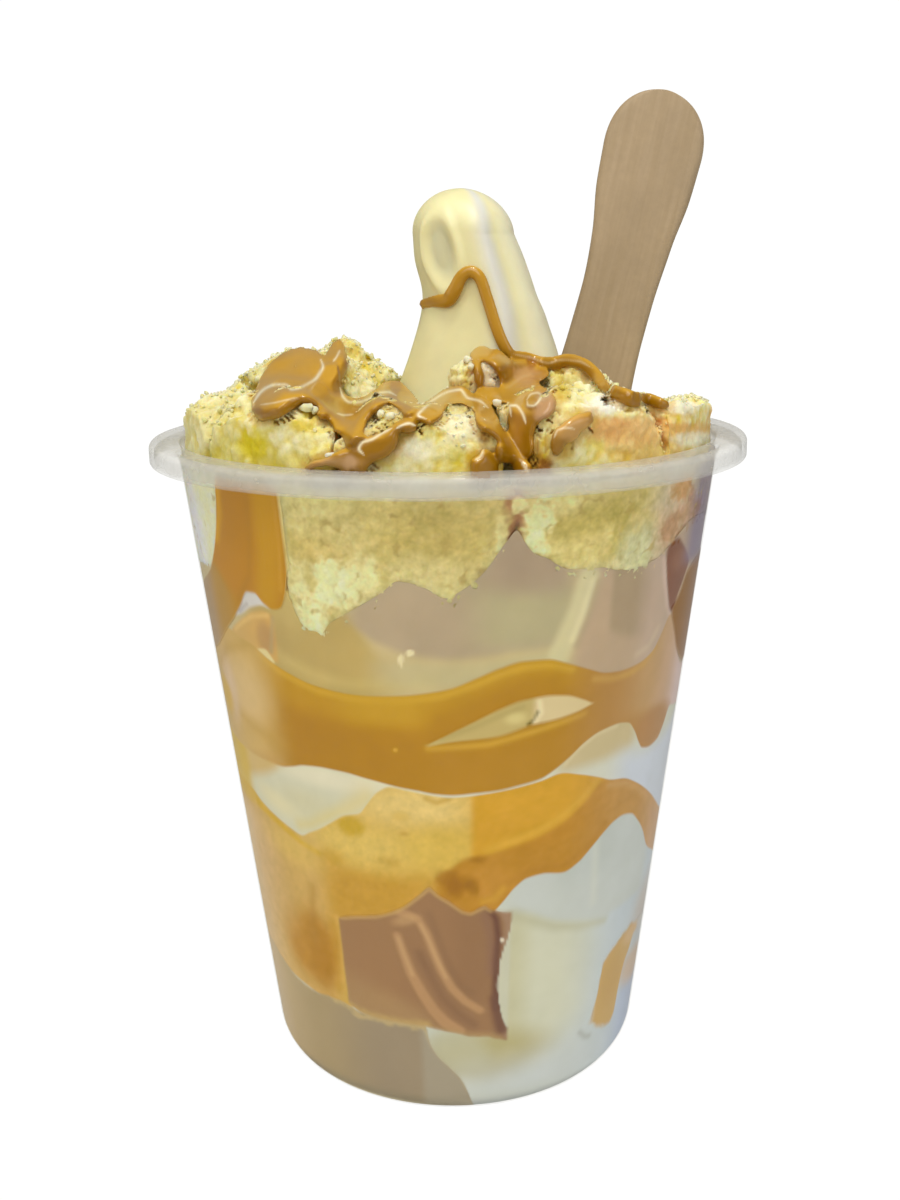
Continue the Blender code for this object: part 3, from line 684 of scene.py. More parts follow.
@dataclass(frozen=True)
class Field:
    """An area of the filling between two lines of levels, over a span of angles."""

    colour: str
    span: Point
    foot: tuple[Point, ...]
    top: tuple[Point, ...]
    soft: float = 0.5
    strength: float = 1.0
    grain: float = 0.0
    ragged: float = 0.0
    side_soft: float = 0.0

    def cover(self, wall: "WallPlaces") -> Array:
        """How much of the area's colour each place takes.

        Args:
            wall: the places on the wall.

        Returns:
            From 0 to 1 for each place.
        """
        level = wall.level + wall.ragged * self.ragged
        angle = wall.angle + wall.ragged * self.ragged
        side = self.side_soft or self.soft
        along = wall.radius * math.pi / 180.0
        from_start = (angle - self.span[0]) * along
        from_end = (self.span[1] - angle) * along
        inside = smooth_step(-side, side, from_start) * smooth_step(-side, side, from_end)
        above = level - Curve(self.foot).at(wall.angle)
        below = Curve(self.top).at(wall.angle) - level
        across = smooth_step(-self.soft, self.soft, above) * smooth_step(-self.soft, self.soft, below)
        return inside * across * self.strength


@dataclass(frozen=True)
class Stroke:
    """A band of colour along a line on the wall."""

    colour: str
    line: tuple[Point, ...]
    width: float
    soft: float = 0.4
    strength: float = 1.0
    grain: float = 0.0
    ragged: float = 0.0
    end_width: float | None = None

    def cover(self, wall: "WallPlaces") -> Array:
        """How much of the stroke's colour each place takes.

        Args:
            wall: the places on the wall.

        Returns:
            The share of the stroke at each place.
        """
        scale = wall.radius * math.pi / 180.0
        place = np.stack([wall.angle * scale, wall.level], axis=-1)
        place = place + (wall.ragged * self.ragged)[:, None]
        nearest = np.full(len(place), 1e9)
        width = np.full(len(place), self.width)
        runs = len(self.line) - 1
        last_width = self.width if self.end_width is None else self.end_width
        for number, (first, second) in enumerate(zip(self.line, self.line[1:])):
            start = np.stack([first[0] * scale, np.full(len(place), first[1])], axis=-1)
            end = np.stack([second[0] * scale, np.full(len(place), second[1])], axis=-1)
            run = end - start
            share = np.einsum("ij,ij->i", place - start, run) / np.einsum("ij,ij->i", run, run)
            share = np.clip(share, 0.0, 1.0)
            gap = np.linalg.norm(place - start - run * share[:, None], axis=1)
            closer = gap < nearest
            nearest = np.where(closer, gap, nearest)
            here = self.width + (last_width - self.width) * (number + share) / runs
            width = np.where(closer, here, width)
        return (1.0 - smooth_step(-self.soft, self.soft, nearest - width / 2)) * self.strength


@dataclass(frozen=True)
class Blob:
    """An oval patch of colour on the wall."""

    colour: str
    middle: Point
    half: Point
    soft: float = 0.5
    strength: float = 1.0
    grain: float = 0.0
    ragged: float = 0.0
    turn: float = 0.0

    def cover(self, wall: "WallPlaces") -> Array:
        """How much of the patch's colour each place takes.

        Args:
            wall: the places on the wall.

        Returns:
            The share of the blob at each place.
        """
        across = (wall.angle - self.middle[0]) * wall.radius * math.pi / 180.0
        up = wall.level - self.middle[1]
        cos, sin = math.cos(math.radians(self.turn)), math.sin(math.radians(self.turn))
        along, aside = across * cos + up * sin, up * cos - across * sin
        out = np.sqrt((along / self.half[0]) ** 2 + (aside / self.half[1]) ** 2)
        size = min(self.half)
        gap = (out - 1.0) * size + wall.ragged * self.ragged
        return (1.0 - smooth_step(-self.soft, self.soft, gap)) * self.strength


@dataclass(frozen=True)
class WallPlaces:
    """Places on the wall: angle, level, radius, and a raggedness that roughens edges."""

    angle: Array
    level: Array
    radius: Array
    ragged: Array


Mark = Field | Stroke | Blob


@dataclass(frozen=True)
class Patch:
    """A bounded area of the wall and the marks that stay inside it."""

    area: Mark
    marks: tuple[Mark, ...] = ()


@dataclass(frozen=True)
class Bed:
    """The paint of one layer: the edge that it starts at, its colour and its marks."""

    edge: Curve
    colour: str
    grain: float
    marks: tuple[Mark, ...] = ()
    mottle: float = 0.03
    mottle_size: float = 3.0
    ragged: float = 0.0


@dataclass(frozen=True)
class WallPaint:
    """All the colours of the filling where it meets the wall, laid one over another, with painted
    light and shade among them: highlights, shadows in folds, grooves and gaps, shade under the
    sponge, cool light on the right and a reflection at the left.
    """

    beds: tuple[Bed, ...]
    over: tuple[Patch, ...]
    gain: tuple[float, float, float]
    haze: tuple[float, float, float]
    edge_soft: float = 0.22

    def without_cake(self) -> "WallPaint":
        """The same paint, with the pressed sponge left out."""
        return replace(self, beds=self.beds[:-1])

    def cake_only(self) -> "WallPaint":
        """The pressed sponge's paint alone."""
        return replace(self, beds=self.beds[-1:])

    def lay(self, marks: Iterable[Mark], wall: WallPlaces, colour: Array, grain: Array) -> None:
        """Lays marks over colours that are already there.

        Args:
            marks: the marks, from the lowest.
            wall: the places.
            colour: linear colours, changed in place.
            grain: grain at each place, changed in place.
        """
        for mark in marks:
            cover = mark.cover(wall)
            colour += (linear(mark.colour) - colour) * cover[:, None]
            grain += (mark.grain - grain) * cover

    def colours(self, shape: CupShape, angle: Array, level: Array) -> tuple[Array, Array]:
        """Colour and grain at places on the wall.

        Args:
            shape: the cup.
            angle: degrees round the cup.
            level: height of each place.

        Returns:
            Linear colours, and grain from 0 to 1.
        """
        radius = shape.inner(level)
        places = round_cup(angle, radius, level)
        ragged = noise_at(places, 1.7, 4) + 0.6 * noise_at(places, 0.7, 9)
        wall = WallPlaces(angle, level, radius, ragged)
        whole = np.zeros((len(angle), 3))
        grain = np.zeros(len(angle))
        for number, bed in enumerate(self.beds):
            cover = np.ones(len(angle))
            if number:
                above = level - bed.edge.at(angle) + ragged * bed.ragged
                cover = smooth_step(-self.edge_soft, self.edge_soft, above)
            touched = cover > 0.0
            part = WallPlaces(angle[touched], level[touched], radius[touched], ragged[touched])
            colour = np.tile(linear(bed.colour), (touched.sum(), 1))
            own_grain = np.full(touched.sum(), bed.grain)
            self.lay(bed.marks, part, colour, own_grain)
            mottle = noise_at(places[touched], bed.mottle_size, 20 + number)
            mottle += 0.6 * noise_at(places[touched], bed.mottle_size * 0.4, 30 + number)
            tone = 1.0 + bed.mottle * mottle[:, None] * np.array([1.0, 1.0, 1.5])
            share = cover[touched][:, None]
            whole[touched] += (colour * tone - whole[touched]) * share
            grain[touched] += (own_grain - grain[touched]) * share[:, 0]
        for patch in self.over:
            cover = patch.area.cover(wall)
            touched = cover > 0.0
            part = WallPlaces(angle[touched], level[touched], radius[touched], ragged[touched])
            colour = np.tile(linear(patch.area.colour), (touched.sum(), 1))
            own_grain = np.full(touched.sum(), patch.area.grain)
            self.lay(patch.marks, part, colour, own_grain)
            share = cover[touched][:, None]
            whole[touched] += (colour - whole[touched]) * share
            grain[touched] += (own_grain - grain[touched]) * share[:, 0]
        return np.clip(whole * np.array(self.gain) - np.array(self.haze), 0.01, 0.95), grain


LOWER_CREAM_TOP = Curve((
    (-180, 33), (-150, 29), (-120, 25), (-90, 23), (-70, 22.3), (-50, 20.2), (-35, 19.3),
    (-20, 21), (0, 32), (12, 40.3), (15, 42.6), (18, 43.9), (22, 44.2), (28, 43.6), (32, 44.6),
    (36, 46.6), (40, 48.6), (43, 49.7), (46, 50.1), (50, 49.6), (54, 47.6), (58, 45), (63, 41),
    (68, 39), (84, 35), (110, 34), (145, 36)), True)
SOAKED_TOP = Curve((
    (-180, 50), (-150, 53), (-120, 52), (-90, 52), (-70, 53), (-60, 52.5), (-56, 51.5),
    (-50, 50.3), (-44, 49.2), (-40, 48.6), (-37, 49.6), (-34, 50.6), (-30, 52.3), (-26, 54),
    (-22, 54.8), (-20, 56.4), (-17, 58.8), (-14, 59.8), (-10, 59.4), (0, 58.4), (8, 58.8),
    (20, 59.9), (25, 60.6), (30, 59.8), (36, 58.4), (40, 57.3), (45, 56.6), (50, 55), (55, 53),
    (60, 50.8), (66, 48), (72, 45.6), (84, 43), (110, 43), (145, 46)), True)
BAND_FOOT = Curve((
    (-180, 66), (-150, 64), (-120, 62), (-84, 61), (-56, 59.5), (-44, 59.6), (-40, 60.2),
    (-36, 61), (-30, 61.4), (-25, 61.3), (-20, 60.8), (-15, 60.2), (-12, 59.8), (-8, 59.4),
    (-4, 58.9), (0, 58.7), (5, 58.9), (10, 59.1), (15, 59.6), (20, 60.2), (23, 61.2), (27, 63),
    (31, 65), (35, 66.1), (40, 66.5), (44, 66), (47, 64), (49, 62), (51, 60.6), (55, 60),
    (59, 60.4), (62, 62.3), (65, 64.8), (70, 64), (84, 62), (110, 61), (145, 63)), True)
BAND_TOP = Curve((
    (-180, 74), (-150, 76), (-120, 77), (-84, 78), (-58, 80), (-54, 79.5), (-48, 78.8),
    (-42, 77), (-36, 75.6), (-30, 74.6), (-20, 74), (-10, 74.4), (-4, 75), (0, 75.6), (5, 77),
    (10, 78.4), (15, 79.2), (20, 79.1), (25, 78), (30, 76.6), (35, 75.4), (40, 75.1), (45, 75.4),
    (50, 76.6), (53, 79), (56, 81.5), (60, 78.2), (65, 73.6), (70, 71), (84, 69), (110, 70),
    (145, 72)), True)
UPPER_CREAM_TOP = Curve((
    (-180, 90), (-140, 89), (-100, 88), (-75, 88), (-52, 89), (-36, 88), (-34, 86), (-32, 82.5),
    (-30, 81.4), (-27, 81), (-25, 82.6), (-22, 84), (-19, 85.3), (-16, 86.6), (-13, 88),
    (-10, 89.6), (-7, 89.3), (-4, 88.4), (-1, 87.2), (2, 88.2), (5, 89.8), (7, 91.3), (9, 93.4),
    (11, 95.4), (12.5, 96.6), (14, 95.0), (16, 93.2), (19, 92.2), (21, 91.2), (23, 90.5),
    (27, 90.1), (31, 90), (35, 89.2), (39, 88.9), (43, 89.1), (47, 89.6), (50, 90.6), (62, 94),
    (84, 92), (110, 90), (145, 90)), True)

LEFT_STREAK_FOOT = ((-76, 73.4), (-70, 75), (-66, 76.2), (-62, 78), (-58, 80), (-54, 82),
                    (-50, 84.6), (-46.5, 87.2), (-44, 87.3), (-41.5, 86), (-39, 85.4),
                    (-37, 85.7), (-35, 88), (-33.6, 92))
LEFT_STREAK_TOP = ((-76, 84), (-70, 86), (-66, 87.2), (-62, 89), (-58, 92.2), (-55, 96),
                   (-53, 100), (-51.8, 104), (-33, 104))
RIGHT_STREAK_FOOT = ((56, 82), (58, 80), (60, 78), (63, 75), (68, 72.4), (73, 71), (88, 70.5))
RIGHT_STREAK_TOP = ((56, 82.4), (58, 83.2), (60, 84.4), (63, 87.2), (70, 88.4), (88, 88))
FOLD_FOOT = ((-5, 66.6), (0, 67.3), (10, 67.9), (15, 68.8), (17, 69.2), (22, 69.5), (28, 70.2),
             (31.6, 70.9))
FOLD_TOP = ((-5, 66.9), (0, 68.7), (5, 70.4), (10, 72), (15, 73.1), (20, 73.4), (25, 73),
            (30, 71.7), (31.6, 71.1))
POCKET_FOOT = ((43, 13), (46, 12), (50, 10.7), (54, 10.3), (56.2, 12), (56.8, 16), (58, 19.6),
               (61, 22.4), (64, 24.6), (74, 25))
POCKET_TOP = ((43, 13.6), (45, 18), (46, 23.6), (48, 24.6), (52, 26), (56, 27), (60, 27.4),
              (64, 26.4), (74, 26))
ICED_FOOT = ((-33, 20.6), (-30, 19.6), (-26, 18.8), (-20, 18.5), (-12, 18.4), (-8, 18.1),
             (-4, 17.6), (0, 17.1), (4, 16.4), (9, 16.1), (11, 15.6), (14.6, 14.9))
ICED_TOP = ((-31, 35.6), (-29, 36.2), (-25, 36.9), (-20, 37.5), (-15, 38.8), (-12, 39.9),
            (-8, 42.2), (-6, 43.3), (-4, 42.1), (-1, 40.9), (2, 39.3), (4, 38.9), (6, 39.6),
            (7.5, 39.9), (9, 39.2), (12, 38.6), (14.6, 38.4))
BASE_FOOT = ((-78, 0.5), (6, 0.5))
BASE_TOP = ((-78, 23.4), (-66, 22.8), (-60, 21.8), (-50, 20), (-42, 19.6), (-38, 20),
            (-33, 19.9), (-28, 19.0), (-20, 18.8), (-12, 18.7), (-8.4, 18.3), (-7.2, 15),
            (-5, 12.6), (-2, 10.6), (1, 8.6), (3, 6.2), (4, 4.4), (6, 0.6))

LOWER_CREAM_BED = Bed(LOWER_CREAM_TOP, "bfc0b3", 0.0, (
    Field("c3c0a4", (8, 42), ((8, 12), (42, 16)), ((8, 37), (16, 37), (42, 32)), 4, 0.7),
    # bluish grey towards the right: painted cool light
    Field("b5bbbd", (40, 110), ((40, -2), (110, -2)), ((40, 54), (110, 54)), 7, 0.9,
          side_soft=8),
    # lighter cream above the fold's edge: painted light on the fold
    Field("b8bab2", (13, 64), ((13, 38.6), (20, 37.2), (26, 35.4), (34, 34), (44, 33), (64, 33)),
          ((13, 60), (64, 60)), 0.9, 0.9, side_soft=2.5),
    Field("adb0a8", (26, 45), ((26, 41.5), (45, 41.5)), ((26, 52), (45, 52)), 2.5, 0.5,
          side_soft=3),
    # dark stroke under the fold's edge: painted shadow
    Stroke("aeaa8c", ((15, 37.6), (20, 36.2), (26, 34.4), (34, 33), (44, 32)), 2.0, 1.2, 0.75,
           end_width=0.8),
    Stroke("c5c5b6", ((37, 48), (38, 42), (38.6, 36.6)), 1.2, 1.1, 0.5),
    Field("b4ad86", (10, 19), ((10, 14), (19, 14)), ((10, 38), (19, 37)), 2.5, 0.55,
          side_soft=2.2),
    Blob("aca278", (9, 12.5), (9.5, 4.6), 2.4, 0.95),
    Blob("b1ac90", (1, 13.6), (5, 3.4), 1.4, 0.8, turn=-35),
    Blob("b7bab8", (26, 7), (13, 4), 4, 0.7),
    # bluish grey low on the right: painted cool light
    Field("aab1c2", (57, 110), ((57, -2), (110, -2)), ((57, 15), (62, 16), (110, 13)), 2.4, 0.75,
          side_soft=4),
    Blob("c3a687", (69, 17.5), (7.5, 3.2), 1.8, 0.75, turn=-14),
    Blob("b9a48e", (70, 28), (5, 5), 4, 0.5),
    # grey strip along the foot: painted shade
    Field("9b9c9a", (2, 110), ((2, -2), (110, -2)), ((2, 3.6), (110, 3.2)), 1.3, 0.7),
    Stroke("99978c", ((39, 12.2), (41.5, 10.8), (43.5, 10.4)), 0.8, 0.6, 0.55),
), 0.02, 5.0)

SOAKED_BED = Bed(LOWER_CREAM_TOP, "c4a356", 0.4, (
    Field("c1a064", (-100, -33), ((-100, 18), (-33, 18)), ((-100, 56), (-33, 56)), 2, 0.9, 0.3,
          side_soft=3),
    Field("ceb48b", (-110, -60), ((-110, 18), (-60, 18)), ((-110, 49), (-60, 48)), 3, 0.9,
          side_soft=6),
    Field("c5a447", (-110, -55), ((-110, 50), (-66, 49.6), (-55, 50.2)),
          ((-110, 62), (-55, 62)), 0.8, 0.95, side_soft=2.5),
    Field("b98f45", (-34, -6), ((-34, 30), (-6, 30)), ((-34, 46), (-26, 45), (-12, 44.6),
                                                     (-6, 45.5)), 1.8, 0.85, 0.3, side_soft=2.5),
    Blob("b08340", (-42, 28.5), (6.6, 6.8), 2.6, 0.95, 0.2),
    Blob("a67a3b", (-38.8, 27), (2.4, 6), 1.6, 0.7, 0.2, turn=4),
    Stroke("a98145", ((-38.6, 39.5), (-40, 35), (-40.5, 30)), 1.5, 1.2, 0.6),
    Blob("bb9a58", (-49, 37), (3.5, 6), 3, 0.5, turn=-20),
    Blob("c9ab60", (-46, 45.5), (7, 2.4), 2.0, 0.7, turn=-8),
    Stroke("b98f46", ((-33.6, 34), (-32.8, 28), (-33.8, 22)), 1.3, 0.9, 0.55),
    Stroke("caa85e", ((-31.2, 35.5), (-30.8, 30), (-31.6, 24)), 1.0, 0.6, 0.6),
    Blob("c1a272", (-58, 40), (5, 9), 4, 0.6, turn=10),
    Stroke("c39f3f", ((-58, 50.6), (-50, 49.4), (-45, 48.4), (-40, 47.2), (-35, 46.4)), 1.5, 0.7,
           0.9, end_width=0.7),
    Blob("cdb267", (-22, 49.5), (9, 3.2), 2.4, 0.8, 0.7),
    Blob("d1b776", (-9, 56.6), (9.5, 3.4), 2.2, 0.9, 0.7),
    Blob("c8aa58", (-3, 50), (5.4, 3.6), 2.0, 0.6, 0.6),
    Blob("b9983f", (-24.4, 52.3), (2.2, 1.7), 0.8, 0.85, 0.4, 0.3, 10),
    Blob("b6934b", (-15.6, 47.2), (1.5, 0.7), 0.6, 0.7, 0.5, 0.3),
    Blob("ba9444", (-31, 46.4), (2.2, 1.3), 1.0, 0.6, 0.4, 0.3),
    Stroke("b38e42", ((-6, 58.2), (-3.6, 57.5), (-1, 58.1)), 0.8, 0.4, 0.6),
    Blob("b18b49", (-11.4, 52.2), (0.7, 0.4), 0.3, 0.6),
    Blob("bf9c46", (-12, 55), (1.3, 0.8), 0.5, 0.4),
    Field("c29440", (4.3, 60), ((4.3, 47.6), (10, 48.4), (60, 52)), ((4.3, 66), (60, 66)), 0.9,
          0.97, 0.0, side_soft=0.7),
    Blob("c99a42", (20, 57), (9, 2.6), 2, 0.5),
    Field("b0813e", (-5, 110), ((-5, 20), (110, 20)),
          ((-5, 44.6), (-1, 46.4), (3, 48.2), (8, 48.7), (14, 49.6), (20, 50.6), (27, 52.4),
           (33, 55.2), (37, 57.4), (40, 57.8), (110, 58)), 0.7, 0.95, side_soft=1.6),
    Blob("b98947", (8.6, 43.6), (3.0, 3.4), 1.8, 0.7),
    Stroke("caa14a", ((8, 49.5), (14, 50.6), (20, 51.6), (27, 53.6), (33, 56.4), (36.5, 58.4)),
           1.0, 0.7, 0.8),
    Field("b38c58", (36, 110), ((36, 20), (110, 20)), ((36, 60), (110, 60)), 2.0, 0.8,
          side_soft=7),
    Field("be9c7a", (60, 110), ((60, 20), (110, 20)), ((60, 60), (110, 60)), 2.5, 0.8,
          side_soft=6),
    Stroke("bd9868", ((40, 56.4), (46, 55.7), (52, 53.6), (60, 50), (70, 45.6)), 1.0, 0.8, 0.7),
    Stroke("a87a3f", ((13, 43.4), (18, 45.2), (28, 44.9), (34, 46.6), (40, 50)), 0.9, 0.8, 0.45),
    Blob("976b35", (0.2, 43.6), (1.4, 2.0), 0.9, 0.85, 0.2, 0.25),
    Blob("8f6631", (4.2, 43.6), (1.0, 1.6), 0.7, 0.75, 0.2, 0.25, 25),
    Blob("9a6f37", (5.8, 47.9), (1.0, 0.5), 0.5, 0.8, 0.2, 0.15),
    Blob("9b7038", (-2.4, 45.2), (1.2, 1.1), 0.6, 0.6, 0.2, 0.2),
    Stroke("c49848", ((7, 40.6), (10, 41), (12, 42.6)), 1.0, 0.7, 0.6),
), 0.05, 1.8)

MIDDLE_CREAM_BED = Bed(SOAKED_TOP, "c4c2b0", 0.0, (
    Field("c4c0a6", (-62, -8), ((-62, 46), (-8, 46)), ((-62, 64), (-8, 64)), 1.2, 1.0,
          side_soft=2),
    Blob("d2cbb0", (-27, 59.8), (12, 1.6), 1.3, 0.9),
    Blob("c2bb99", (-38, 54.4), (6, 2.2), 1.8, 0.8),
    Blob("cfc6a0", (-48, 53), (5, 1.6), 1.3, 0.8, turn=-12),
    Stroke("c8ba84", ((-40, 50.4), (-36, 51.2), (-30, 53.6), (-25, 55.4), (-20, 57.6)), 1.6, 1.2,
           0.8),
    Stroke("cdbf92", ((-24, 55.4), (-20, 58.4)), 3.2, 2.0, 0.6),
    Field("c3a66a", (-100, -44), ((-100, 46), (-60, 55), (-50, 57.4), (-44, 59.6)),
          ((-100, 64), (-44, 64)), 1.4, 0.9, side_soft=1.6),
    Field("c6a84c", (-110, -60), ((-110, 46), (-60, 46)), ((-110, 64), (-60, 64)), 2, 0.9,
          side_soft=2),
    Field("bcab82", (24, 47), ((24, 60.4), (33, 61), (47, 61.6)), ((24, 68), (47, 68)), 1.5,
          0.95, side_soft=2),
    Stroke("cbbb97", ((26, 62), (29, 64), (34, 65.8), (40, 66.2)), 0.7, 0.5, 0.6),
    # bluish grey towards the right: painted cool light
    Field("bfc3ca", (42, 120), ((42, 40), (120, 40)), ((42, 61.5), (54, 60), (120, 70)), 2.6,
          0.9, side_soft=4),
), 0.015, 4.0)

BAND_BED = Bed(BAND_FOOT, "aa7f38", 0.0, (
    Field("b48b3c", (-46, 30), ((-46, 71), (-20, 70), (0, 71), (8, 73.6), (14, 75), (30, 75)),
          ((-46, 90), (30, 90)), 2.2, 0.8, side_soft=5),
    Field("a67b36", (-42, 8), ((-42, 60), (8, 60)), ((-42, 70), (8, 66)), 2.8, 0.6,
          side_soft=5),
    # pale line along the band's top edge: painted highlight
    Stroke("c29b43", ((-46, 77.6), (-40, 75.8), (-30, 73.9), (-20, 73.3), (-10, 73.6),
                      (-2, 74.4), (5, 76), (10, 77.4), (15, 78.2), (20, 78.2), (26, 77)), 1.0,
           0.7, 0.85),
    Field("bd963f", (-24, -6), ((-24, 69.5), (-6, 69.5)), ((-24, 75), (-6, 75)), 1.6, 0.55,
          side_soft=3),
    Stroke("a57a33", ((-2, 70.6), (6, 73.2), (14, 75.4), (22, 75.6)), 2.4, 1.6, 0.5),
    Stroke("c59d48", ((-5, 66.2), (0, 66.4), (8, 66.7), (15, 67.7), (22, 68.6), (30, 69.6)), 0.9,
           0.6, 0.8),
    Field("ac813f", (-8, 30), ((-8, 58), (30, 60)), ((-8, 65.6), (10, 65.8), (30, 68)), 1.6,
          0.6, side_soft=4),
    Field("ab8351", (30, 120), ((30, 50), (120, 50)), ((30, 90), (120, 90)), 2.0, 0.95,
          side_soft=6),
    Field("b5946a", (44, 120), ((44, 67), (120, 60)), ((44, 90), (120, 90)), 2.2, 0.9,
          side_soft=5),
    Field("bb9d80", (55, 120), ((55, 60), (120, 55)), ((55, 90), (120, 90)), 2.2, 0.85,
          side_soft=4),
    Field("ccb6b0", (64, 120), ((64, 50), (120, 50)), ((64, 90), (120, 90)), 2.2, 0.8,
          side_soft=4),
    Stroke("bd9757", ((32, 74.8), (37, 74.2), (42, 74.2), (47, 75), (51, 77)), 0.9, 0.7, 0.7),
    Blob("a98156", (56, 63.6), (5.8, 3.2), 1.2, 0.9),
    Field("c2a468", (-110, -44), ((-110, 50), (-44, 50)), ((-110, 90), (-44, 90)), 2.0, 0.9,
          side_soft=5),
    Blob("caae7c", (-55, 70.5), (6.5, 5), 3.0, 0.8),
    Blob("cdb49a", (-64, 69), (3.0, 5), 2.0, 0.6),
    Stroke("b3904f", ((-46, 79.5), (-52, 78), (-60, 76.4), (-68, 73)), 1.4, 0.9, 0.5),
    Stroke("b48f4a", ((-58, 65.4), (-50, 64.2), (-42, 63.4)), 1.6, 1.6, 0.5),
    Blob("c6a23f", (-69, 67), (3.4, 3), 1.5, 0.85),
    Stroke("b7915a", ((-56, 58.8), (-50, 60), (-44, 60.4)), 1.6, 1.2, 0.5),
    Blob("c7a04c", (-12.3, 65.8), (0.35, 0.35), 0.2, 0.8),
), 0.025, 3.0)

# the upper cream's beige, darker than the cream below the band: painted shade under the sponge
UPPER_CREAM_BED = Bed(BAND_TOP, "bcaa7c", 0.0, (
    Field("b0975a", (-47, -14), ((-47, 72), (-14, 72)), ((-47, 92), (-30, 92), (-14, 80)), 2,
          0.9, side_soft=4),
    Blob("bda668", (-35.5, 86.5), (3, 5), 1.6, 0.8),
    Blob("ab925a", (-38.6, 81.5), (2.6, 2.8), 1.8, 0.6),
    Stroke("c0ab6c", ((-40, 78.5), (-32, 76.6), (-24, 75.6), (-14, 75.8), (-4, 76.8)), 1.6, 1.2,
           0.6),
    # greyish beige just below the sponge: painted shade under the sponge
    Field("a8947a", (-20, 24), ((-20, 84.6), (-14, 82), (-8, 80.6), (0, 80), (8, 80.4), (14, 81),
                                (24, 81)), ((-20, 98), (24, 98)), 1.0, 0.85, side_soft=2),
    Field("aca27a", (5, 27), ((5, 81.5), (27, 81)), ((5, 90.5), (27, 90.5)), 2.0, 0.8,
          side_soft=4),
    # darker just below the sponge's edge by the gap: painted shade
    Field("9f8a72", (8, 24), ((8, 89.5), (24, 88.6)), ((8, 104), (24, 104)), 1.8, 0.7,
          side_soft=3),
    Field("b8ab80", (-14, 22), ((-14, 75.4), (22, 77)), ((-14, 79.4), (0, 79.3), (22, 80.4)),
          0.9, 0.7, side_soft=4),
    Field("b29a7c", (26, 120), ((26, 72), (120, 60)), ((26, 100), (120, 100)), 1.2, 1.0,
          side_soft=1.6),
    # a cream fold: pale on its ridge and taupe on its right side, painted light and shade
    Stroke("c6bb8f", ((22.6, 79.6), (24.4, 82.4), (26.6, 86), (28.2, 90.4)), 3.4, 0.9, 0.95,
           end_width=3.6),
    Stroke("cfc49a", ((25.4, 81.6), (27.4, 85.4), (29.2, 90)), 0.9, 0.5, 0.85),
    Stroke("a4906f", ((26.6, 80.6), (28.8, 84.6), (30.6, 89.8)), 0.9, 0.7, 0.55),
    Field("9f8a6c", (34.4, 47), ((34.4, 82.2), (39, 80.6), (47, 79.4)), ((34.4, 94), (47, 94)),
          1.2, 0.85, side_soft=0.8),
    Field("b59e88", (44, 58), ((44, 74), (58, 76)), ((44, 94), (58, 94)), 2, 0.85,
          side_soft=2.6),
    Stroke("c6ae9f", ((49.6, 91), (51.4, 87), (53.6, 83.6), (56, 81.4)), 0.9, 0.5, 0.8),
    Stroke("c3b295", ((44, 77), (48, 77.6), (51, 80)), 0.9, 0.8, 0.5),
    Field("c39c58", (-56, -39.4), ((-56, 77), (-39.4, 77)),
          ((-56, 80), (-52, 81.8), (-49, 83), (-46, 84.1), (-42, 84.8), (-39.4, 84.4)), 0.45, 0.9,
          side_soft=0.5),
    Stroke("cfae6c", ((-54, 80.4), (-50, 82.1), (-46, 83.5), (-41, 84.2)), 0.7, 0.45, 0.8),
    # darker brown under the caramel loop: painted shade
    Blob("ab8556", (-42.6, 80.6), (1.9, 2.4), 0.9, 0.75, turn=-10),
    Stroke("ab9468", ((-39.5, 84), (-40.6, 81), (-41.4, 78.6)), 0.7, 0.4, 0.8),
    Field("d6c48c", (-46.4, -40.8), ((-46.4, 77.2), (-40.8, 76)),
          ((-46.4, 78.3), (-43.4, 78.7), (-40.8, 77.2)), 0.3, 0.9, side_soft=0.3),
    Field("c8c3bc", (-53, -40), ((-53, 82.6), (-50, 83.4), (-46, 84.9), (-42, 85.6), (-40, 85.4)),
          ((-53, 83.6), (-50, 86), (-46, 88), (-42, 88), (-40, 87)), 0.4, 0.95, side_soft=0.6),
    Stroke("a59b93", ((-50.6, 83.7), (-47.4, 85.2)), 0.7, 0.4, 0.6),
), 0.02, 5.0)

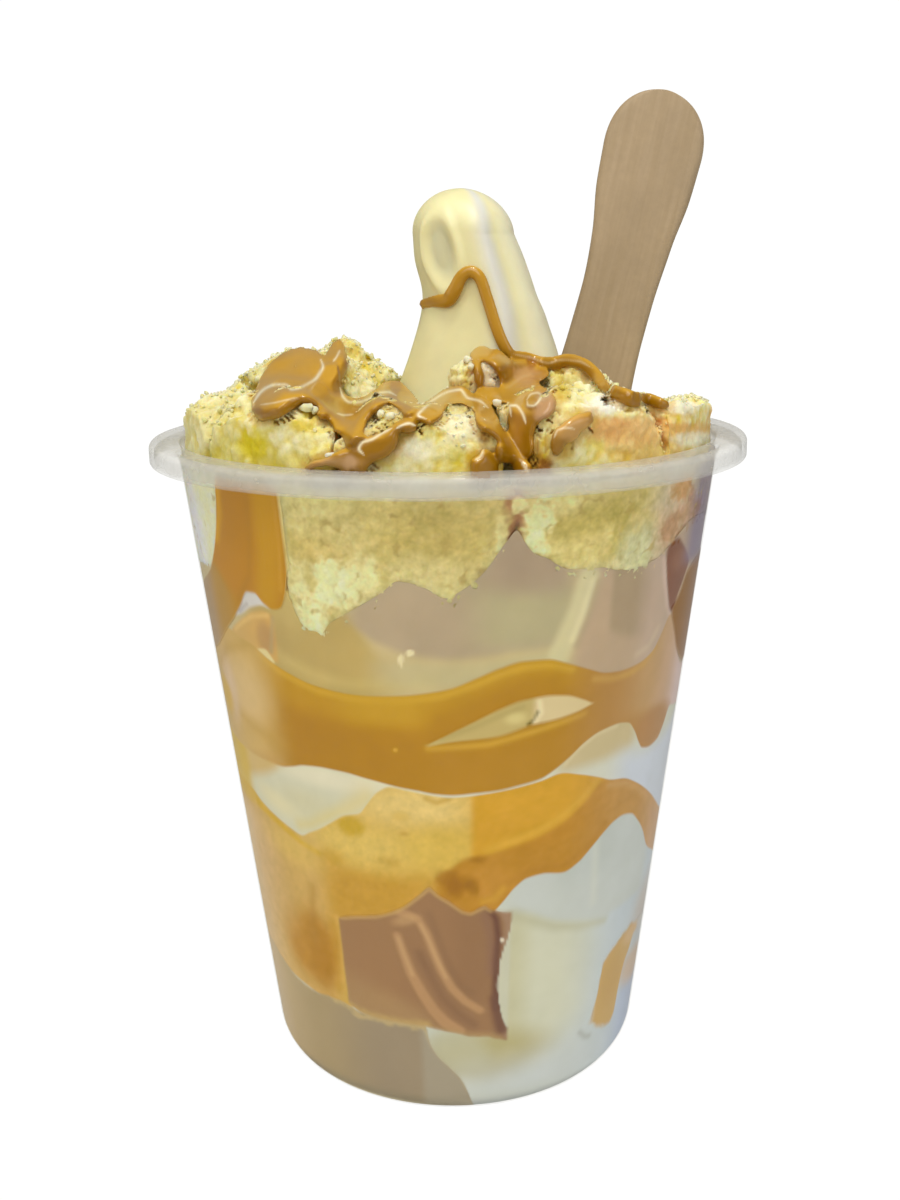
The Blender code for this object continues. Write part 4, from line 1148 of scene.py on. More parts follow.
SPONGE_BED = Bed(UPPER_CREAM_TOP, "c6b67c", 0.9, (
    Field("cdbf84", (-35, 0), ((-35, 96.5), (-10, 98), (0, 100)), ((-35, 110), (0, 110)), 3,
          0.8, 0.8, 0.5, 3),
    # paler band near the rim: sponge colour with a painted sheen
    Field("d2c78a", (-34, -15), ((-34, 101.2), (-15, 101.8)), ((-34, 110), (-15, 110)), 1.4,
          0.6, 0.6, 0.3, 3),
    Field("c0ac6a", (-35, -21), ((-35, 92), (-21, 93)), ((-35, 98), (-21, 97)), 2, 0.7, 0.7,
          0.6, 3),
    Blob("b7a462", (-3, 98.4), (9, 4.2), 2.4, 0.7, 1.0, 0.9),
    Blob("b9a866", (-12, 93), (4, 2.6), 1.5, 0.6, 1.0, 0.8),
    Blob("c9bc86", (-5, 92), (6, 3), 2.0, 0.7, 1.0, 0.9),
    Blob("e0d8a6", (-24.5, 90.6), (5.4, 3.4), 1.0, 0.95, 1.0, 1.0, 10),
    Blob("d9cf9c", (-28.6, 84.4), (3.0, 3.6), 0.9, 0.9, 1.0, 0.9),
    Blob("d7cd98", (-17, 91.4), (2.2, 3.6), 0.9, 0.85, 1.0, 0.9, -20),
    Blob("d3c68c", (-32.4, 92), (1.6, 2.2), 0.8, 0.7, 1.0, 0.7),
    Blob("bfae6c", (-28.4, 90.8), (0.9, 2.2), 0.6, 0.8, 1.0, 0.5),
    Blob("cfc08a", (-15, 88.4), (2.6, 1.6), 0.7, 0.8, 1.0, 0.8, 30),
    Blob("c9bb83", (-22, 84), (2.2, 2), 1.0, 0.7, 1.0, 0.8),
    # dark marks along the sponge's lower edge: painted shade in the crevices
    Stroke("8f7447", ((-14.6, 87.4), (-12.4, 87.9), (-10.8, 89.6)), 0.7, 0.5, 0.8, 0.6, 0.5),
    Blob("7a5f58", (-9.4, 88.2), (0.9, 0.8), 0.4, 0.85, 0.4, 0.4),
    Blob("a78a58", (-7.4, 87.4), (2.2, 1.1), 0.7, 0.7, 0.6, 0.5),
    Stroke("8d7340", ((-1.2, 87.4), (1.2, 88.2)), 0.6, 0.4, 0.8, 0.5, 0.4),
    Blob("cdbd7c", (26, 96.5), (8, 4.5), 2.4, 0.7, 1.0, 0.9),
    Blob("bcab66", (24, 98.6), (3.4, 2.2), 1.3, 0.6, 1.0, 0.8),
    Blob("d6ca90", (22, 102), (5, 1.8), 1.2, 0.7, 0.8, 0.6),
    Blob("b1a05c", (32, 99.8), (6.5, 2.2), 1.6, 0.75, 0.8, 0.8, 8),
    Blob("b3a35f", (34.6, 95.6), (1.6, 3.4), 0.9, 0.75, 0.8, 0.8),
    Blob("bcb98f", (41, 93.2), (4.6, 3.8), 1.6, 0.85, 0.7, 0.8),
    Blob("d0c490", (37, 90.2), (7, 1.0), 0.7, 0.7, 0.8, 0.5),
    Blob("cfc08c", (29, 91.4), (5, 1.1), 0.8, 0.7, 0.9, 0.6),
    Field("c4b49a", (44, 62), ((44, 98.6), (62, 97)), ((44, 110), (62, 110)), 1.2, 0.8, 0.5,
          0.5, 3),
    Field("c3ab8e", (45, 70), ((45, 80), (70, 80)), ((45, 99.4), (70, 99)), 1.5, 0.85, 0.5, 0.6,
          2.5),
    Blob("a97f5c", (51, 95.4), (3.0, 2.4), 1.0, 0.7, 0.7, 0.9),
    Blob("b88a55", (53.5, 101), (3.4, 1.7), 0.9, 0.75, 0.6, 0.7, -10),
    Blob("a9805f", (57.6, 97), (2.6, 4), 1.2, 0.6, 0.6, 0.7),
    # brown gap between the two sponge pieces: painted shade in the gap
    Stroke("a9805e", ((12.3, 103.6), (12.8, 100.5), (12.2, 97.6), (12.6, 94)), 2.4, 0.9, 0.95,
           0.7, 0.9, 2.8),
    Stroke("85604a", ((12.6, 99.4), (11.8, 96.6)), 0.8, 0.5, 0.7, 0.6, 0.6),
    Blob("a58659", (7.4, 91.6), (1.3, 1.4), 0.7, 0.7, 0.7, 0.6, 40),
    Blob("e3d6a0", (16.6, 99), (1.9, 3.4), 0.6, 0.9, 1.0, 1.1, -12),
    Blob("e0d29c", (18, 95.6), (1.1, 1.4), 0.5, 0.85, 1.0, 0.7),
    Blob("ddd09a", (13.2, 101.8), (1.3, 1.0), 0.4, 0.85, 1.0, 0.6),
    Blob("dccf98", (9.6, 98.4), (0.8, 2.4), 0.5, 0.7, 1.0, 0.7),
    # paler towards the left edge with a near-white patch: painted reflection
    Field("e2dab2", (-130, -51.5), ((-130, 80), (-51.5, 80)), ((-130, 110), (-51.5, 110)), 1.0,
          0.9, 0.15),
    Blob("f0ecda", (-69, 95), (4, 8), 3, 0.8),
), 0.1, 1.5, 0.5)

BASE_PATCH = Patch(Field("978770", (-80, 6), BASE_FOOT, BASE_TOP, 0.3, ragged=0.12), (
    Field("a4916e", (-100, -32), ((-100, -2), (-32, -2)), ((-100, 30), (-32, 30)), 1, 0.85,
          side_soft=7),
    Field("b7a27c", (-100, -52), ((-100, -2), (-52, -2)), ((-100, 30), (-52, 30)), 1, 0.85,
          side_soft=6),
    Field("c8b290", (-110, -64), ((-110, -2), (-64, -2)), ((-110, 30), (-64, 30)), 1, 0.7,
          side_soft=4),
    # darker strip along the foot: painted shade
    Field("8c8068", (-60, 5), ((-60, -2), (5, -2)), ((-60, 4.6), (5, 4.6)), 1.0, 0.6,
          side_soft=6),
    Field("a29a88", (-9.6, 8), ((-9.6, 2), (8, 2)), ((-9.6, 20), (8, 20)), 0.8, 0.5,
          side_soft=0.9),
    # pale streak low down: painted highlight
    Blob("c6bb98", (-33, 2.2), (9, 0.6), 0.5, 0.8),
    Stroke("c2b68e", ((-8.2, 17.4), (-6.9, 15), (-4.7, 12.9), (-1.6, 10.9), (1.5, 8.8),
                      (3.6, 6.2)), 0.6, 0.5, 0.5),
    Stroke("b9a476", ((-46, 20.2), (-42, 20.2), (-38, 20.4), (-34, 19.6), (-30, 18.6),
                      (-26, 18.3), (-20, 18.3), (-12, 18.3), (-8.4, 18.1)), 1.0, 0.5, 0.7,
           0.9, 0.5),
    Stroke("b5a27c", ((-66, 23), (-60, 22), (-54, 20.8), (-46, 20)), 1.2, 0.8, 0.6, 0.5, 0.4),
))

ICED_PATCH = Patch(Field("967557", (-31, 14.4), ICED_FOOT, ICED_TOP, 0.28, ragged=0.1,
                         side_soft=0.35), (
    Field("a38560", (-34, -6), ((-34, 10), (-6, 10)), ((-34, 27.5), (-18, 24), (-6, 20)),
          2.5, 0.8, 0.2),
    Field("9c7a58", (-36, -14), ((-36, 24), (-14, 24)), ((-36, 42), (-14, 42)), 2.5, 0.5),
    Field("8f6f53", (0, 16), ((0, 22), (16, 22)), ((0, 44), (16, 44)), 2.0, 0.6),
    Stroke("836650", ((-9, 31.6), (-6, 27.2), (-3, 23.4), (1, 20.6), (5, 18.6)), 1.4, 0.8,
           0.6),
    Stroke("876a51", ((-6.2, 38.8), (-3.6, 33.6), (-1.4, 29.6), (1.4, 26.2), (4.6, 24.4)),
           0.9, 0.7, 0.5),
    Stroke("ad8964", ((-14.6, 34.4), (-13.4, 31.6), (-11.6, 28), (-9, 24.6), (-6, 21.4),
                      (-3, 19.2), (0.8, 17.4)), 1.35, 0.4, 0.95, end_width=2.0),
    Stroke("bd9b72", ((-14.4, 34), (-13, 31), (-11.2, 27.6)), 0.5, 0.35, 0.6),
    Stroke("ad8964", ((-13.6, 38.6), (-11.4, 38.4), (-9, 37.6), (-7, 35.2), (-5.4, 32),
                      (-3.6, 28.8), (-0.8, 25.4), (2.6, 23), (6.6, 21.2)), 1.3, 0.4, 0.95),
    Stroke("bd9b72", ((-8.4, 36.8), (-6.4, 33.8), (-4.6, 30.6), (-2.4, 27.4)), 0.5, 0.35,
           0.6),
    Blob("b9966c", (-12.2, 37.4), (2.0, 0.9), 0.6, 0.6, turn=20),
    Field("a68a62", (-8.5, 13), ((-8.5, 10), (13, 10)), ((-8.5, 18.6), (0, 17.6), (4, 17.2),
                                                       (13, 16.6)), 0.7, 0.7, 0.2),
    Field("b39766", (-36, -7), ((-36, 10), (-7, 10)), ((-36, 21.4), (-22, 19.5), (-7, 19.2)),
          0.7, 0.75, 0.5, 0.3),
    # dark groove down the right side: painted shadow in the groove
    Stroke("9c7f66", ((12.4, 38.6), (13.8, 36.6), (13.6, 33), (12.9, 28), (12.8, 23),
                      (14, 18.6), (14.4, 16)), 1.3, 0.5, 0.9),
    Stroke("735548", ((8.6, 39.2), (10.4, 37.4), (11, 34), (10.7, 30), (10.8, 25),
                      (11.2, 21.4)), 1.0, 0.55, 0.95, end_width=1.3),
    Stroke("76594b", ((11, 23), (11.6, 20), (12.8, 17.2)), 2.0, 0.8, 0.9),
    Stroke("86685a", ((7.6, 38.2), (9.2, 34), (9.2, 28)), 1.0, 0.9, 0.5),
    Blob("d9cfb8", (12.1, 33.6), (0.3, 0.4), 0.2, 0.9),
    Field("bdbba4", (11.2, 18), ((11.2, 25), (12, 21.5), (13, 19), (14.4, 17.4), (18, 17)),
          ((11.2, 26), (11.8, 30), (12.6, 32), (13.6, 34), (14.6, 36.6), (18, 37)), 0.4, 0.95,
          side_soft=0.4),
    Stroke("bb9a66", ((-30, 35.7), (-25, 36.6), (-20, 37.2), (-15, 38.4), (-12, 39.6),
                      (-8, 41.8), (-6, 43), (-4, 41.8), (-1, 40.5), (2, 39), (4, 38.6),
                      (6, 39.2), (7.5, 39.6), (9, 38.9)), 0.5, 0.3, 0.7),
))

POCKET_PATCH = Patch(Field("b9975c", (43.5, 66), POCKET_FOOT, POCKET_TOP, 0.7, 0.95,
                           ragged=0.3, side_soft=1.0), (
    Blob("b18d52", (51, 19.4), (2.6, 4.6), 1.4, 0.6, turn=-8),
    Blob("c4a780", (62, 25.4), (3.4, 1.6), 1.0, 0.6),
))

FOLD_PATCH = Patch(Field("b7a36c", (-5.4, 32), FOLD_FOOT, FOLD_TOP, 0.3, side_soft=0.6), (
    Field("cbb88c", (17.6, 34), ((17.6, 60), (34, 60)), ((17.6, 80), (34, 80)), 0.4, 0.95,
          side_soft=0.7),
    Blob("cabb80", (13.6, 70.5), (1.5, 0.9), 0.6, 0.8),
    Stroke("a3905c", ((-2, 68), (5, 69.6), (10, 71.1), (15, 72.2)), 0.8, 0.6, 0.5),
    # dark line inside the fold: painted shadow
    Stroke("5f5026", ((18.6, 71.1), (17.9, 70), (16.5, 69.3)), 0.55, 0.3, 0.95,
           end_width=0.5),
    Stroke("ddcda4", ((18.8, 72.6), (19.2, 70.9), (18, 69.6)), 0.7, 0.4, 0.8),
))

LEFT_STREAK_PATCH = Patch(Field("b07f2c", (-78, -33.6), LEFT_STREAK_FOOT, LEFT_STREAK_TOP,
                                0.35, side_soft=0.35), (
    Field("ab7c24", (-52, -41), ((-52, 92), (-41, 94)), ((-52, 110), (-41, 110)), 3, 0.85,
          side_soft=2.5),
    Stroke("b88c3c", ((-37.4, 106), (-38, 94), (-40, 87.6)), 4.6, 1.5, 0.85, end_width=4.4),
    Stroke("a67a30", ((-41.6, 106), (-42.8, 96), (-45, 89.5), (-50, 85.6)), 0.9, 0.7, 0.65),
    Stroke("c0944a", ((-34.6, 106), (-34.8, 95), (-35.8, 88.6)), 0.7, 0.5, 0.6),
    Stroke("c99b3c", ((-51, 106), (-52.4, 98.6), (-55.4, 94.4)), 1.2, 0.9, 0.7),
    Field("a88850", (-90, -52), ((-90, 60), (-52, 60)), ((-90, 96), (-62, 91), (-52, 86)),
          1.6, 0.75, side_soft=4),
    Field("a68d6e", (-100, -63), ((-100, 60), (-63, 60)), ((-100, 96), (-63, 96)), 1.6, 0.8,
          side_soft=3),
))

RIGHT_STREAK_PATCH = Patch(Field("8c6538", (56.4, 120), RIGHT_STREAK_FOOT, RIGHT_STREAK_TOP,
                                 0.7, 0.95), (
    Field("8f6c50", (66, 120), ((66, 60), (120, 60)), ((66, 100), (120, 100)), 0.7, 0.8,
          side_soft=4),
))

LEAF_PATCH = Patch(Field("7b4c32", (50.4, 63), ((50.4, 91), (53, 85.6), (56, 82), (59, 84.6),
                                                (63, 88.6)),
                         ((50.4, 92.6), (54, 93.6), (58, 92), (63, 89)), 0.5, 0.92,
                         side_soft=0.6), (
    Blob("966a50", (57, 90), (2.6, 1.6), 1.0, 0.5),
))

# purple-grey on the right below the rim: painted shade, with a brown caramel fleck
PAINTED_SHADE_PATCH = Patch(Field("7c6f86", (60, 120), ((60, 89), (66, 88.4), (120, 88)),
                         ((60, 112), (120, 112)), 1.4, 0.8, side_soft=3), (
    Blob("7d4f3c", (62, 96.6), (2.6, 1.6), 0.9, 0.7, turn=25),
))

PAINT = WallPaint(
    beds=(LOWER_CREAM_BED, SOAKED_BED, MIDDLE_CREAM_BED, BAND_BED, UPPER_CREAM_BED, SPONGE_BED),
    over=(BASE_PATCH, ICED_PATCH, POCKET_PATCH, FOLD_PATCH, LEFT_STREAK_PATCH,
          Patch(Blob("d8cba0", (-8, 81), (0.55, 0.5), 0.15, 0.9, ragged=0.2)),
          Patch(Blob("d8cba0", (-10.1, 79.6), (0.4, 0.9), 0.15, 0.9, ragged=0.2)),
          RIGHT_STREAK_PATCH, LEAF_PATCH, PAINTED_SHADE_PATCH),
    gain=(1.57, 1.56, 1.56),
    haze=(0.088, 0.068, 0.056),
)


# ---------------------------------------------------------------- the filling's pieces

@dataclass(frozen=True)
class Filling:
    """What layers and wall pieces share: the cup, the paint and the fineness."""

    shape: CupShape
    paint: WallPaint
    columns: int = 720
    row_step: float = 0.36
    heart_shares: tuple[float, ...] = (0.25, 0.62, 0.88)

    def ring_angles(self) -> Array:
        """Angles of the columns all round the cup."""
        return np.linspace(-180.0, 180.0, self.columns, endpoint=False)

    def heart(self, wall: Array, heart: float, share: float) -> Array:
        """Level of a layer's edge at a share of the way out to the wall."""
        return heart + (wall - heart) * share * share * (3.0 - 2.0 * share)

    def rows_up(self, foot: Array, top: Array) -> Array:
        """Levels of the rows from foot to top, one row of the result for each."""
        count = max(3, math.ceil(float((top - foot).max()) / self.row_step))
        share = np.linspace(0.0, 1.0, count)[:, None]
        return foot[None, :] + (top - foot)[None, :] * share

    def close(self, name: str, rows: list[Array], foot: Array, top: Array
              ) -> tuple[bpy.types.Object, Array]:
        """A closed skin of rows round the cup with a point at each end.

        Args:
            name: the piece's name.
            rows: each an array of points, one for each column.
            foot: the point in the middle of the first row.
            top: the point in the middle of the last row.

        Returns:
            The object and its points.
        """
        points = np.vstack([*rows, foot[None, :], top[None, :]])
        faces: list[tuple[int, ...]] = [tuple(quad) for quad in
                                        grid_faces(len(rows), len(rows[0]), True).tolist()]
        faces += fan(np.arange(len(rows[0])), len(points) - 2, True)
        last = (len(rows) - 1) * len(rows[0])
        faces += fan(np.arange(last, last + len(rows[0])), len(points) - 1, False)
        return piece_from(name, points, faces, 50.0), points

    def dress(self, piece: bpy.types.Object, points: Array) -> None:
        """Paints a piece by where its points are round the cup."""
        angle = np.degrees(np.arctan2(points[:, 0], -points[:, 1]))
        colours, grain = self.paint.colours(self.shape, angle, points[:, 2])
        paint_points(piece, colours, grain)


@dataclass(frozen=True)
class Layer(Filling):
    """A layer across the whole cup between two wavy edges."""

    name: str = ""
    node: str = ""
    slot: Slot = Slot.CREAM
    foot: Curve | None = None
    top: Curve | None = None
    foot_heart: float = 0.0
    top_heart: float = 0.0

    def build(self, material: bpy.types.Material) -> bpy.types.Object:
        """Builds and dresses the layer.

        Args:
            material: its finish.

        Returns:
            The finished piece.
        """
        angles = self.ring_angles()
        top = self.top.at(angles)
        floor = self.shape.fill_floor
        rows = []
        if self.foot is None:
            foot = np.full_like(angles, floor)
            rows += [round_cup(angles, share * self.shape.filled(floor), floor)
                     for share in self.heart_shares]
        else:
            foot = self.foot.at(angles)
            rows += [round_cup(angles, share * self.shape.filled(foot),
                               self.heart(foot, self.foot_heart, share))
                     for share in self.heart_shares]
        for level in self.rows_up(foot, top):
            rows.append(round_cup(angles, self.shape.filled(level), level))
        rows += [round_cup(angles, share * self.shape.filled(top),
                           self.heart(top, self.top_heart, share))
                 for share in reversed(self.heart_shares)]
        low = floor if self.foot is None else self.foot_heart
        piece, points = self.close(self.name, rows, np.array([0.0, 0.0, low]),
                                   np.array([0.0, 0.0, self.top_heart]))
        self.dress(piece, points)
        fit_out(piece, material, [self.node])
        return piece


@dataclass(frozen=True)
class WallPiece(Filling):
    """A piece that lies against the wall between two edges, over a span of angles."""

    name: str = ""
    node: str = ""
    slot: Slot = Slot.CARAMEL
    span: Point = (0.0, 0.0)
    foot: tuple[Point, ...] = ()
    top: tuple[Point, ...] = ()
    depth: float = 5.0
    proud: float = 0.05
    edge: float = 0.35
    angle_step: float = 0.5
    lowest: float = 0.35

    def build(self, material: bpy.types.Material) -> bpy.types.Object:
        """Builds and dresses the piece.

        Args:
            material: its finish.

        Returns:
            The finished piece.
        """
        start, end = self.span
        angles = np.linspace(start, end, max(3, math.ceil((end - start) / self.angle_step)))
        foot = np.maximum(Curve(self.foot).at(angles) - self.edge, self.lowest)
        top = np.maximum(Curve(self.top).at(angles) + self.edge, foot + 0.3)
        share = np.clip((angles - start) / (end - start), 0.03, 0.97)
        depth = self.depth * np.sin(np.pi * share) ** 0.5
        levels = self.rows_up(foot, top)
        front = [round_cup(angles, self.shape.filled(level) + self.proud, level)
                 for level in levels]
        back_levels = self.rows_up(foot, top)[::-1][::6]
        back = [round_cup(angles, self.shape.filled(np.maximum(level, 6.0)) - depth, level)
                for level in back_levels]
        rows = [row for row in front + back]
        loop = np.stack(rows, axis=0).transpose(1, 0, 2)
        count, around = loop.shape[:2]
        points = loop.reshape(-1, 3)
        faces: list[tuple[int, ...]] = [tuple(quad) for quad in
                                        grid_faces(count, around, True).tolist()]
        ends = [loop[0].mean(axis=0), loop[-1].mean(axis=0)]
        points = np.vstack([points, *[end[None, :] for end in ends]])
        faces += fan(np.arange(around), len(points) - 2, True)
        faces += fan(np.arange((count - 1) * around, count * around), len(points) - 1, False)
        piece = piece_from(self.name, points, faces, 50.0)
        self.dress(piece, points)
        fit_out(piece, material, [self.node])
        return piece


@dataclass(frozen=True)
class Peak:
    """The soft-serve peak: rings with a crest, a groove and a curl at the top."""

    base_rings: tuple[tuple[float, ...], ...] = (
        (97.0, 5.5, 3.0, 24.5, 23.0), (103.0, 5.8, 3.0, 20.0, 18.0),
        (109.5, 5.7, 2.8, 15.6, 14.0), (114.7, 5.8, 2.5, 13.4, 11.8),
        (119.8, 6.0, 2.0, 11.6, 10.2), (124.5, 5.9, 1.6, 10.0, 9.2),
        (129.0, 5.2, 1.2, 8.8, 8.4), (133.5, 3.9, 0.8, 8.5, 7.8), (137.5, 2.9, 0.5, 7.8, 7.2))
    dome_height: float = 7.0
    tip: tuple[float, float] = (2.3, 0.3)
    level_step: float = 0.4
    crest_angle: float = 13.0
    crest_rise: float = 0.10
    crest_spread: float = 14.0
    hollow_depth: float = 0.07
    curl_middle: tuple[float, float] = (-34.0, 135.2)
    curl_half: tuple[float, float] = (21.0, 5.6)
    curl_depth: float = 0.09

    def ring_values(self, level: Array) -> list[Array]:
        """Middle and half widths of the rings at levels below the dome."""
        table = np.array(self.base_rings)
        return [Curve(tuple(zip(table[:, 0], table[:, i]))).at(level) for i in range(1, 5)]

    def rows(self, angles: Array) -> tuple[list[Array], Array]:
        """Rows of points up the peak, and the point at its tip.

        Args:
            angles: degrees of the columns.

        Returns:
            The rows from the foot up, and the tip.
        """
        start, neck = self.base_rings[0][0], self.base_rings[-1][0]
        levels = np.arange(start, neck, self.level_step)
        across, depth, half_across, half_depth = self.ring_values(levels)
        turns = np.radians(np.linspace(0.0, 86.0, 26))
        last = self.base_rings[-1]
        lean = np.sin(turns)
        levels = np.append(levels, neck + self.dome_height * np.sin(turns))
        across = np.append(across, last[1] + (self.tip[0] - last[1]) * lean)
        depth = np.append(depth, last[2] + (self.tip[1] - last[2]) * lean)
        half_across = np.append(half_across, last[3] * np.cos(turns))
        half_depth = np.append(half_depth, last[4] * np.cos(turns))
        made = []
        turn = np.radians(angles)
        for level, x, y, wide, deep in zip(levels, across, depth, half_across, half_depth):
            form = self.form(angles, level)
            made.append(np.stack([x + wide * form * np.sin(turn), y - deep * form * np.cos(turn),
                                  np.full_like(turn, level)], axis=-1))
        return made, np.array([self.tip[0], self.tip[1], neck + self.dome_height])

    def form(self, angles: Array, level: float) -> Array:
        """How far out the skin is at angles round one ring, about 1.

        Args:
            angles: degrees.
            level: the ring's level.

        Returns:
            One factor for each angle.
        """
        fade = float(smooth_step(99.0, 112.0, np.array(level)))
        lift = float(smooth_step(0.0, 1.0, np.array((144.6 - level) / 6.0)))
        crest_at = self.crest_angle + (level - 125.0) * 0.25
        away = (angles - crest_at + 180.0) % 360.0 - 180.0
        crest = self.crest_rise * np.exp(-((away / self.crest_spread) ** 2))
        hollow_away = (angles - crest_at - 27.0 + 180.0) % 360.0 - 180.0
        hollow = self.hollow_depth * np.exp(-((hollow_away / 15.0) ** 2))
        left_away = (angles - crest_at + 30.0 + 180.0) % 360.0 - 180.0
        left = 0.035 * np.exp(-((left_away / 16.0) ** 2))
        behind = smooth_step(60.0, 110.0, np.abs((angles + 180.0) % 360.0 - 180.0))
        flutes = 0.035 * np.cos(np.radians(6.0 * angles + (level - 100.0) * 5.0)) * behind
        curl_away = (angles - self.curl_middle[0] + 180.0) % 360.0 - 180.0
        oval = np.sqrt((curl_away / self.curl_half[0]) ** 2
                       + ((level - self.curl_middle[1]) / self.curl_half[1]) ** 2)
        curl = -self.curl_depth * (1.0 - smooth_step(0.45, 1.0, oval))
        rim = 0.05 * np.exp(-(((oval - 1.12) / 0.22) ** 2))
        return 1.0 + (crest - hollow - left + flutes) * fade * lift + (curl + rim) * lift


@dataclass(frozen=True)
class PeakedCream(Filling):
    """The upper cream: against the wall below, rising to the peak in the middle."""

    peak: Peak = Peak()
    under_cake: float = 1.8
    # pale is the cream's own colour, white is painted light along the crest and right side, shaded is
    # painted shade in the curl
    pale: str = "ebe4ae"
    white: str = "dedccf"
    shaded: str = "d6d2a8"
    heart_level: float = 72.0

    def build(self, material: bpy.types.Material) -> bpy.types.Object:
        """Builds and dresses the cream.

        Args:
            material: its finish.

        Returns:
            The finished piece.
        """
        angles = self.ring_angles()
        foot = BAND_TOP.at(angles)
        top = UPPER_CREAM_TOP.at(angles) + self.under_cake
        rows = [round_cup(angles, share * self.shape.filled(foot),
                          self.heart(foot, self.heart_level, share))
                for share in self.heart_shares]
        for level in self.rows_up(foot, top):
            rows.append(round_cup(angles, self.shape.filled(level), level))
        wall_rows = len(rows)
        peak_rows, tip = self.peak.rows(angles)
        wall = rows[-1]
        for share in (0.06, 0.2, 0.45, 0.75):
            drop = np.array([0.0, 0.0, 1.0]) * 0.8 * math.sin(math.pi * share)
            rows.append(wall + (peak_rows[0] - wall) * share - drop)
        rows += peak_rows
        piece, points = self.close("upper_cream_peak", rows, np.array([0, 0, self.heart_level]),
                                   tip)
        angle = np.degrees(np.arctan2(points[:, 0], -points[:, 1]))
        colours, grain = self.paint.without_cake().colours(self.shape, angle, points[:, 2])
        free = np.arange(len(points)) >= wall_rows * self.columns
        free[-2] = False
        colours[free] = self.peak_colours(points[free])
        grain[free] = 0.25
        paint_points(piece, colours, grain)
        fit_out(piece, material, ["upper_cream"])
        return piece

    def peak_colours(self, points: Array) -> Array:
        """Colours of the cream above the cup: yellow-cream, with painted light that whitens it along
        the crest and on its right side, and painted shade in the curl.

        Args:
            points: places on the skin.

        Returns:
            A linear colour for each place.
        """
        level = points[:, 2]
        across, depth, _, _ = self.peak.ring_values(np.minimum(level, 137.5))
        angle = np.degrees(np.arctan2(points[:, 0] - across, -(points[:, 1] - depth)))
        crest_at = self.peak.crest_angle + (level - 125.0) * 0.25
        away = (angle - crest_at + 180.0) % 360.0 - 180.0
        # whiter along the crest and on the right side: painted light
        white = np.exp(-(((away - 8.0) / 13.0) ** 2)) * smooth_step(108.0, 114.0, level)
        white = np.maximum(white, 0.55 * smooth_step(15.0, 60.0, away))
        oval = np.sqrt(((angle - self.peak.curl_middle[0]) / self.peak.curl_half[0]) ** 2
                       + ((level - self.peak.curl_middle[1]) / self.peak.curl_half[1]) ** 2)
        shade = 1.0 - smooth_step(0.5, 1.0, oval)
        colours = np.tile(linear(self.pale), (len(points), 1))
        colours += (linear(self.white) - colours) * white[:, None]
        colours += (linear(self.shaded) - colours) * shade[:, None]
        return colours


# ---------------------------------------------------------------- aiming on to the lumps

LUMPS = {
    "cake_lump_left": ((-33, -10, 101), (11.5, 13.5, 12.8), 20),
    "cake_lump_front_left": ((-22.5, -26, 98.5), (14.5, 13, 16.6), -30),
    "cake_lump_front_small": ((-11.2, -19, 108.2), (6.2, 6, 5.4), 10),
    "cake_lump_front": ((-3.2, -30, 99.5), (13, 13.5, 15), 5),
    "cake_lump_centre": ((8.5, -16.5, 106.5), (9.5, 7.5, 9.5), 20),
    "cake_lump_by_peak": ((4.9, -15.5, 116.0), (4.4, 4.0, 4.0), 30),
    "cake_lump_front_right": ((18, -28, 101), (13, 14, 14.4), 25),
    "cake_lump_inner_right": ((22.5, -5, 108), (9.5, 8.5, 9.6), 15),
    "cake_lump_right": ((32, -14, 101), (14, 15, 12.8), 65),
    "cake_lump_right_edge": ((36, 5, 101), (10, 11.5, 11.2), 10),
    "cake_lump_back_left": ((-22.5, 5, 108.0), (15, 13, 12.2), -15),
    "cake_lump_back": ((-2, 30, 101), (14.5, 12.5, 12.6), 5),
    "cake_lump_back_side": ((-25.5, 26, 100.5), (12.5, 12.5, 12), 40),
    "cake_lump_back_right": ((20.5, 28.5, 100.5), (13, 10.5, 12), -35),
}


@dataclass
class Aim:
    """Finds places on the toppings along lines from where the caramel is poured."""

    pour_point: tuple[float, float, float] = (0.0, -223.0, 135.0)
    plane: float = -20.0
    skins: tuple[BVHTree, ...] = ()

    def add_skin(self, piece: bpy.types.Object) -> None:
        """Adds an object's faces to those that are aimed at."""
        tree = BVHTree.FromObject(piece, bpy.context.evaluated_depsgraph_get())
        self.skins = (*self.skins, tree)

    def way(self, across: float, level: float) -> Vector:
        """The direction through a place on the upright plane."""
        start = Vector(self.pour_point)
        return (Vector((across, self.plane, level)) - start).normalized()

    def hit(self, across: float, level: float) -> float | None:
        """Distance to the first skin through a place on the plane, if any."""
        start, way = Vector(self.pour_point) * MM, self.way(across, level)
        found = [skin.ray_cast(start, way)[3] for skin in self.skins]
        found = [distance for distance in found if distance is not None]
        return min(found) / MM if found else None

    def on_plane(self, points: Array) -> Array:
        """Where lines from the pouring place to points cross the upright plane."""
        start = np.array(self.pour_point)
        share = (self.plane - start[1]) / (points[:, 1] - start[1])
        return start[[0, 2]] + (points[:, [0, 2]] - start[[0, 2]]) * share[:, None]


# ---------------------------------------------------------------- caramel on top

@dataclass(frozen=True)
class Run:
    """A thin thread of caramel, as places on the pouring plane with a half width at each."""

    name: str
    stations: tuple[tuple[float, float, float], ...]
    flat: float = 0.8
    sunk: float = 0.3


@dataclass(frozen=True)
class Pour:
    """A broad body of caramel, as its outline on the pouring plane.

    The body lies on the toppings with rounded edges. Below the brink, a line of levels, it
    swells towards the pourer.
    """

    name: str
    outline: tuple[Point, ...]
    brink: tuple[Point, ...] = ()
    thick: float = 1.5
    edge: float = 1.4
    bulge: float = 0.0


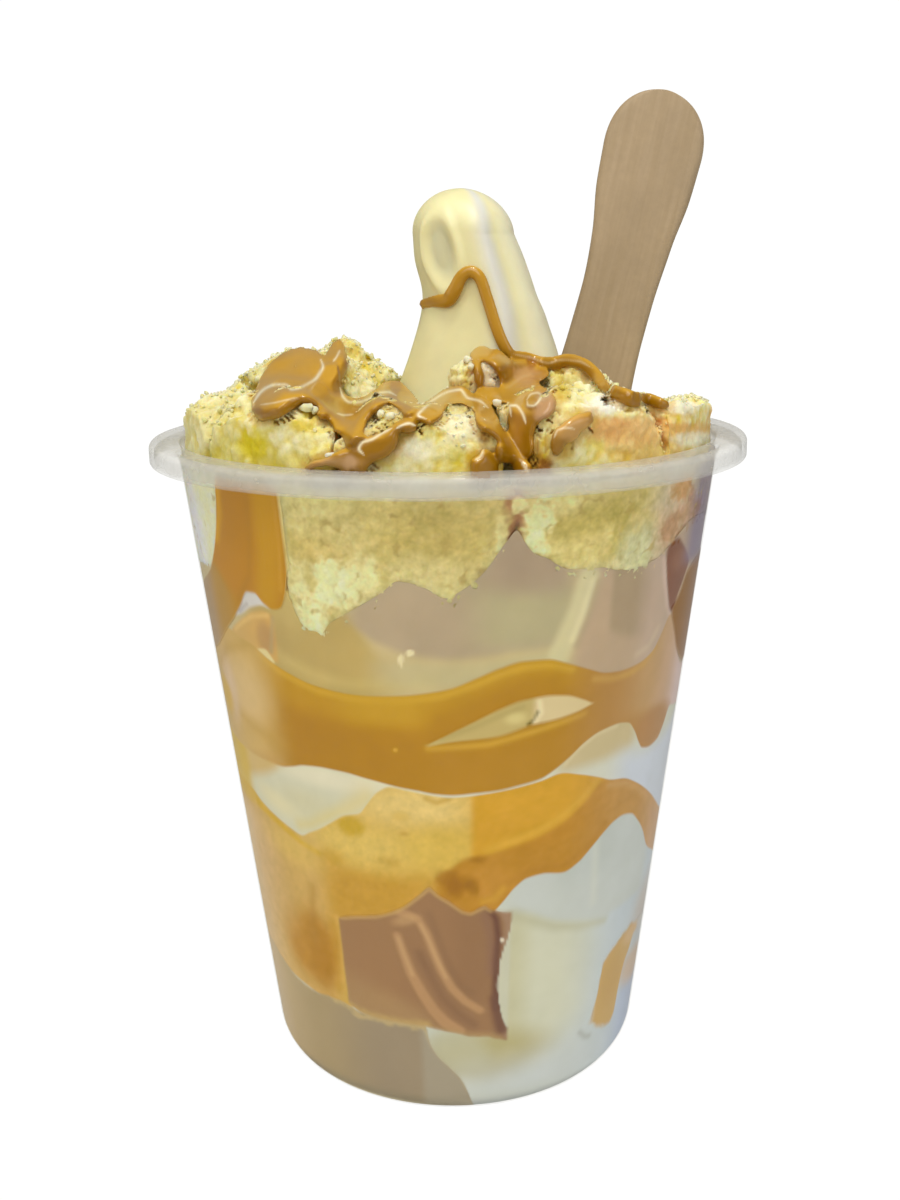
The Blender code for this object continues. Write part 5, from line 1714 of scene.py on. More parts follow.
RUNS = (
    Run("peak", ((-3.6, 127.6, 0.75), (-1.6, 128.0, 1.0), (0.1, 128.1, 1.2), (1.3, 129.6, 1.15),
                 (2.4, 131.6, 1.0), (3.6, 132.2, 0.95), (4.7, 131.6, 0.95), (5.9, 128.5, 0.95),
                 (7.3, 124.1, 0.95), (8.6, 121.2, 0.95), (9.6, 120.1, 0.9), (11.4, 119.9, 0.9),
                 (13.4, 119.2, 0.95), (15.4, 118.9, 1.0)), 0.75, 0.25),
    Run("right", ((13.8, 119.1, 0.9), (15.4, 118.9, 1.1), (17.7, 119.4, 1.05), (19.9, 118.8, 1.0),
                  (21.7, 117.3, 1.0), (22.9, 115.7, 1.0), (24.2, 114.8, 1.05), (25.8, 114.2, 1.1),
                  (27.5, 113.5, 1.2), (29.4, 113.6, 0.9), (31.0, 113.0, 0.9), (32.4, 112.6, 0.6))),
)

POOL = Pour("pool", (
    (-28.7, 113.0), (-28.5, 114.2), (-28.0, 115.5), (-27.4, 116.8), (-26.4, 118.4),
    (-25.1, 119.8), (-23.7, 120.8), (-22.5, 121.3), (-21.3, 121.5), (-20.2, 121.3),
    (-19.0, 121.0), (-18.2, 120.4), (-17.6, 120.2), (-17.0, 121.3), (-16.4, 122.1),
    (-15.6, 122.6), (-15.1, 121.8), (-14.8, 120.5), (-14.6, 119.2), (-14.9, 118.2),
    (-15.4, 117.2), (-15.7, 116.4), (-15.6, 115.5), (-15.2, 114.7), (-14.3, 114.2),
    (-13.1, 114.1), (-11.9, 114.4), (-11.0, 115.0), (-10.1, 115.7), (-9.2, 116.3),
    (-8.1, 116.6), (-7.0, 116.4), (-6.0, 115.6), (-5.2, 114.8), (-4.6, 113.9), (-4.0, 113.0),
    (-4.0, 112.3), (-5.1, 111.5), (-5.8, 111.3), (-6.4, 111.6), (-6.8, 112.6), (-7.7, 113.2),
    (-8.3, 113.8), (-9.0, 113.6), (-9.8, 113.1), (-10.5, 112.5), (-11.3, 111.9),
    (-12.0, 111.0), (-12.4, 110.0), (-12.7, 109.1), (-12.0, 108.4), (-13.0, 107.8),
    (-13.6, 107.2), (-14.2, 106.9), (-14.9, 107.2), (-15.2, 108.1), (-15.6, 109.0),
    (-16.6, 109.6), (-16.9, 110.5), (-17.5, 111.3), (-18.5, 111.4), (-19.1, 112.0),
    (-18.7, 112.8), (-19.2, 113.3), (-20.2, 113.7), (-21.5, 113.8), (-22.6, 113.2),
    (-23.5, 112.5), (-24.7, 111.8), (-26.2, 111.4), (-27.4, 111.3), (-28.1, 111.9)),
    ((-28.7, 113.6), (-28.1, 114.3), (-27.3, 115.4), (-26.2, 116.1), (-25.1, 116.4),
     (-23.9, 116.4), (-22.8, 115.7), (-21.7, 115.9), (-20.5, 116.4), (-19.3, 117.1),
     (-18.6, 118.0), (-18.1, 119.4), (-17.0, 119.6), (-16.1, 119.4), (-15.6, 116.6),
     (-15.4, 115.3), (-15.0, 114.2), (-14.2, 113.6), (-13.1, 113.6), (-11.9, 114.0),
     (-10.8, 114.5), (-9.6, 115.0), (-8.4, 115.2), (-7.5, 114.8), (-6.2, 114.4),
     (-5.2, 113.6), (-4.2, 112.7)), 2.2, 1.5, 1.3)

FRONT = Pour("front", (
    (-21.2, 104.0), (-20.2, 104.8), (-18.7, 105.1), (-17.5, 105.6), (-16.5, 106.2),
    (-15.1, 106.7), (-13.9, 107.2), (-13.3, 107.9), (-12.1, 108.3), (-10.9, 108.6),
    (-9.7, 108.9), (-8.8, 109.5), (-8.1, 110.0), (-7.3, 110.6), (-6.4, 111.0), (-5.5, 111.4),
    (-4.8, 112.1), (-4.0, 112.8), (-2.8, 113.6), (-1.6, 114.4), (-0.5, 115.1), (0.7, 115.6),
    (1.9, 115.7), (2.8, 115.2), (3.5, 114.6), (4.5, 114.3), (5.5, 113.7), (6.3, 112.9),
    (6.9, 111.8), (7.4, 110.8), (7.7, 109.7), (8.6, 108.5), (9.6, 107.2), (10.4, 106.3),
    (11.4, 104.9), (12.2, 103.9), (12.5, 101.2), (10.2, 101.2), (9.9, 103.5), (9.6, 104.5),
    (7.4, 104.8), (7.1, 105.7), (7.3, 106.9), (7.7, 107.4), (7.1, 108.3), (6.0, 109.0),
    (5.1, 109.3), (4.5, 110.1), (4.2, 111.0), (4.1, 112.0), (3.5, 112.7), (2.7, 113.2),
    (1.9, 113.5), (0.7, 113.4), (-0.2, 113.2), (-0.5, 112.4), (-1.0, 111.5), (-1.7, 110.9),
    (-2.6, 110.3), (-3.5, 110.7), (-4.4, 111.1), (-4.7, 110.5), (-4.8, 109.6), (-5.7, 109.3),
    (-6.5, 109.3), (-7.0, 109.6), (-7.4, 109.1), (-7.5, 108.0), (-7.8, 107.1), (-8.5, 106.3),
    (-9.2, 105.7), (-10.1, 105.3), (-11.3, 105.0), (-12.1, 104.2), (-12.4, 103.3),
    (-13.4, 103.2), (-14.2, 103.6), (-14.8, 102.9), (-15.8, 102.9), (-15.9, 103.9),
    (-17.0, 104.3), (-18.2, 104.6), (-19.7, 104.3), (-20.9, 103.7)), (), 2.3, 1.4)

BEHIND = Pour("behind", (
    (3.6, 120.4), (4.4, 121.2), (5.5, 121.3), (6.5, 120.8), (7.4, 120.9), (8.8, 119.7),
    (9.8, 119.1), (11.3, 119.2), (12.3, 118.7), (13.2, 118.6), (14.5, 118.1), (14.8, 117.4),
    (13.9, 116.8), (13.2, 116.4), (13.6, 115.7), (14.5, 115.2), (15.4, 114.5), (15.8, 113.3),
    (15.6, 112.1), (14.8, 111.3), (13.6, 110.8), (12.9, 110.0), (12.4, 108.2), (12.6, 106.7),
    (12.2, 105.5), (11.4, 105.1), (10.5, 106.0), (9.8, 107.0), (9.4, 108.2), (9.2, 109.3),
    (9.1, 110.8), (9.2, 112.4), (8.9, 113.6), (7.7, 113.4), (6.3, 113.6), (5.1, 114.0),
    (4.4, 114.6), (4.4, 115.1), (5.4, 115.4), (6.6, 115.4), (7.8, 115.2), (7.9, 115.9),
    (7.8, 117.1), (7.2, 118.1), (6.5, 119.0), (5.4, 119.6), (4.6, 119.8), (4.8, 118.7),
    (5.3, 117.2), (5.1, 115.9), (4.7, 115.7), (4.2, 116.7), (4.0, 118.4), (3.7, 119.6)),
    (), 1.7, 1.1)

DROP = Pour("drop", (
    (3.5, 104.6), (3.8, 105.0), (4.6, 105.3), (5.0, 106.1), (5.6, 106.4), (6.2, 105.9),
    (6.8, 105.2), (7.3, 104.2), (7.2, 101.6), (3.7, 101.6), (3.5, 103.7)), (), 2.2, 1.3)

BEAD = Pour("bead", (
    (11.5, 113.8), (12.2, 114.6), (13.2, 114.8), (13.9, 114.3), (13.9, 113.2), (13.2, 112.6),
    (12.2, 112.4), (11.5, 112.9)), (), 3.0, 1.2)

HOOK = Pour("hook", (
    (15.6, 105.9), (15.4, 107.1), (15.6, 108.3), (16.2, 109.2), (17.2, 110.0), (18.2, 110.8),
    (19.5, 111.4), (21.0, 111.7), (21.4, 110.6), (20.4, 109.6), (19.3, 108.9), (19.1, 108.1),
    (18.2, 107.6), (17.5, 107.5), (17.1, 106.9), (16.8, 106.1), (16.2, 105.6)), (), 1.4, 1.0)

POURS = (POOL, FRONT, BEHIND, DROP, BEAD, HOOK)


@dataclass(frozen=True)
class PaintedHighlight:
    """A painted highlight: a pale line along a brink where the caramel catches the light, as places
    on the pouring plane.
    """

    places: tuple[Point, ...]
    half: float = 0.2
    strength: float = 0.9

    def cover(self, plane: Array) -> Array:
        """How much of the painted highlight lies at each place on the plane.

        Args:
            plane: where each point is seen on the pouring plane.

        Returns:
            The share of the gleam at each point.
        """
        line = Curve(tuple(enumerate(x for x, _ in self.places)))
        other = Curve(tuple(enumerate(z for _, z in self.places)))
        steps = np.linspace(0.0, len(self.places) - 1.0, 8 * len(self.places))
        tree = KDTree(len(steps))
        for index, (x, z) in enumerate(zip(line.at(steps), other.at(steps))):
            tree.insert((x, z, 0.0), index)
        tree.balance()
        low, high = np.min(self.places, axis=0) - 1.0, np.max(self.places, axis=0) + 1.0
        near = np.flatnonzero(np.all((plane > low) & (plane < high), axis=1))
        cover = np.zeros(len(plane))
        for index in near:
            _, found, gap = tree.find((plane[index, 0], plane[index, 1], 0.0))
            end = min(found, len(steps) - 1 - found) / len(steps)
            half = self.half * min(1.0, 0.35 + 6.0 * end)
            cover[index] = self.strength * math.exp(-((gap / half) ** 2))
        return cover


# pale lines along the brinks: painted highlights
PAINTED_HIGHLIGHTS = (
    PaintedHighlight(((-28.5, 113.8), (-28.1, 114.4), (-27.3, 115.4), (-26.2, 116.1), (-25.1, 116.4),
           (-23.9, 116.4), (-23.2, 116.1), (-22.8, 115.7), (-21.7, 115.9), (-20.5, 116.4),
           (-19.3, 117.1), (-18.6, 118.0), (-18.1, 119.0), (-18.4, 120.0)), 0.24),
    PaintedHighlight(((-27.5, 113.5), (-25.8, 113.7), (-23.8, 114.1), (-21.8, 114.5)), 0.14, 0.5),
    PaintedHighlight(((-15.7, 115.8), (-15.3, 114.5), (-14.3, 113.7), (-13.1, 113.7), (-11.9, 114.0),
           (-10.8, 114.5), (-9.9, 115.0), (-8.7, 115.1), (-7.5, 114.6)), 0.22),
    PaintedHighlight(((-16.3, 112.1), (-15.2, 111.8), (-13.9, 111.9)), 0.16, 0.7),
    PaintedHighlight(((-12.5, 105.9), (-13.2, 106.8), (-12.7, 107.7), (-11.2, 108.2), (-9.7, 109.1),
           (-8.2, 109.8)), 0.22),
    PaintedHighlight(((-7.5, 109.8), (-6.7, 110.2), (-5.8, 110.5), (-4.7, 110.1)), 0.18),
    PaintedHighlight(((-3.2, 111.1), (-4.3, 111.7), (-3.4, 112.7), (-1.7, 114.1), (0.4, 115.1),
           (1.9, 115.3), (3.0, 114.1), (4.8, 113.6), (6.0, 112.6)), 0.22),
    PaintedHighlight(((-16.6, 119.6), (-16.0, 120.4), (-15.5, 121.3)), 0.16, 0.7),
    PaintedHighlight(((9.4, 111.3), (9.1, 112.8), (10.0, 112.9), (11.0, 111.8), (11.6, 110.1)), 0.2),
    PaintedHighlight(((11.7, 113.7), (12.3, 114.5), (13.2, 114.7), (13.8, 114.2), (13.3, 113.3),
           (12.6, 112.8), (11.9, 112.9), (11.7, 113.7)), 0.17),
    PaintedHighlight(((4.0, 104.9), (4.7, 105.3), (5.3, 106.4)), 0.18, 0.8),
    PaintedHighlight(((15.7, 108.0), (16.3, 109.2), (17.5, 109.5), (18.8, 109.3)), 0.15, 0.6),
    PaintedHighlight(((9.5, 120.4), (12.2, 119.8), (14.8, 119.0), (16.8, 119.4), (19.2, 119.2),
           (21.2, 118.2)), 0.16, 0.35),
    PaintedHighlight(((11.0, 104.5), (12.0, 102.7)), 0.2, 0.7),
)


def inside_outline(outline: Array, across: Array, level: Array) -> tuple[Array, Array]:
    """Which places lie inside an outline, and how far each is from its edge.

    Args:
        outline: corners of the outline.
        across: first number of each place.
        level: second number of each place.

    Returns:
        Whether each place is inside, and its distance from the edge.
    """
    inside = np.zeros(across.shape, bool)
    gap = np.full(across.shape, 1e9)
    for (x0, z0), (x1, z1) in zip(outline, np.roll(outline, -1, axis=0)):
        if z0 != z1:
            crossing = x0 + (level - z0) * (x1 - x0) / (z1 - z0)
            inside ^= ((z0 > level) != (z1 > level)) & (across < crossing)
        length = (x1 - x0) ** 2 + (z1 - z0) ** 2
        share = np.clip(((across - x0) * (x1 - x0) + (level - z0) * (z1 - z0)) / length, 0, 1)
        gap = np.minimum(gap, np.hypot(across - x0 - share * (x1 - x0),
                                       level - z0 - share * (z1 - z0)))
    return inside, gap


def blurred(values: Array, spread: float) -> Array:
    """A grid of values, evened out over a number of cells.

    Args:
        values: the grid.
        spread: how far each value is spread, in cells.

    Returns:
        The evened grid.
    """
    reach = int(3 * spread) + 1
    weights = np.exp(-0.5 * (np.arange(-reach, reach + 1) / spread) ** 2)
    weights /= weights.sum()
    for axis in (0, 1):
        pad = [(reach, reach) if i == axis else (0, 0) for i in (0, 1)]
        wide = np.pad(values, pad, mode="edge")
        values = sum(weight * np.take(wide, np.arange(values.shape[axis]) + i, axis=axis)
                     for i, weight in enumerate(weights))
    return values


@dataclass
class PourPlane:
    """Distances from the pouring place to the toppings, over a grid on the pouring plane."""

    aim: Aim
    left: float = -33.0
    right: float = 33.0
    low: float = 100.0
    high: float = 125.0
    step: float = 0.22
    coarse: int = 2
    wide_spread: float = 1.3
    fine_spread: float = 0.6
    cling: float = 0.5

    def grid(self) -> tuple[Array, Array]:
        """Places across and levels of the grid's points."""
        across = np.arange(self.left, self.right, self.step)
        level = np.arange(self.low, self.high, self.step)
        return np.meshgrid(across, level)

    def settled(self) -> Array:
        """Distance at which poured caramel rests, at each of the grid's points."""
        across, level = self.grid()
        few = slice(None, None, self.coarse)
        found = [self.aim.hit(x, z) for x, z in zip(across[few, few].ravel(),
                                                    level[few, few].ravel())]
        hits = np.array([np.nan if value is None else value for value in found])
        hits = hits.reshape(across[few, few].shape)
        known = np.isfinite(hits)
        cells = self.wide_spread / (self.step * self.coarse)
        total, weight = blurred(np.where(known, hits, 0.0), cells), blurred(known * 1.0, cells)
        far_total, far_weight = blurred(total, 3 * cells), blurred(weight, 3 * cells)
        even = np.where(weight > 0.05, total / np.maximum(weight, 0.05),
                        far_total / np.maximum(far_weight, 1e-6))
        even = np.minimum(even, np.where(known, hits + self.cling, even))
        even = blurred(even, self.fine_spread / (self.step * self.coarse))
        full = np.repeat(np.repeat(even, self.coarse, axis=0), self.coarse, axis=1)
        full = full[:across.shape[0], :across.shape[1]]
        return blurred(full, 1.2)


@dataclass
class CaramelMask:
    """Where the caramel is, as seen from the pouring place."""

    aim: Aim
    cell: float = 0.3
    left: float = -40.0
    low: float = 96.0
    columns: int = 280
    rows: int = 160
    steps: int = 8

    def fill(self, points: Array) -> None:
        """Notes the caramel's points.

        Args:
            points: the caramel's points.
        """
        start = np.array(self.aim.pour_point)
        column, row = self.cells(points)
        distance = np.linalg.norm(points - start, axis=1)
        self.near = np.full((self.rows, self.columns), np.inf)
        np.minimum.at(self.near, (row, column), distance)
        self.gap = np.full((self.rows, self.columns), np.inf)
        self.widen()
        self.gap[np.isfinite(self.near)] = 0.0
        for number in range(1, self.steps + 1):
            fresh = ~np.isfinite(self.near)
            self.widen()
            self.gap[fresh & np.isfinite(self.near)] = number * self.cell

    def widen(self) -> None:
        """Spreads what is known by one cell each way."""
        wide = np.pad(self.near, 1, constant_values=np.inf)
        spread = np.min([wide[i:i + self.rows, j:j + self.columns]
                         for i in range(3) for j in range(3)], axis=0)
        self.near = np.where(np.isfinite(self.near), self.near, spread)

    def cells(self, points: Array) -> tuple[Array, Array]:
        """Column and row of the cell that each point is seen in."""
        plane = self.aim.on_plane(points)
        column = np.clip((plane[:, 0] - self.left) / self.cell, 0, self.columns - 1)
        row = np.clip((plane[:, 1] - self.low) / self.cell, 0, self.rows - 1)
        return column.astype(int), row.astype(int)

    def look(self, points: Array) -> tuple[Array, Array]:
        """How the caramel lies at points.

        Args:
            points: one row for each point.

        Returns:
            How far aside the caramel is, and how far behind each point its skin is.
        """
        column, row = self.cells(points)
        distance = np.linalg.norm(points - np.array(self.aim.pour_point), axis=1)
        return self.gap[row, column], self.near[row, column] - distance

    def press(self, points: Array, room: float = 0.5, most: float = 8.0) -> Array:
        """Pushes points that stand before the caramel back behind its skin."""
        gap, behind = self.look(points)
        push = np.where((gap <= self.cell) & (behind > -room) & (behind < most),
                        behind + room, 0.0)
        ways = points - np.array(self.aim.pour_point)
        ways /= np.linalg.norm(ways, axis=1)[:, None]
        return points + ways * push[:, None]


@dataclass
class Drizzle:
    """Caramel poured in threads, ribbons and a pool over the toppings."""

    aim: Aim
    step: float = 0.35
    sides: int = 12
    settle: int = 7
    sunk: float = 1.4
    grow: float = 0.35
    even_size: float = 0.21
    smoothing: int = 5
    # the first colour for caramel that faces up and the second for caramel that faces forward:
    # painted light and shade
    lit_golden: str = "c79628"
    shaded_amber: str = "9c6c00"
    # colour of the painted highlights along the brinks
    gloss: str = "f8ecc4"

    def course(self, run: Run) -> tuple[Array, Array, Array]:
        """The run's middle line on the skins, its half widths, and its ways to the pourer.

        Args:
            run: the run.

        Returns:
            Points, half widths and unit directions, one for each step along the run.
        """
        stations = np.array(run.stations)
        spans = np.linalg.norm(np.diff(stations[:, :2], axis=0), axis=1)
        along = np.append(0.0, np.cumsum(spans))
        count = max(6, math.ceil(along[-1] / self.step))
        places = np.linspace(0.0, along[-1], count)
        smooth = [Curve(tuple(zip(along, stations[:, i]))).at(places) for i in range(3)]
        across, level, half = (self.soften(values, 2) for values in smooth)
        reach = [self.aim.hit(x, z) for x, z in zip(across, level)]
        known = [i for i, value in enumerate(reach) if value is not None]
        distance = np.interp(np.arange(count), known, [reach[i] for i in known])
        settled = self.soften(distance, self.settle)
        distance = np.minimum(settled, distance + 0.8)
        ways = np.array([self.aim.way(x, z) for x, z in zip(across, level)])
        start = np.array(self.aim.pour_point)
        out = half * run.flat * (1.0 - 2.0 * run.sunk)
        points = start + ways * (distance - out)[:, None]
        return points, half, -ways

    def soften(self, values: Array, times: int) -> Array:
        """Evens out a row of numbers, keeping its ends."""
        for _ in range(times):
            values = values.copy()
            values[1:-1] = (values[:-2] + 2.0 * values[1:-1] + values[2:]) / 4.0
        return values

    def tube(self, run: Run) -> tuple[Array, list[tuple[int, ...]]]:
        """Points and faces of one run, a flattened tube with round ends.

        Args:
            run: the thread.

        Returns:
            The closed skin's points and faces.
        """
        middle, half, ways = self.course(run)
        runs = np.gradient(middle, axis=0)
        sideways = np.cross(runs, ways)
        sideways /= np.linalg.norm(sideways, axis=1)[:, None]
        turn = np.linspace(0.0, 2.0 * math.pi, self.sides, endpoint=False)
        rows = []
        for place, size, side, way in zip(middle, half, sideways, ways):
            ring = side[None, :] * np.cos(turn)[:, None] * size
            rows.append(place + ring + way[None, :] * np.sin(turn)[:, None] * size * run.flat)
        ends = []
        for index, sign in ((0, -1.0), (-1, 1.0)):
            forward = runs[index] / np.linalg.norm(runs[index]) * sign
            ends.append(middle[index] + forward * half[index] * 0.8)
        points = np.vstack([*rows, *[end[None, :] for end in ends]])
        faces: list[tuple[int, ...]] = [tuple(quad) for quad in
                                        grid_faces(len(rows), self.sides, True).tolist()]
        last = (len(rows) - 1) * self.sides
        faces += fan(np.arange(self.sides), len(points) - 2, True)
        faces += fan(np.arange(last, last + self.sides), len(points) - 1, False)
        return points, faces

    def body(self, pour: Pour, plane: PourPlane, settled: Array
             ) -> tuple[Array, list[tuple[int, ...]]]:
        """Points and faces of one broad body.

        Args:
            pour: the body.
            plane: the pouring plane.
            settled: where caramel rests at the plane's points.

        Returns:
            The closed skin's points and faces.
        """
        across, level = plane.grid()
        inside, gap = inside_outline(np.array(pour.outline), across, level)
        gap = np.where(inside, gap, -gap) + self.grow
        inside = gap > 0.0
        share = np.clip(gap / pour.edge, 0.0, 1.0)
        front = settled - pour.thick * np.sqrt(1.0 - (1.0 - share) ** 2)
        if pour.brink:
            below = Curve(pour.brink).at(across) - level
            front = front - pour.bulge * smooth_step(-0.35, 0.55, below) * share
        front = front - 0.25 * noise_at(np.stack([across.ravel(), level.ravel(),
                                                  np.zeros(across.size)], axis=-1), 2.6, 41
                                        ).reshape(across.shape) * share
        back = np.maximum(settled, front) + self.sunk
        start = np.array(self.aim.pour_point)
        ways = np.stack([across - start[0], np.full(across.shape, self.aim.plane - start[1]),
                         level - start[2]], axis=-1)
        ways /= np.linalg.norm(ways, axis=-1)[..., None]
        number = np.full(across.shape, -1)
        number[inside] = np.arange(inside.sum())
        corners = [number[:-1, :-1], number[:-1, 1:], number[1:, 1:], number[1:, :-1]]
        whole = np.all([corner >= 0 for corner in corners], axis=0)
        quads = np.stack([corner[whole] for corner in corners], axis=-1)
        points = np.vstack([start + ways[inside] * front[inside][:, None],
                            start + ways[inside] * back[inside][:, None]])
        count = int(inside.sum())
        sides = np.concatenate([quads[:, [i, (i + 1) % 4]] for i in range(4)])
        both = set(map(tuple, sides.tolist()))
        rim = [(a, b) for a, b in both if (b, a) not in both]
        faces = [tuple(quad) for quad in quads.tolist()]
        faces += [tuple(count + i for i in reversed(quad)) for quad in quads.tolist()]
        faces += [(b, a, a + count, b + count) for a, b in rim]
        return points, faces

    def build(self, material: bpy.types.Material) -> bpy.types.Object:
        """Joins all the runs and bodies into one poured piece.

        Args:
            material: the glossy finish.

        Returns:
            The finished caramel.
        """
        plane = PourPlane(self.aim)
        settled = plane.settled()
        skins = [self.tube(run) for run in RUNS]
        skins += [self.body(pour, plane, settled) for pour in POURS]
        points: list[Array] = []
        faces: list[tuple[int, ...]] = []
        count = 0
        for own, own_faces in skins:
            if signed_volume(own, own_faces) < 0.0:
                own_faces = [tuple(reversed(face)) for face in own_faces]
            faces += [tuple(i + count for i in face) for face in own_faces]
            points.append(own)
            count += len(own)
        piece = piece_from("caramel_drizzle", np.vstack(points), faces)
        remesh(piece, self.even_size, self.smoothing)
        places = points_of(piece)
        # lighter where the caramel faces up and darker where it faces forward: painted light and
        # shade by facing, less of it where the caramel runs thin
        facing_shade = 1.0 - smooth_step(0.35, 0.85, normals_of(piece)[:, 2])
        plane = self.aim.on_plane(places)
        thin = smooth_step(118.2, 119.6, plane[:, 1]) * (plane[:, 0] > -6.0)
        tone = np.clip(facing_shade * (1.0 - 0.6 * thin) + 0.15 * noise_at(places, 4.0, 3), 0.0, 1.0)
        colours = linear(self.lit_golden) + (linear(self.shaded_amber) - linear(self.lit_golden)) * tone[:, None]
        stain_and_shade(colours, plane, noise_at(places, 1.4, 5), CARAMEL_TONES_AND_SHEEN)
        # painted highlights along the caramel's brinks
        for painted_highlight in PAINTED_HIGHLIGHTS:
            colours += (linear(self.gloss) - colours) * painted_highlight.cover(plane)[:, None]
        paint_points(piece, colours, 0.0)
        fit_out(piece, material)
        return piece


# ---------------------------------------------------------------- the cake lumps

@dataclass(frozen=True)
class StainAndShade:
    """An oval of colour on the toppings, placed on the pouring plane."""

    colour: str
    middle: Point
    half: Point
    strength: float = 1.0
    soft: float = 0.5


# darker and paler tones of the caramel; the pinkish tan where it runs thin is partly a painted sheen
CARAMEL_TONES_AND_SHEEN = (
    StainAndShade("d2a468", (-16.6, 104.6), (3.4, 1.1), 0.7, 0.5),
    StainAndShade("d6ac80", (-14.6, 104.8), (1.0, 1.2), 0.6, 0.5),
    StainAndShade("c4955a", (11.6, 117.2), (1.9, 1.5), 0.9, 0.4),
    StainAndShade("bf9468", (14.4, 112.8), (1.6, 2.0), 0.9, 0.4),
    StainAndShade("a87028", (13.6, 117.2), (1.2, 1.2), 0.6, 0.4),
    StainAndShade("9c5e0c", (12.4, 119.0), (0.8, 0.8), 0.7, 0.4),
    StainAndShade("b9802c", (10.4, 109.6), (0.9, 2.4), 0.4, 0.5),
    StainAndShade("d9a862", (18.6, 109.4), (3.0, 2.0), 0.6, 0.5),
)

# stains and icing on the sponge, with a few dark spots of painted shade
STAINS_AND_SHADE = (
    StainAndShade("dcc81c", (-28.7, 107.3), (2.3, 2.2), 0.95, 0.6),
    StainAndShade("d6c43e", (-24, 104.8), (5.6, 1.8), 0.6, 0.6),
    StainAndShade("ddd05c", (-33, 106), (3, 4), 0.5, 0.6),
    StainAndShade("c8b02a", (-21.6, 110.2), (1.7, 0.9), 0.8, 0.5),
    StainAndShade("ded28a", (-36, 111), (4, 3.4), 0.5, 0.5),
    StainAndShade("cab046", (-13.4, 106.2), (1.6, 2.2), 0.6, 0.5),
    StainAndShade("c9a92c", (17.0, 114.8), (1.3, 1.7), 0.8, 0.5),
    StainAndShade("c6a630", (17.6, 106.2), (1.3, 1.6), 0.7, 0.5),
    StainAndShade("e8c068", (29.5, 105.6), (6.0, 2.6), 0.75, 0.5),
    StainAndShade("efbf74", (28.6, 108.9), (7.6, 2.2), 0.85, 0.45),
    StainAndShade("dca35e", (24.0, 109.4), (3.0, 1.6), 0.6, 0.5),
    StainAndShade("dfa24e", (40.6, 110.6), (2.0, 3.0), 0.85, 0.5),
    StainAndShade("d9a85e", (36.6, 108.8), (3.4, 1.2), 0.75, 0.5),
    StainAndShade("d9b468", (34.0, 111.6), (3.4, 0.9), 0.6, 0.5),
    # dark caramel-brown spots in the crevices by the drips: caramel colour with painted shade
    StainAndShade("8a5414", (14.0, 103.6), (2.0, 1.8), 0.95, 0.4),
    StainAndShade("9a6420", (12.6, 106.0), (1.6, 2.0), 0.7, 0.5),
    StainAndShade("8a5a20", (5.6, 108.6), (1.1, 1.2), 0.85, 0.4),
    StainAndShade("94601c", (9.0, 108.6), (0.8, 1.2), 0.8, 0.4),
    StainAndShade("d2c22c", (1.0, 106.0), (1.3, 2.2), 0.55, 0.6),
    StainAndShade("d6c43c", (-8.6, 110.0), (2.4, 1.0), 0.5, 0.6),
    StainAndShade("f4eed2", (-4.9, 106.6), (2.6, 1.6), 0.7, 0.5),
    StainAndShade("f6f1da", (23.6, 112.9), (3.4, 1.5), 0.9, 0.35),
    StainAndShade("f5efd2", (34.6, 112.3), (2.6, 1.0), 0.8, 0.4),
    StainAndShade("f5efd0", (36.6, 107.6), (3.2, 1.0), 0.7, 0.4),
    StainAndShade("f2ecce", (1.8, 109.4), (2.6, 2.4), 0.6, 0.5),
    StainAndShade("f6f2e0", (6.6, 117.4), (2.6, 2.6), 0.9, 0.4),
)


def stain_and_shade(colours: Array, plane: Array, wobble: Array, stains: Sequence[StainAndShade]) -> None:
    """Lays stains and spots of painted shade over colours.

    Args:
        colours: linear colours, changed in place.
        plane: where each point is seen on the pouring plane.
        wobble: unevenness that breaks up the stains' edges.
        stains: the stains and spots of painted shade, from the lowest.
    """
    for stain in stains:
        gap = np.hypot((plane[:, 0] - stain.middle[0]) / stain.half[0],
                       (plane[:, 1] - stain.middle[1]) / stain.half[1]) - 1.0
        cover = 1.0 - smooth_step(-stain.soft, stain.soft, gap + 0.35 * wobble)
        colours += (linear(stain.colour) - colours) * (cover * stain.strength)[:, None]


TOP_LINE = Curve((
    (-40.0, 111.2), (-38.8, 113.4), (-37.8, 114.2), (-35.5, 114.8), (-33.0, 115.2),
    (-31.5, 116.0), (-29.4, 117.8), (-27.0, 119.2), (-25.0, 120.4), (-22.5, 121.4),
    (-20.2, 121.3), (-18.7, 121.0), (-17.5, 121.8), (-16.1, 122.7), (-14.6, 122.9),
    (-13.2, 122.3), (-12.0, 121.0), (-10.3, 119.6), (-8.0, 118.1), (-6.3, 117.1),
    (-3.9, 117.9), (0.8, 118.7), (3.4, 120.3), (7.8, 121.0), (13.6, 119.4), (16.5, 119.6),
    (20.9, 118.6), (23.0, 116.8), (25.1, 114.8), (27.1, 114.2), (29.0, 114.2), (30.5, 113.2),
    (31.9, 112.8), (33.6, 113.6), (35.7, 114.1), (37.2, 113.6), (39.0, 112.1), (40.1, 110.0),
    (40.6, 107.4)))


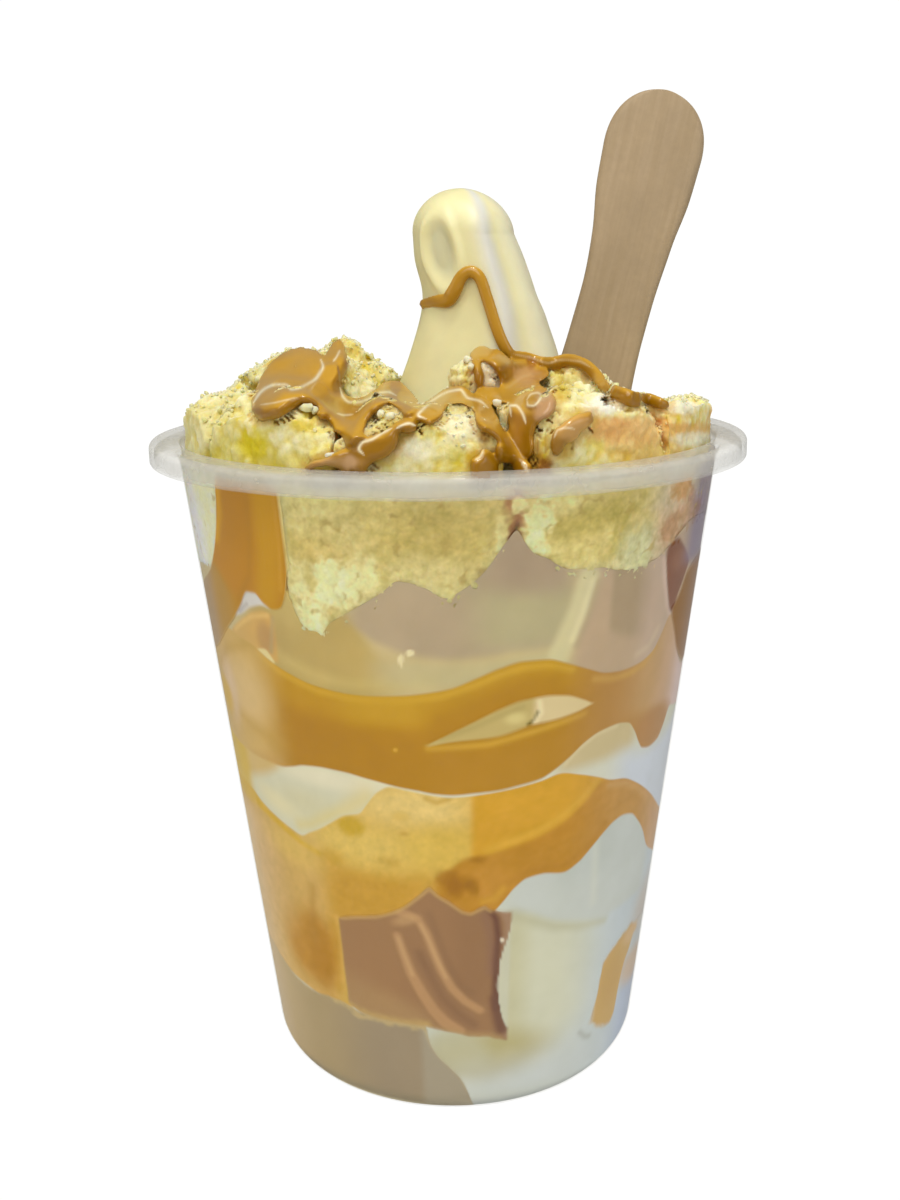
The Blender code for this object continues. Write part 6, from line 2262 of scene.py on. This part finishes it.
@dataclass
class CakeLumps:
    """Broken pieces of sponge with a craggy, crumbly skin."""

    shape: CupShape
    aim: Aim
    mask: CaramelMask
    even_size: float = 0.33
    skin_reach: float = 42.0
    # ground is the crumb's colour; pale on what stands out and deep in the pits are painted light and
    # shade by relief
    pale: str = "f4ecbe"
    ground: str = "eadf98"
    deep: str = "e2c93a"
    wetted: str = "d0a040"

    def build(self, node: str, material: bpy.types.Material) -> bpy.types.Object:
        """Builds and dresses one lump over its solid.

        Args:
            node: the solid's name.
            material: the sponge finish.

        Returns:
            The finished lump.
        """
        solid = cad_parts[node]
        mesh = solid.data.copy()
        mesh.materials.clear()
        piece = bpy.data.objects.new(node.replace("cake_lump", "sponge"), mesh)
        bpy.context.scene.collection.objects.link(piece)
        remesh(piece, self.even_size, 2)
        places, out = points_of(piece), normals_of(piece)
        rise, pits = self.relief(places)
        gap, behind = self.mask.look(places)
        covered = (gap < 1.5) & (np.abs(behind) < 4.0)
        bare = np.where(covered, smooth_step(0.0, 1.5, np.minimum(gap, 9.0)), 1.0)
        limit = self.skin_reach - np.hypot(places[:, 0], places[:, 1])
        free = 0.35 + 0.65 * smooth_step(-0.5, 2.0, limit)
        moved = self.keep_low(places) + out * (rise * free * (0.3 + 0.7 * bare))[:, None]
        moved = self.mask.press(self.keep_inside(moved))
        move_points(piece, moved)
        paint_points(piece, self.colours(moved, rise, pits), 1.0)
        fit_out(piece, material, [node])
        return piece

    def relief(self, places: Array) -> tuple[Array, Array]:
        """How far the crumb stands out at places, and how deep in a pit each is.

        Args:
            places: places on the skin.

        Returns:
            Millimetres out of the skin, and the share of a pit, at each place.
        """
        broad = 0.6 * noise_at(places, 4.6, 1)
        medium = 0.45 * noise_at(places, 2.0, 2)
        small = 0.14 * noise_at(places, 0.7, 4)
        grains, _ = cells_at(places, 1.8, 7)
        pores, _ = cells_at(places, 1.0, 6)
        dome = 1.15 * (0.5 - grains) + 0.7 * (0.5 - pores)
        pits = smooth_step(0.55, 0.85, grains) * smooth_step(-0.3, 0.5, noise_at(places, 5.0, 8))
        rise = broad + medium + small + dome
        return rise * 0.8 - 0.3, pits

    def keep_inside(self, points: Array) -> Array:
        """Pulls points that would pass the cup's wall back inside it."""
        flat = np.hypot(points[:, 0], points[:, 1])
        wall = self.shape.inner(np.minimum(points[:, 2], self.shape.wall_top_level)) - 0.4
        reach = np.where(points[:, 2] > self.shape.height - 1.0, self.skin_reach + 0.8, wall)
        scale = np.where(flat > reach, reach / np.maximum(flat, 1e-6), 1.0)
        points = points.copy()
        points[:, :2] *= scale[:, None]
        return points

    def keep_low(self, points: Array) -> Array:
        """Lowers points that would stand above the toppings' outline."""
        plane = self.aim.on_plane(points)
        over = np.maximum(plane[:, 1] - TOP_LINE.at(plane[:, 0]), 0.0)
        start = self.aim.pour_point[1]
        points = points.copy()
        points[:, 2] -= 0.9 * over * (points[:, 1] - start) / (self.aim.plane - start)
        return points

    def colours(self, places: Array, rise: Array, pits: Array) -> Array:
        """Crumb colours: pale on what stands out and deeper yellow in the pits, painted light and
        shade by relief, with stains and spots of painted shade.

        Args:
            places: places on the skin.
            rise: how far each stands out.
            pits: the share of a pit at each.

        Returns:
            A linear colour for each place.
        """
        ground, pale, deep = linear(self.ground), linear(self.pale), linear(self.deep)
        # pale where the crumb stands out and deeper yellow in the pits: painted light and shade
        high = smooth_step(-0.7, 0.4, rise)
        patchy = smooth_step(-0.5, 0.5, noise_at(places, 6.0, 11))
        colour = ground + (pale - ground) * high[:, None]
        low = np.clip(0.6 * pits + 0.8 * smooth_step(0.3, 1.0, -rise), 0.0, 1.0)
        colour += (deep - colour) * (low * (0.55 + 0.45 * patchy))[:, None]
        stain_and_shade(colour, self.aim.on_plane(places), noise_at(places, 1.2, 21), STAINS_AND_SHADE)
        gap, behind = self.mask.look(places)
        wet = (np.abs(behind) < 2.5) * (1.0 - smooth_step(0.1, 0.9, np.minimum(gap, 9.0)))
        colour += (linear(self.wetted) - colour) * (0.5 * wet)[:, None]
        return colour


@dataclass
class PressedCake:
    """Sponge pressed flat against the clear wall, with a ragged lower edge."""

    shape: CupShape
    paint: WallPaint
    columns: int = 1150
    step: float = 0.22
    top: float = 104.2
    below: float = 3.0
    depth: float = 4.0
    proud: float = 0.06
    hidden: float = 2.2

    def build(self, material: bpy.types.Material) -> bpy.types.Object:
        """Builds and dresses the pressed sponge all round the wall.

        Args:
            material: the sponge finish.

        Returns:
            The finished piece.
        """
        angles = np.linspace(-180.0, 180.0, self.columns, endpoint=False)
        edge = UPPER_CREAM_TOP.at(angles)
        foot = edge - self.below
        count = math.ceil(float((self.top - foot).max()) / self.step)
        share = np.linspace(0.0, 1.0, count)[:, None]
        levels = foot[None, :] + (self.top - foot)[None, :] * share
        turn = np.broadcast_to(angles, levels.shape)
        radius = self.shape.filled(levels) + self.proud
        places = round_cup(turn, radius, levels).reshape(-1, 3)
        sunk, colours = self.relief(turn.ravel(), levels.ravel(), places,
                                    np.broadcast_to(edge, levels.shape).ravel())
        front = round_cup(turn.ravel(), radius.ravel() - sunk, levels.ravel())
        back_levels = levels[[-1, len(levels) // 2, 0]]
        back = round_cup(np.broadcast_to(angles, back_levels.shape).ravel(),
                         (self.shape.filled(back_levels) - self.depth).ravel(),
                         back_levels.ravel())
        points = np.vstack([front, back])
        rows = len(levels) + len(back_levels)
        faces = [tuple(quad) for quad in grid_faces(rows, self.columns, True).tolist()]
        last = (rows - 1) * self.columns
        ring = np.arange(self.columns)
        following = np.roll(ring, -1)
        faces += [(last + a, last + b, b, a) for a, b in zip(ring.tolist(), following.tolist())]
        piece = piece_from("sponge_at_wall", points, faces)
        colours = np.vstack([colours, np.tile(colours[0], (len(back), 1))])
        paint_points(piece, colours, 0.8)
        fit_out(piece, material)
        return piece

    def relief(self, angle: Array, level: Array, places: Array, edge: Array
               ) -> tuple[Array, Array]:
        """How far the sponge stands back from the wall, and its colours, with painted light on the
        proud crumb and painted shade in the pores.

        Args:
            angle: degrees round the cup.
            level: height of each place.
            places: the places at the wall.
            edge: the lower edge's level at each place.

        Returns:
            Millimetres back from the wall, and linear colours.
        """
        broad = noise_at(places, 3.2, 31)
        medium = noise_at(places, 1.3, 33)
        first, _ = cells_at(places, 1.3, 35)
        small, _ = cells_at(places, 0.7, 37)
        fine = noise_at(places, 0.5, 39)
        ragged = 0.5 * broad + 0.75 * medium + 1.0 * (0.45 - first) + 0.5 * fine
        above = level - edge + ragged
        body = smooth_step(-0.2, 0.25, above)
        pores = smooth_step(0.42, 0.8, first) * 0.16 + smooth_step(0.5, 0.8, small) * 0.07
        open_crumb = smooth_step(-0.3, 0.5, broad + 0.4 * medium)
        near_edge = 1.0 - smooth_step(0.5, 3.5, above)
        sunk = pores * (0.35 + 0.65 * np.maximum(open_crumb, near_edge))
        sunk += 0.12 * (medium + 0.6) * np.maximum(open_crumb, near_edge) * (medium > -0.6)
        calm = np.maximum(smooth_step(-57.0, -51.0, angle), smooth_step(80.0, 88.0, -angle))
        sunk *= 0.08 + 0.92 * calm
        side = np.minimum(angle + 76.0, -34.6 - angle) * 0.7 + 0.3 * medium
        under = level - Curve(LEFT_STREAK_TOP).at(angle)
        in_streak = smooth_step(-0.2, 0.3, side) * (1.0 - smooth_step(-0.3, 0.3, under))
        gap = np.exp(-(((angle - 12.3 + 0.8 * broad) / 1.0) ** 2))
        gap *= 1.0 - smooth_step(97.0, 101.5, level)
        sunk = sunk + (1.0 - body) * self.hidden + in_streak * self.hidden + gap * 1.2
        colour, _ = self.paint.cake_only().colours(self.shape, angle, level)
        # lighter where the crumb stands proud, with random mottle: painted light
        light = (0.10 * medium + 0.06 * fine + 0.10 * (0.45 - first) + 0.05 * (0.45 - small)
                 + 0.10 * broad)
        # dark specks in the pores: painted shade
        pore_shade = smooth_step(0.62, 0.85, first) * smooth_step(0.0, 0.5, noise_at(places, 4.0, 43))
        light *= 0.2 + 0.8 * calm
        tone = (1.0 + light)[:, None] ** np.array([1.0, 1.05, 1.5])
        colour = colour * tone
        colour += (linear("9c8648") * self.paint.gain[0] - colour) * (0.6 * pore_shade)[:, None]
        return sunk, np.clip(colour, 0.0, 0.95)


# ---------------------------------------------------------------- crumbs

@dataclass(frozen=True)
class Morsel:
    """One crumb in a given place on the pouring plane: its size, stretch and colour."""

    place: Point
    size: float
    colour: str = "f6f0cc"
    stretch: float = 1.0


MORSELS = (
    Morsel((-20.6, 113.0), 0.6, "ece2ac", 1.6), Morsel((-19.6, 112.6), 0.55, "efe6b6"),
    Morsel((3.0, 119.6), 0.6, "f0e8c4"), Morsel((3.5, 118.6), 0.5, "ece2b8"),
    Morsel((7.4, 113.3), 0.5, "efe5c6", 1.5), Morsel((6.8, 112.7), 0.4, "ece0bc"),
    Morsel((-9.8, 111.9), 0.5, "efe6bc"), Morsel((-8.4, 111.6), 0.6, "efe6bc"),
    Morsel((-17.4, 105.9), 0.45, "f0e8cc", 1.6),
)


@dataclass
class Crumbs:
    """Loose crumbs that cling to the lumps, as one joined mesh."""

    name: str
    count: int
    smallest: float
    largest: float
    detail: int
    seed: int
    morsels: tuple[Morsel, ...] = ()
    pale: str = "f4ecc0"
    deep: str = "e4d588"
    sunk: float = 0.3

    def build(self, material: bpy.types.Material, lumps: Sequence[bpy.types.Object],
              mask: CaramelMask) -> bpy.types.Object:
        """Scatters the crumbs over the lumps.

        Args:
            material: the sponge finish.
            lumps: the pieces that carry them.
            mask: the caramel, which carries none.

        Returns:
            The joined crumbs.
        """
        draw = np.random.default_rng(self.seed)
        spots, ways = self.spots(draw, lumps, mask)
        count = len(spots)
        sizes = self.smallest + (self.largest - self.smallest) * draw.random(count) ** 2.2
        stretches = 0.7 + 0.6 * draw.random((count, 3))
        share = draw.random((count, 1))
        tints = linear(self.pale) * (1.0 - share) + linear(self.deep) * share
        stain_and_shade(tints, mask.aim.on_plane(spots), noise_at(spots, 1.2, 21), STAINS_AND_SHADE)
        if self.morsels:
            placed = [self.placed(morsel, mask.aim) for morsel in self.morsels]
            spots = np.vstack([spots, [place for place, _ in placed]])
            ways = np.vstack([ways, [way for _, way in placed]])
            sizes = np.append(sizes, [morsel.size for morsel in self.morsels])
            wide = [(morsel.stretch, 1.0, 1.0) for morsel in self.morsels]
            stretches = np.vstack([stretches, wide])
            tints = np.vstack([tints, [linear(morsel.colour) for morsel in self.morsels]])
        seeds = bmesh.new()
        bmesh.ops.create_icosphere(seeds, subdivisions=self.detail, radius=1.0)
        base = np.array([vertex.co[:] for vertex in seeds.verts])
        base_faces = np.array([[v.index for v in face.verts] for face in seeds.faces])
        seeds.free()
        points, faces = [], []
        for number, (spot, way, size, stretch) in enumerate(zip(spots, ways, sizes, stretches)):
            axis = Vector(draw.normal(size=3)).normalized()
            turn = np.array(Matrix.Rotation(draw.random() * (6.28 if number < count else 0.4), 3,
                                            axis))
            bumps = 1.0 + 0.6 * (draw.random(len(base)) - 0.5)
            form = (base * bumps[:, None] * stretch) @ turn.T * size
            points.append(form + spot + way * size * (1.0 - 2.0 * self.sunk))
            faces.append(base_faces + number * len(base))
        all_faces = [tuple(face) for face in np.vstack(faces).tolist()]
        piece = piece_from(self.name, np.vstack(points), all_faces)
        paint_points(piece, np.repeat(tints, len(base), axis=0), 0.6)
        fit_out(piece, material)
        return piece

    def placed(self, morsel: Morsel, aim: Aim) -> tuple[Array, Array]:
        """Where a listed crumb lies, and the way from it to the pourer."""
        way = aim.way(*morsel.place)
        distance = aim.hit(*morsel.place) or 205.0
        place = Vector(aim.pour_point) + way * (distance - 0.3)
        return np.array(place), -np.array(way)

    def spots(self, draw: np.random.Generator, lumps: Sequence[bpy.types.Object],
              mask: CaramelMask) -> tuple[Array, Array]:
        """Draws places on the lumps and the ways out of the skin there.

        Args:
            draw: the seeded random draws.
            lumps: the pieces that carry crumbs.
            mask: the caramel, which carries none.

        Returns:
            Places, and the ways out of the skin there.
        """
        places = np.vstack([points_of(lump) for lump in lumps])
        ways = np.vstack([normals_of(lump) for lump in lumps])
        flat = np.hypot(places[:, 0], places[:, 1])
        gap, behind = mask.look(places)
        clear = (gap > 1.4) | (behind < -3.0)
        open_air = (places[:, 2] > 100.0) & (flat < 41.5) & (ways[:, 2] > -0.35) & clear
        places, ways = places[open_air], ways[open_air]
        clumps = noise_at(places, 3.2, self.seed) + 0.55
        chance = np.clip(clumps, 0.03, 1.0) * (0.4 + 0.6 * np.clip(ways[:, 2] + 0.4, 0.0, 1.0))
        chosen = draw.choice(len(places), size=self.count, replace=False,
                             p=chance / chance.sum())
        return places[chosen], ways[chosen]


# ---------------------------------------------------------------- the spoon

@dataclass(frozen=True)
class Spoon:
    """The flat wooden spoon: wide at the top, waisted, and wider again below."""

    length: float = 82.0
    thickness: float = 1.5
    head: float = 16.6
    waist: float = 11.7
    tip: float = 14.0
    top: tuple[float, float, float] = (37.1, 18.5, 160.3)
    tilt: float = 13.3
    back_lean: float = 5.0
    bevel: float = 0.28
    bend: float = 0.8
    rows: int = 120
    columns: int = 15

    def place(self) -> Matrix:
        """Where the spoon's own frame stands in the cup."""
        return (Matrix.Translation(Vector(self.top))
                @ Matrix.Rotation(math.radians(self.tilt), 4, "Y")
                @ Matrix.Rotation(math.pi / 2 - math.radians(self.back_lean), 4, "X"))

    def half_width(self, share: Array) -> Array:
        """Half the spoon's width at shares of its length from the top.

        Args:
            share: shares of the length from the top.

        Returns:
            Half the width at each share.
        """
        head, waist, tip = self.head / 2, self.waist / 2, self.tip / 2
        line = Curve(((0.12, head), (0.2, head * 0.96), (0.3, head * 0.82), (0.42, waist * 1.06),
                      (0.5, waist * 1.07), (0.62, waist * 1.14), (0.8, tip), (0.9, tip * 0.93)))
        width = line.at(share)
        top_round = np.sqrt(np.clip(1.0 - (1.0 - np.minimum(share / 0.12, 1.0)) ** 2.3, 0, 1))
        foot = np.clip((share - 0.88) / 0.12, 0.0, 1.0)
        foot_round = np.sqrt(np.clip(1.0 - foot ** 2.2, 0.0, 1.0))
        return width * top_round * foot_round

    def build(self, finish: WoodFinish) -> bpy.types.Object:
        """Builds and dresses the spoon.

        Args:
            finish: the plain wood.

        Returns:
            The finished spoon.
        """
        turn = np.linspace(0.0, math.pi, self.rows)
        share = (1.0 - np.cos(turn)) / 2
        half = np.maximum(self.half_width(share), 0.02)
        thick = self.thickness / 2
        section: list[Array] = []
        across = np.linspace(-1.0, 1.0, self.columns)
        for sign in (1.0, -1.0):
            edge = np.clip((1.0 - np.abs(across)), 0.0, 1.0)
            for value, gap in zip(across * sign, edge):
                inset = np.minimum(gap * half / self.bevel, 1.0)
                round_off = 1.0 - (1.0 - inset) ** 2
                section.append(np.stack([value * half, -share * self.length,
                                         sign * thick * (0.55 + 0.45 * round_off)], axis=-1))
        loop = np.stack(section, axis=1)
        loop[:, :, 0] -= self.bend * smooth_step(0.3, 0.6, share)[:, None]
        points = loop.reshape(-1, 3)
        count, around = loop.shape[:2]
        faces: list[tuple[int, ...]] = [tuple(quad) for quad in
                                        grid_faces(count, around, True).tolist()]
        ends = np.vstack([loop[0].mean(axis=0), loop[-1].mean(axis=0)])
        points = np.vstack([points, ends])
        faces += fan(np.arange(around), len(points) - 2, True)
        faces += fan(np.arange((count - 1) * around, count * around), len(points) - 1, False)
        place = np.array(self.place())
        points = points @ place[:3, :3].T + place[:3, 3]
        spoon = piece_from("wooden_spoon", points, faces)
        fit_out(spoon, finish.make(self.place()), ["spoon"])
        return spoon


# ---------------------------------------------------------------- floor, light and camera

@dataclass(frozen=True)
class Studio:
    """Pale sweep, soft light and the camera."""

    camera_place: tuple[float, float, float] = (0.0, -0.223, 0.135)
    look_down: float = 14.24
    roll: float = -0.78
    focal_share: float = 1374.0 / 1200.0
    sensor: float = 36.0
    sky: float = 0.26
    seen_sky: float = 1.0

    def build(self) -> None:
        """Builds the sweep, the lights, the world and the camera."""
        self.sweep()
        self.world()
        self.area("key_above", (-0.05, -0.30, 0.42), (0.0, -0.01, 0.08), 0.26, 0.88,
                  (1.0, 0.985, 0.95))
        self.area("fill_left", (-0.55, -0.2, 0.2), (0.0, 0.0, 0.07), 0.4, 0.55,
                  (1.0, 0.97, 0.92))
        self.area("fill_right", (0.5, -0.3, 0.22), (0.0, 0.0, 0.07), 0.3, 0.62,
                  (0.92, 0.95, 1.0))
        self.area("glint", (0.02, -0.1, 0.42), (0.0, -0.03, 0.11), 0.05, 0.42,
                  (1.0, 0.98, 0.94))
        self.camera()

    def area(self, name: str, place: tuple[float, ...], target: tuple[float, ...],
             size: float, power: float, colour: tuple[float, ...]) -> None:
        """Adds a soft square light that faces a point, sizes in metres and power in watts.

        Args:
            name: the light's name.
            place: where it hangs.
            target: the point that it faces.
            size: its side.
            power: its power.
            colour: its linear colour.
        """
        lamp = bpy.data.lights.new(name, "AREA")
        lamp.size = size
        lamp.energy = power
        lamp.color = colour
        holder = bpy.data.objects.new(name, lamp)
        holder.location = place
        holder.rotation_euler = (Vector(target) - Vector(place)).to_track_quat("-Z", "Y").to_euler()
        bpy.context.scene.collection.objects.link(holder)

    def world(self) -> None:
        """Adds an even pale surround, brighter where it is seen directly."""
        world = bpy.data.worlds.new("surround")
        bpy.context.scene.world = world
        world.use_nodes = True
        tree = world.node_tree
        tree.nodes.clear()
        output = tree.nodes.new("ShaderNodeOutputWorld")
        lighting = tree.nodes.new("ShaderNodeBackground")
        seen = tree.nodes.new("ShaderNodeBackground")
        lighting.inputs["Color"].default_value = (1.0, 0.99, 0.97, 1.0)
        lighting.inputs["Strength"].default_value = self.sky
        seen.inputs["Strength"].default_value = self.seen_sky
        path = tree.nodes.new("ShaderNodeLightPath")
        mix = tree.nodes.new("ShaderNodeMixShader")
        tree.links.new(path.outputs["Is Camera Ray"], mix.inputs[0])
        tree.links.new(lighting.outputs[0], mix.inputs[1])
        tree.links.new(seen.outputs[0], mix.inputs[2])
        tree.links.new(mix.outputs[0], output.inputs["Surface"])

    def sweep(self) -> None:
        """Adds a pale floor that curves up into a backdrop, in metres."""
        wide, front, back, rise, bend = 3.0, 2.0, 1.6, 2.2, 0.7
        line = [(-front, 0.0), (back - bend, 0.0)]
        line += [(back - bend + bend * math.sin(turn), bend - bend * math.cos(turn))
                 for turn in np.radians(np.linspace(8, 90, 12))]
        line.append((back, rise))
        points = [(x, y, z) for y, z in line for x in (-wide, wide)]
        faces = [(2 * i, 2 * i + 1, 2 * i + 3, 2 * i + 2) for i in range(len(line) - 1)]
        mesh = bpy.data.meshes.new("studio_sweep")
        mesh.from_pydata(points, [], faces)
        mesh.shade_smooth()
        sweep = bpy.data.objects.new("studio_sweep", mesh)
        bpy.context.scene.collection.objects.link(sweep)
        bench = Bench("pale_paper")
        speck = bench.noise(40.0, 2.0)
        white = bench.add("RGB")
        white.outputs[0].default_value = (0.9, 0.9, 0.89, 1.0)
        colour = bench.shade(white.outputs[0], bench.spread(speck, 0.99, 1.01))
        paper = bench.add("BsdfDiffuse", Color=colour)
        lit = bench.add("Emission", Color=colour, Strength=1.15)
        both = bench.add("MixShader", Fac=bench.add("LightPath").outputs["Is Camera Ray"])
        bench.link(paper.outputs[0], both.inputs[1])
        bench.link(lit.outputs[0], both.inputs[2])
        mesh.materials.append(bench.finish(both.outputs[0]))

    def camera(self) -> None:
        """Adds the camera at the front, looking down on the cup."""
        lens = bpy.data.cameras.new("camera")
        lens.sensor_width = self.sensor
        lens.lens = self.focal_share * self.sensor
        lens.clip_start = 0.01
        holder = bpy.data.objects.new("camera", lens)
        holder.matrix_world = (Matrix.Translation(self.camera_place)
                               @ Matrix.Rotation(math.radians(90.0 - self.look_down), 4, "X")
                               @ Matrix.Rotation(math.radians(self.roll), 4, "Z"))
        bpy.context.scene.collection.objects.link(holder)
        bpy.context.scene.camera = holder


# ---------------------------------------------------------------- the whole sundae

@dataclass
class Sundae:
    """The filled cup, built from the bottom up."""

    shape: CupShape
    paint: WallPaint

    def build(self) -> None:
        """Builds every piece in order."""
        cream = PaintedFinish("cream_filling", 0.6, relief=0.05, grain_shade=0.08,
                              cloud_shade=0.02, specular=0.12).make()
        soaked = PaintedFinish("soaked_sponge_filling", 0.6, 1.1, 0.1, 0.06, cloud_shade=0.02,
                               specular=0.12).make()
        caramel = PaintedFinish("caramel_filling", 0.5, relief=0.03, grain_shade=0.05,
                                cloud_shade=0.02, specular=0.15).make()
        icing = PaintedFinish("icing_filling", 0.55, 1.2, 0.08, 0.05, cloud_shade=0.02,
                              specular=0.15).make()
        common = {"shape": self.shape, "paint": self.paint}
        Layer(**common, name="lower_cream_fill", node="lower_cream", slot=Slot.CREAM, foot=None,
              top=LOWER_CREAM_TOP, top_heart=30.0).build(cream)
        Layer(**common, name="soaked_cake_fill", node="soaked_cake", slot=Slot.SOAKED,
              foot=LOWER_CREAM_TOP, top=SOAKED_TOP, foot_heart=30.0, top_heart=53.0).build(soaked)
        Layer(**common, name="middle_cream_fill", node="middle_cream", slot=Slot.CREAM,
              foot=SOAKED_TOP, top=BAND_FOOT, foot_heart=53.0, top_heart=66.0).build(cream)
        Layer(**common, name="caramel_band_fill", node="caramel_band", slot=Slot.CARAMEL,
              foot=BAND_FOOT, top=BAND_TOP, foot_heart=66.0, top_heart=72.0).build(caramel)
        self.wall_pieces(common, cream, caramel, icing)
        whipped = PaintedFinish("soft_serve", 0.42, 1.0, 0.04, 0.05, 0.25, 2.5).make()
        upper = PeakedCream(**common).build(whipped)
        ClearCup(self.shape).build()
        Spoon().build(WoodFinish())
        self.toppings(upper)

    def wall_pieces(self, common: dict, cream: bpy.types.Material, caramel: bpy.types.Material,
                    icing: bpy.types.Material) -> None:
        """Builds the pieces that lie inside a layer, against the wall.

        Args:
            common: the sizes and paint that all the fillings share.
            cream: the cream finish.
            caramel: the caramel finish.
            icing: the icing finish.
        """
        WallPiece(**common, name="iced_cake_fill", node="iced_cake", slot=Slot.ICING,
                  span=(-31.0, 14.4), foot=ICED_FOOT, top=ICED_TOP, depth=20.0,
                  edge=0.2).build(icing)
        WallPiece(**common, name="base_cake_fill", node="base_cake", slot=Slot.ICING,
                  span=(-74.0, 6.0), foot=BASE_FOOT, top=BASE_TOP, depth=17.0, proud=0.03,
                  edge=0.2).build(icing)
        WallPiece(**common, name="caramel_pocket_fill", node="caramel_pocket",
                  slot=Slot.CARAMEL, span=(44.0, 74.0), foot=POCKET_FOOT, top=POCKET_TOP,
                  depth=5.0).build(caramel)
        WallPiece(**common, name="cream_fold_fill", node="cream_fold", slot=Slot.CREAM,
                  span=(-5.0, 32.0), foot=FOLD_FOOT, top=FOLD_TOP, depth=7.0).build(cream)
        WallPiece(**common, name="left_caramel_streak", node="caramel_streak_left",
                  slot=Slot.CARAMEL, span=(-74.0, -33.0), foot=LEFT_STREAK_FOOT,
                  top=LEFT_STREAK_TOP, depth=3.2, proud=0.07, edge=0.1).build(caramel)
        WallPiece(**common, name="right_caramel_streak", node="caramel_streak_right",
                  slot=Slot.CARAMEL, span=(56.0, 88.0), foot=RIGHT_STREAK_FOOT,
                  top=RIGHT_STREAK_TOP, depth=3.0, proud=0.07, edge=0.1).build(caramel)

    def toppings(self, upper: bpy.types.Object) -> None:
        """Builds the drizzle, the sponge lumps and the crumbs.

        Args:
            upper: the cream with the peak.
        """
        aim = Aim()
        aim.add_skin(upper)
        for node in LUMPS:
            aim.add_skin(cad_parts[node])
        gloss = PaintedFinish("poured_caramel", 0.35, 1.0, 0.0, 0.0, 0.05, 2.0, 0.45,
                              specular=0.25).make()
        drizzle = Drizzle(aim).build(gloss)
        mask = CaramelMask(aim)
        mask.fill(points_of(drizzle))
        crumb = PaintedFinish("sponge_crumb", 0.85, 0.45, 0.06, 0.08, 0.6, 2.5, specular=0.15)
        sponge = crumb.make()
        maker = CakeLumps(self.shape, aim, mask)
        lumps = [maker.build(node, sponge) for node in LUMPS]
        PressedCake(self.shape, self.paint).build(sponge)
        Crumbs("coarse_crumbs", 300, 0.3, 0.62, 2, 11, MORSELS).build(sponge, lumps, mask)
        Crumbs("fine_crumbs", 7000, 0.12, 0.4, 1, 12).build(sponge, lumps, mask)


def main() -> None:
    """Builds the sundae and its studio."""
    logging.basicConfig(level=logging.INFO, format="%(name)s: %(message)s")
    bpy.context.scene.view_settings.view_transform = "Standard"
    Sundae(CupShape(), PAINT).build()
    Studio().build()


if __name__ == "__main__":
    main()
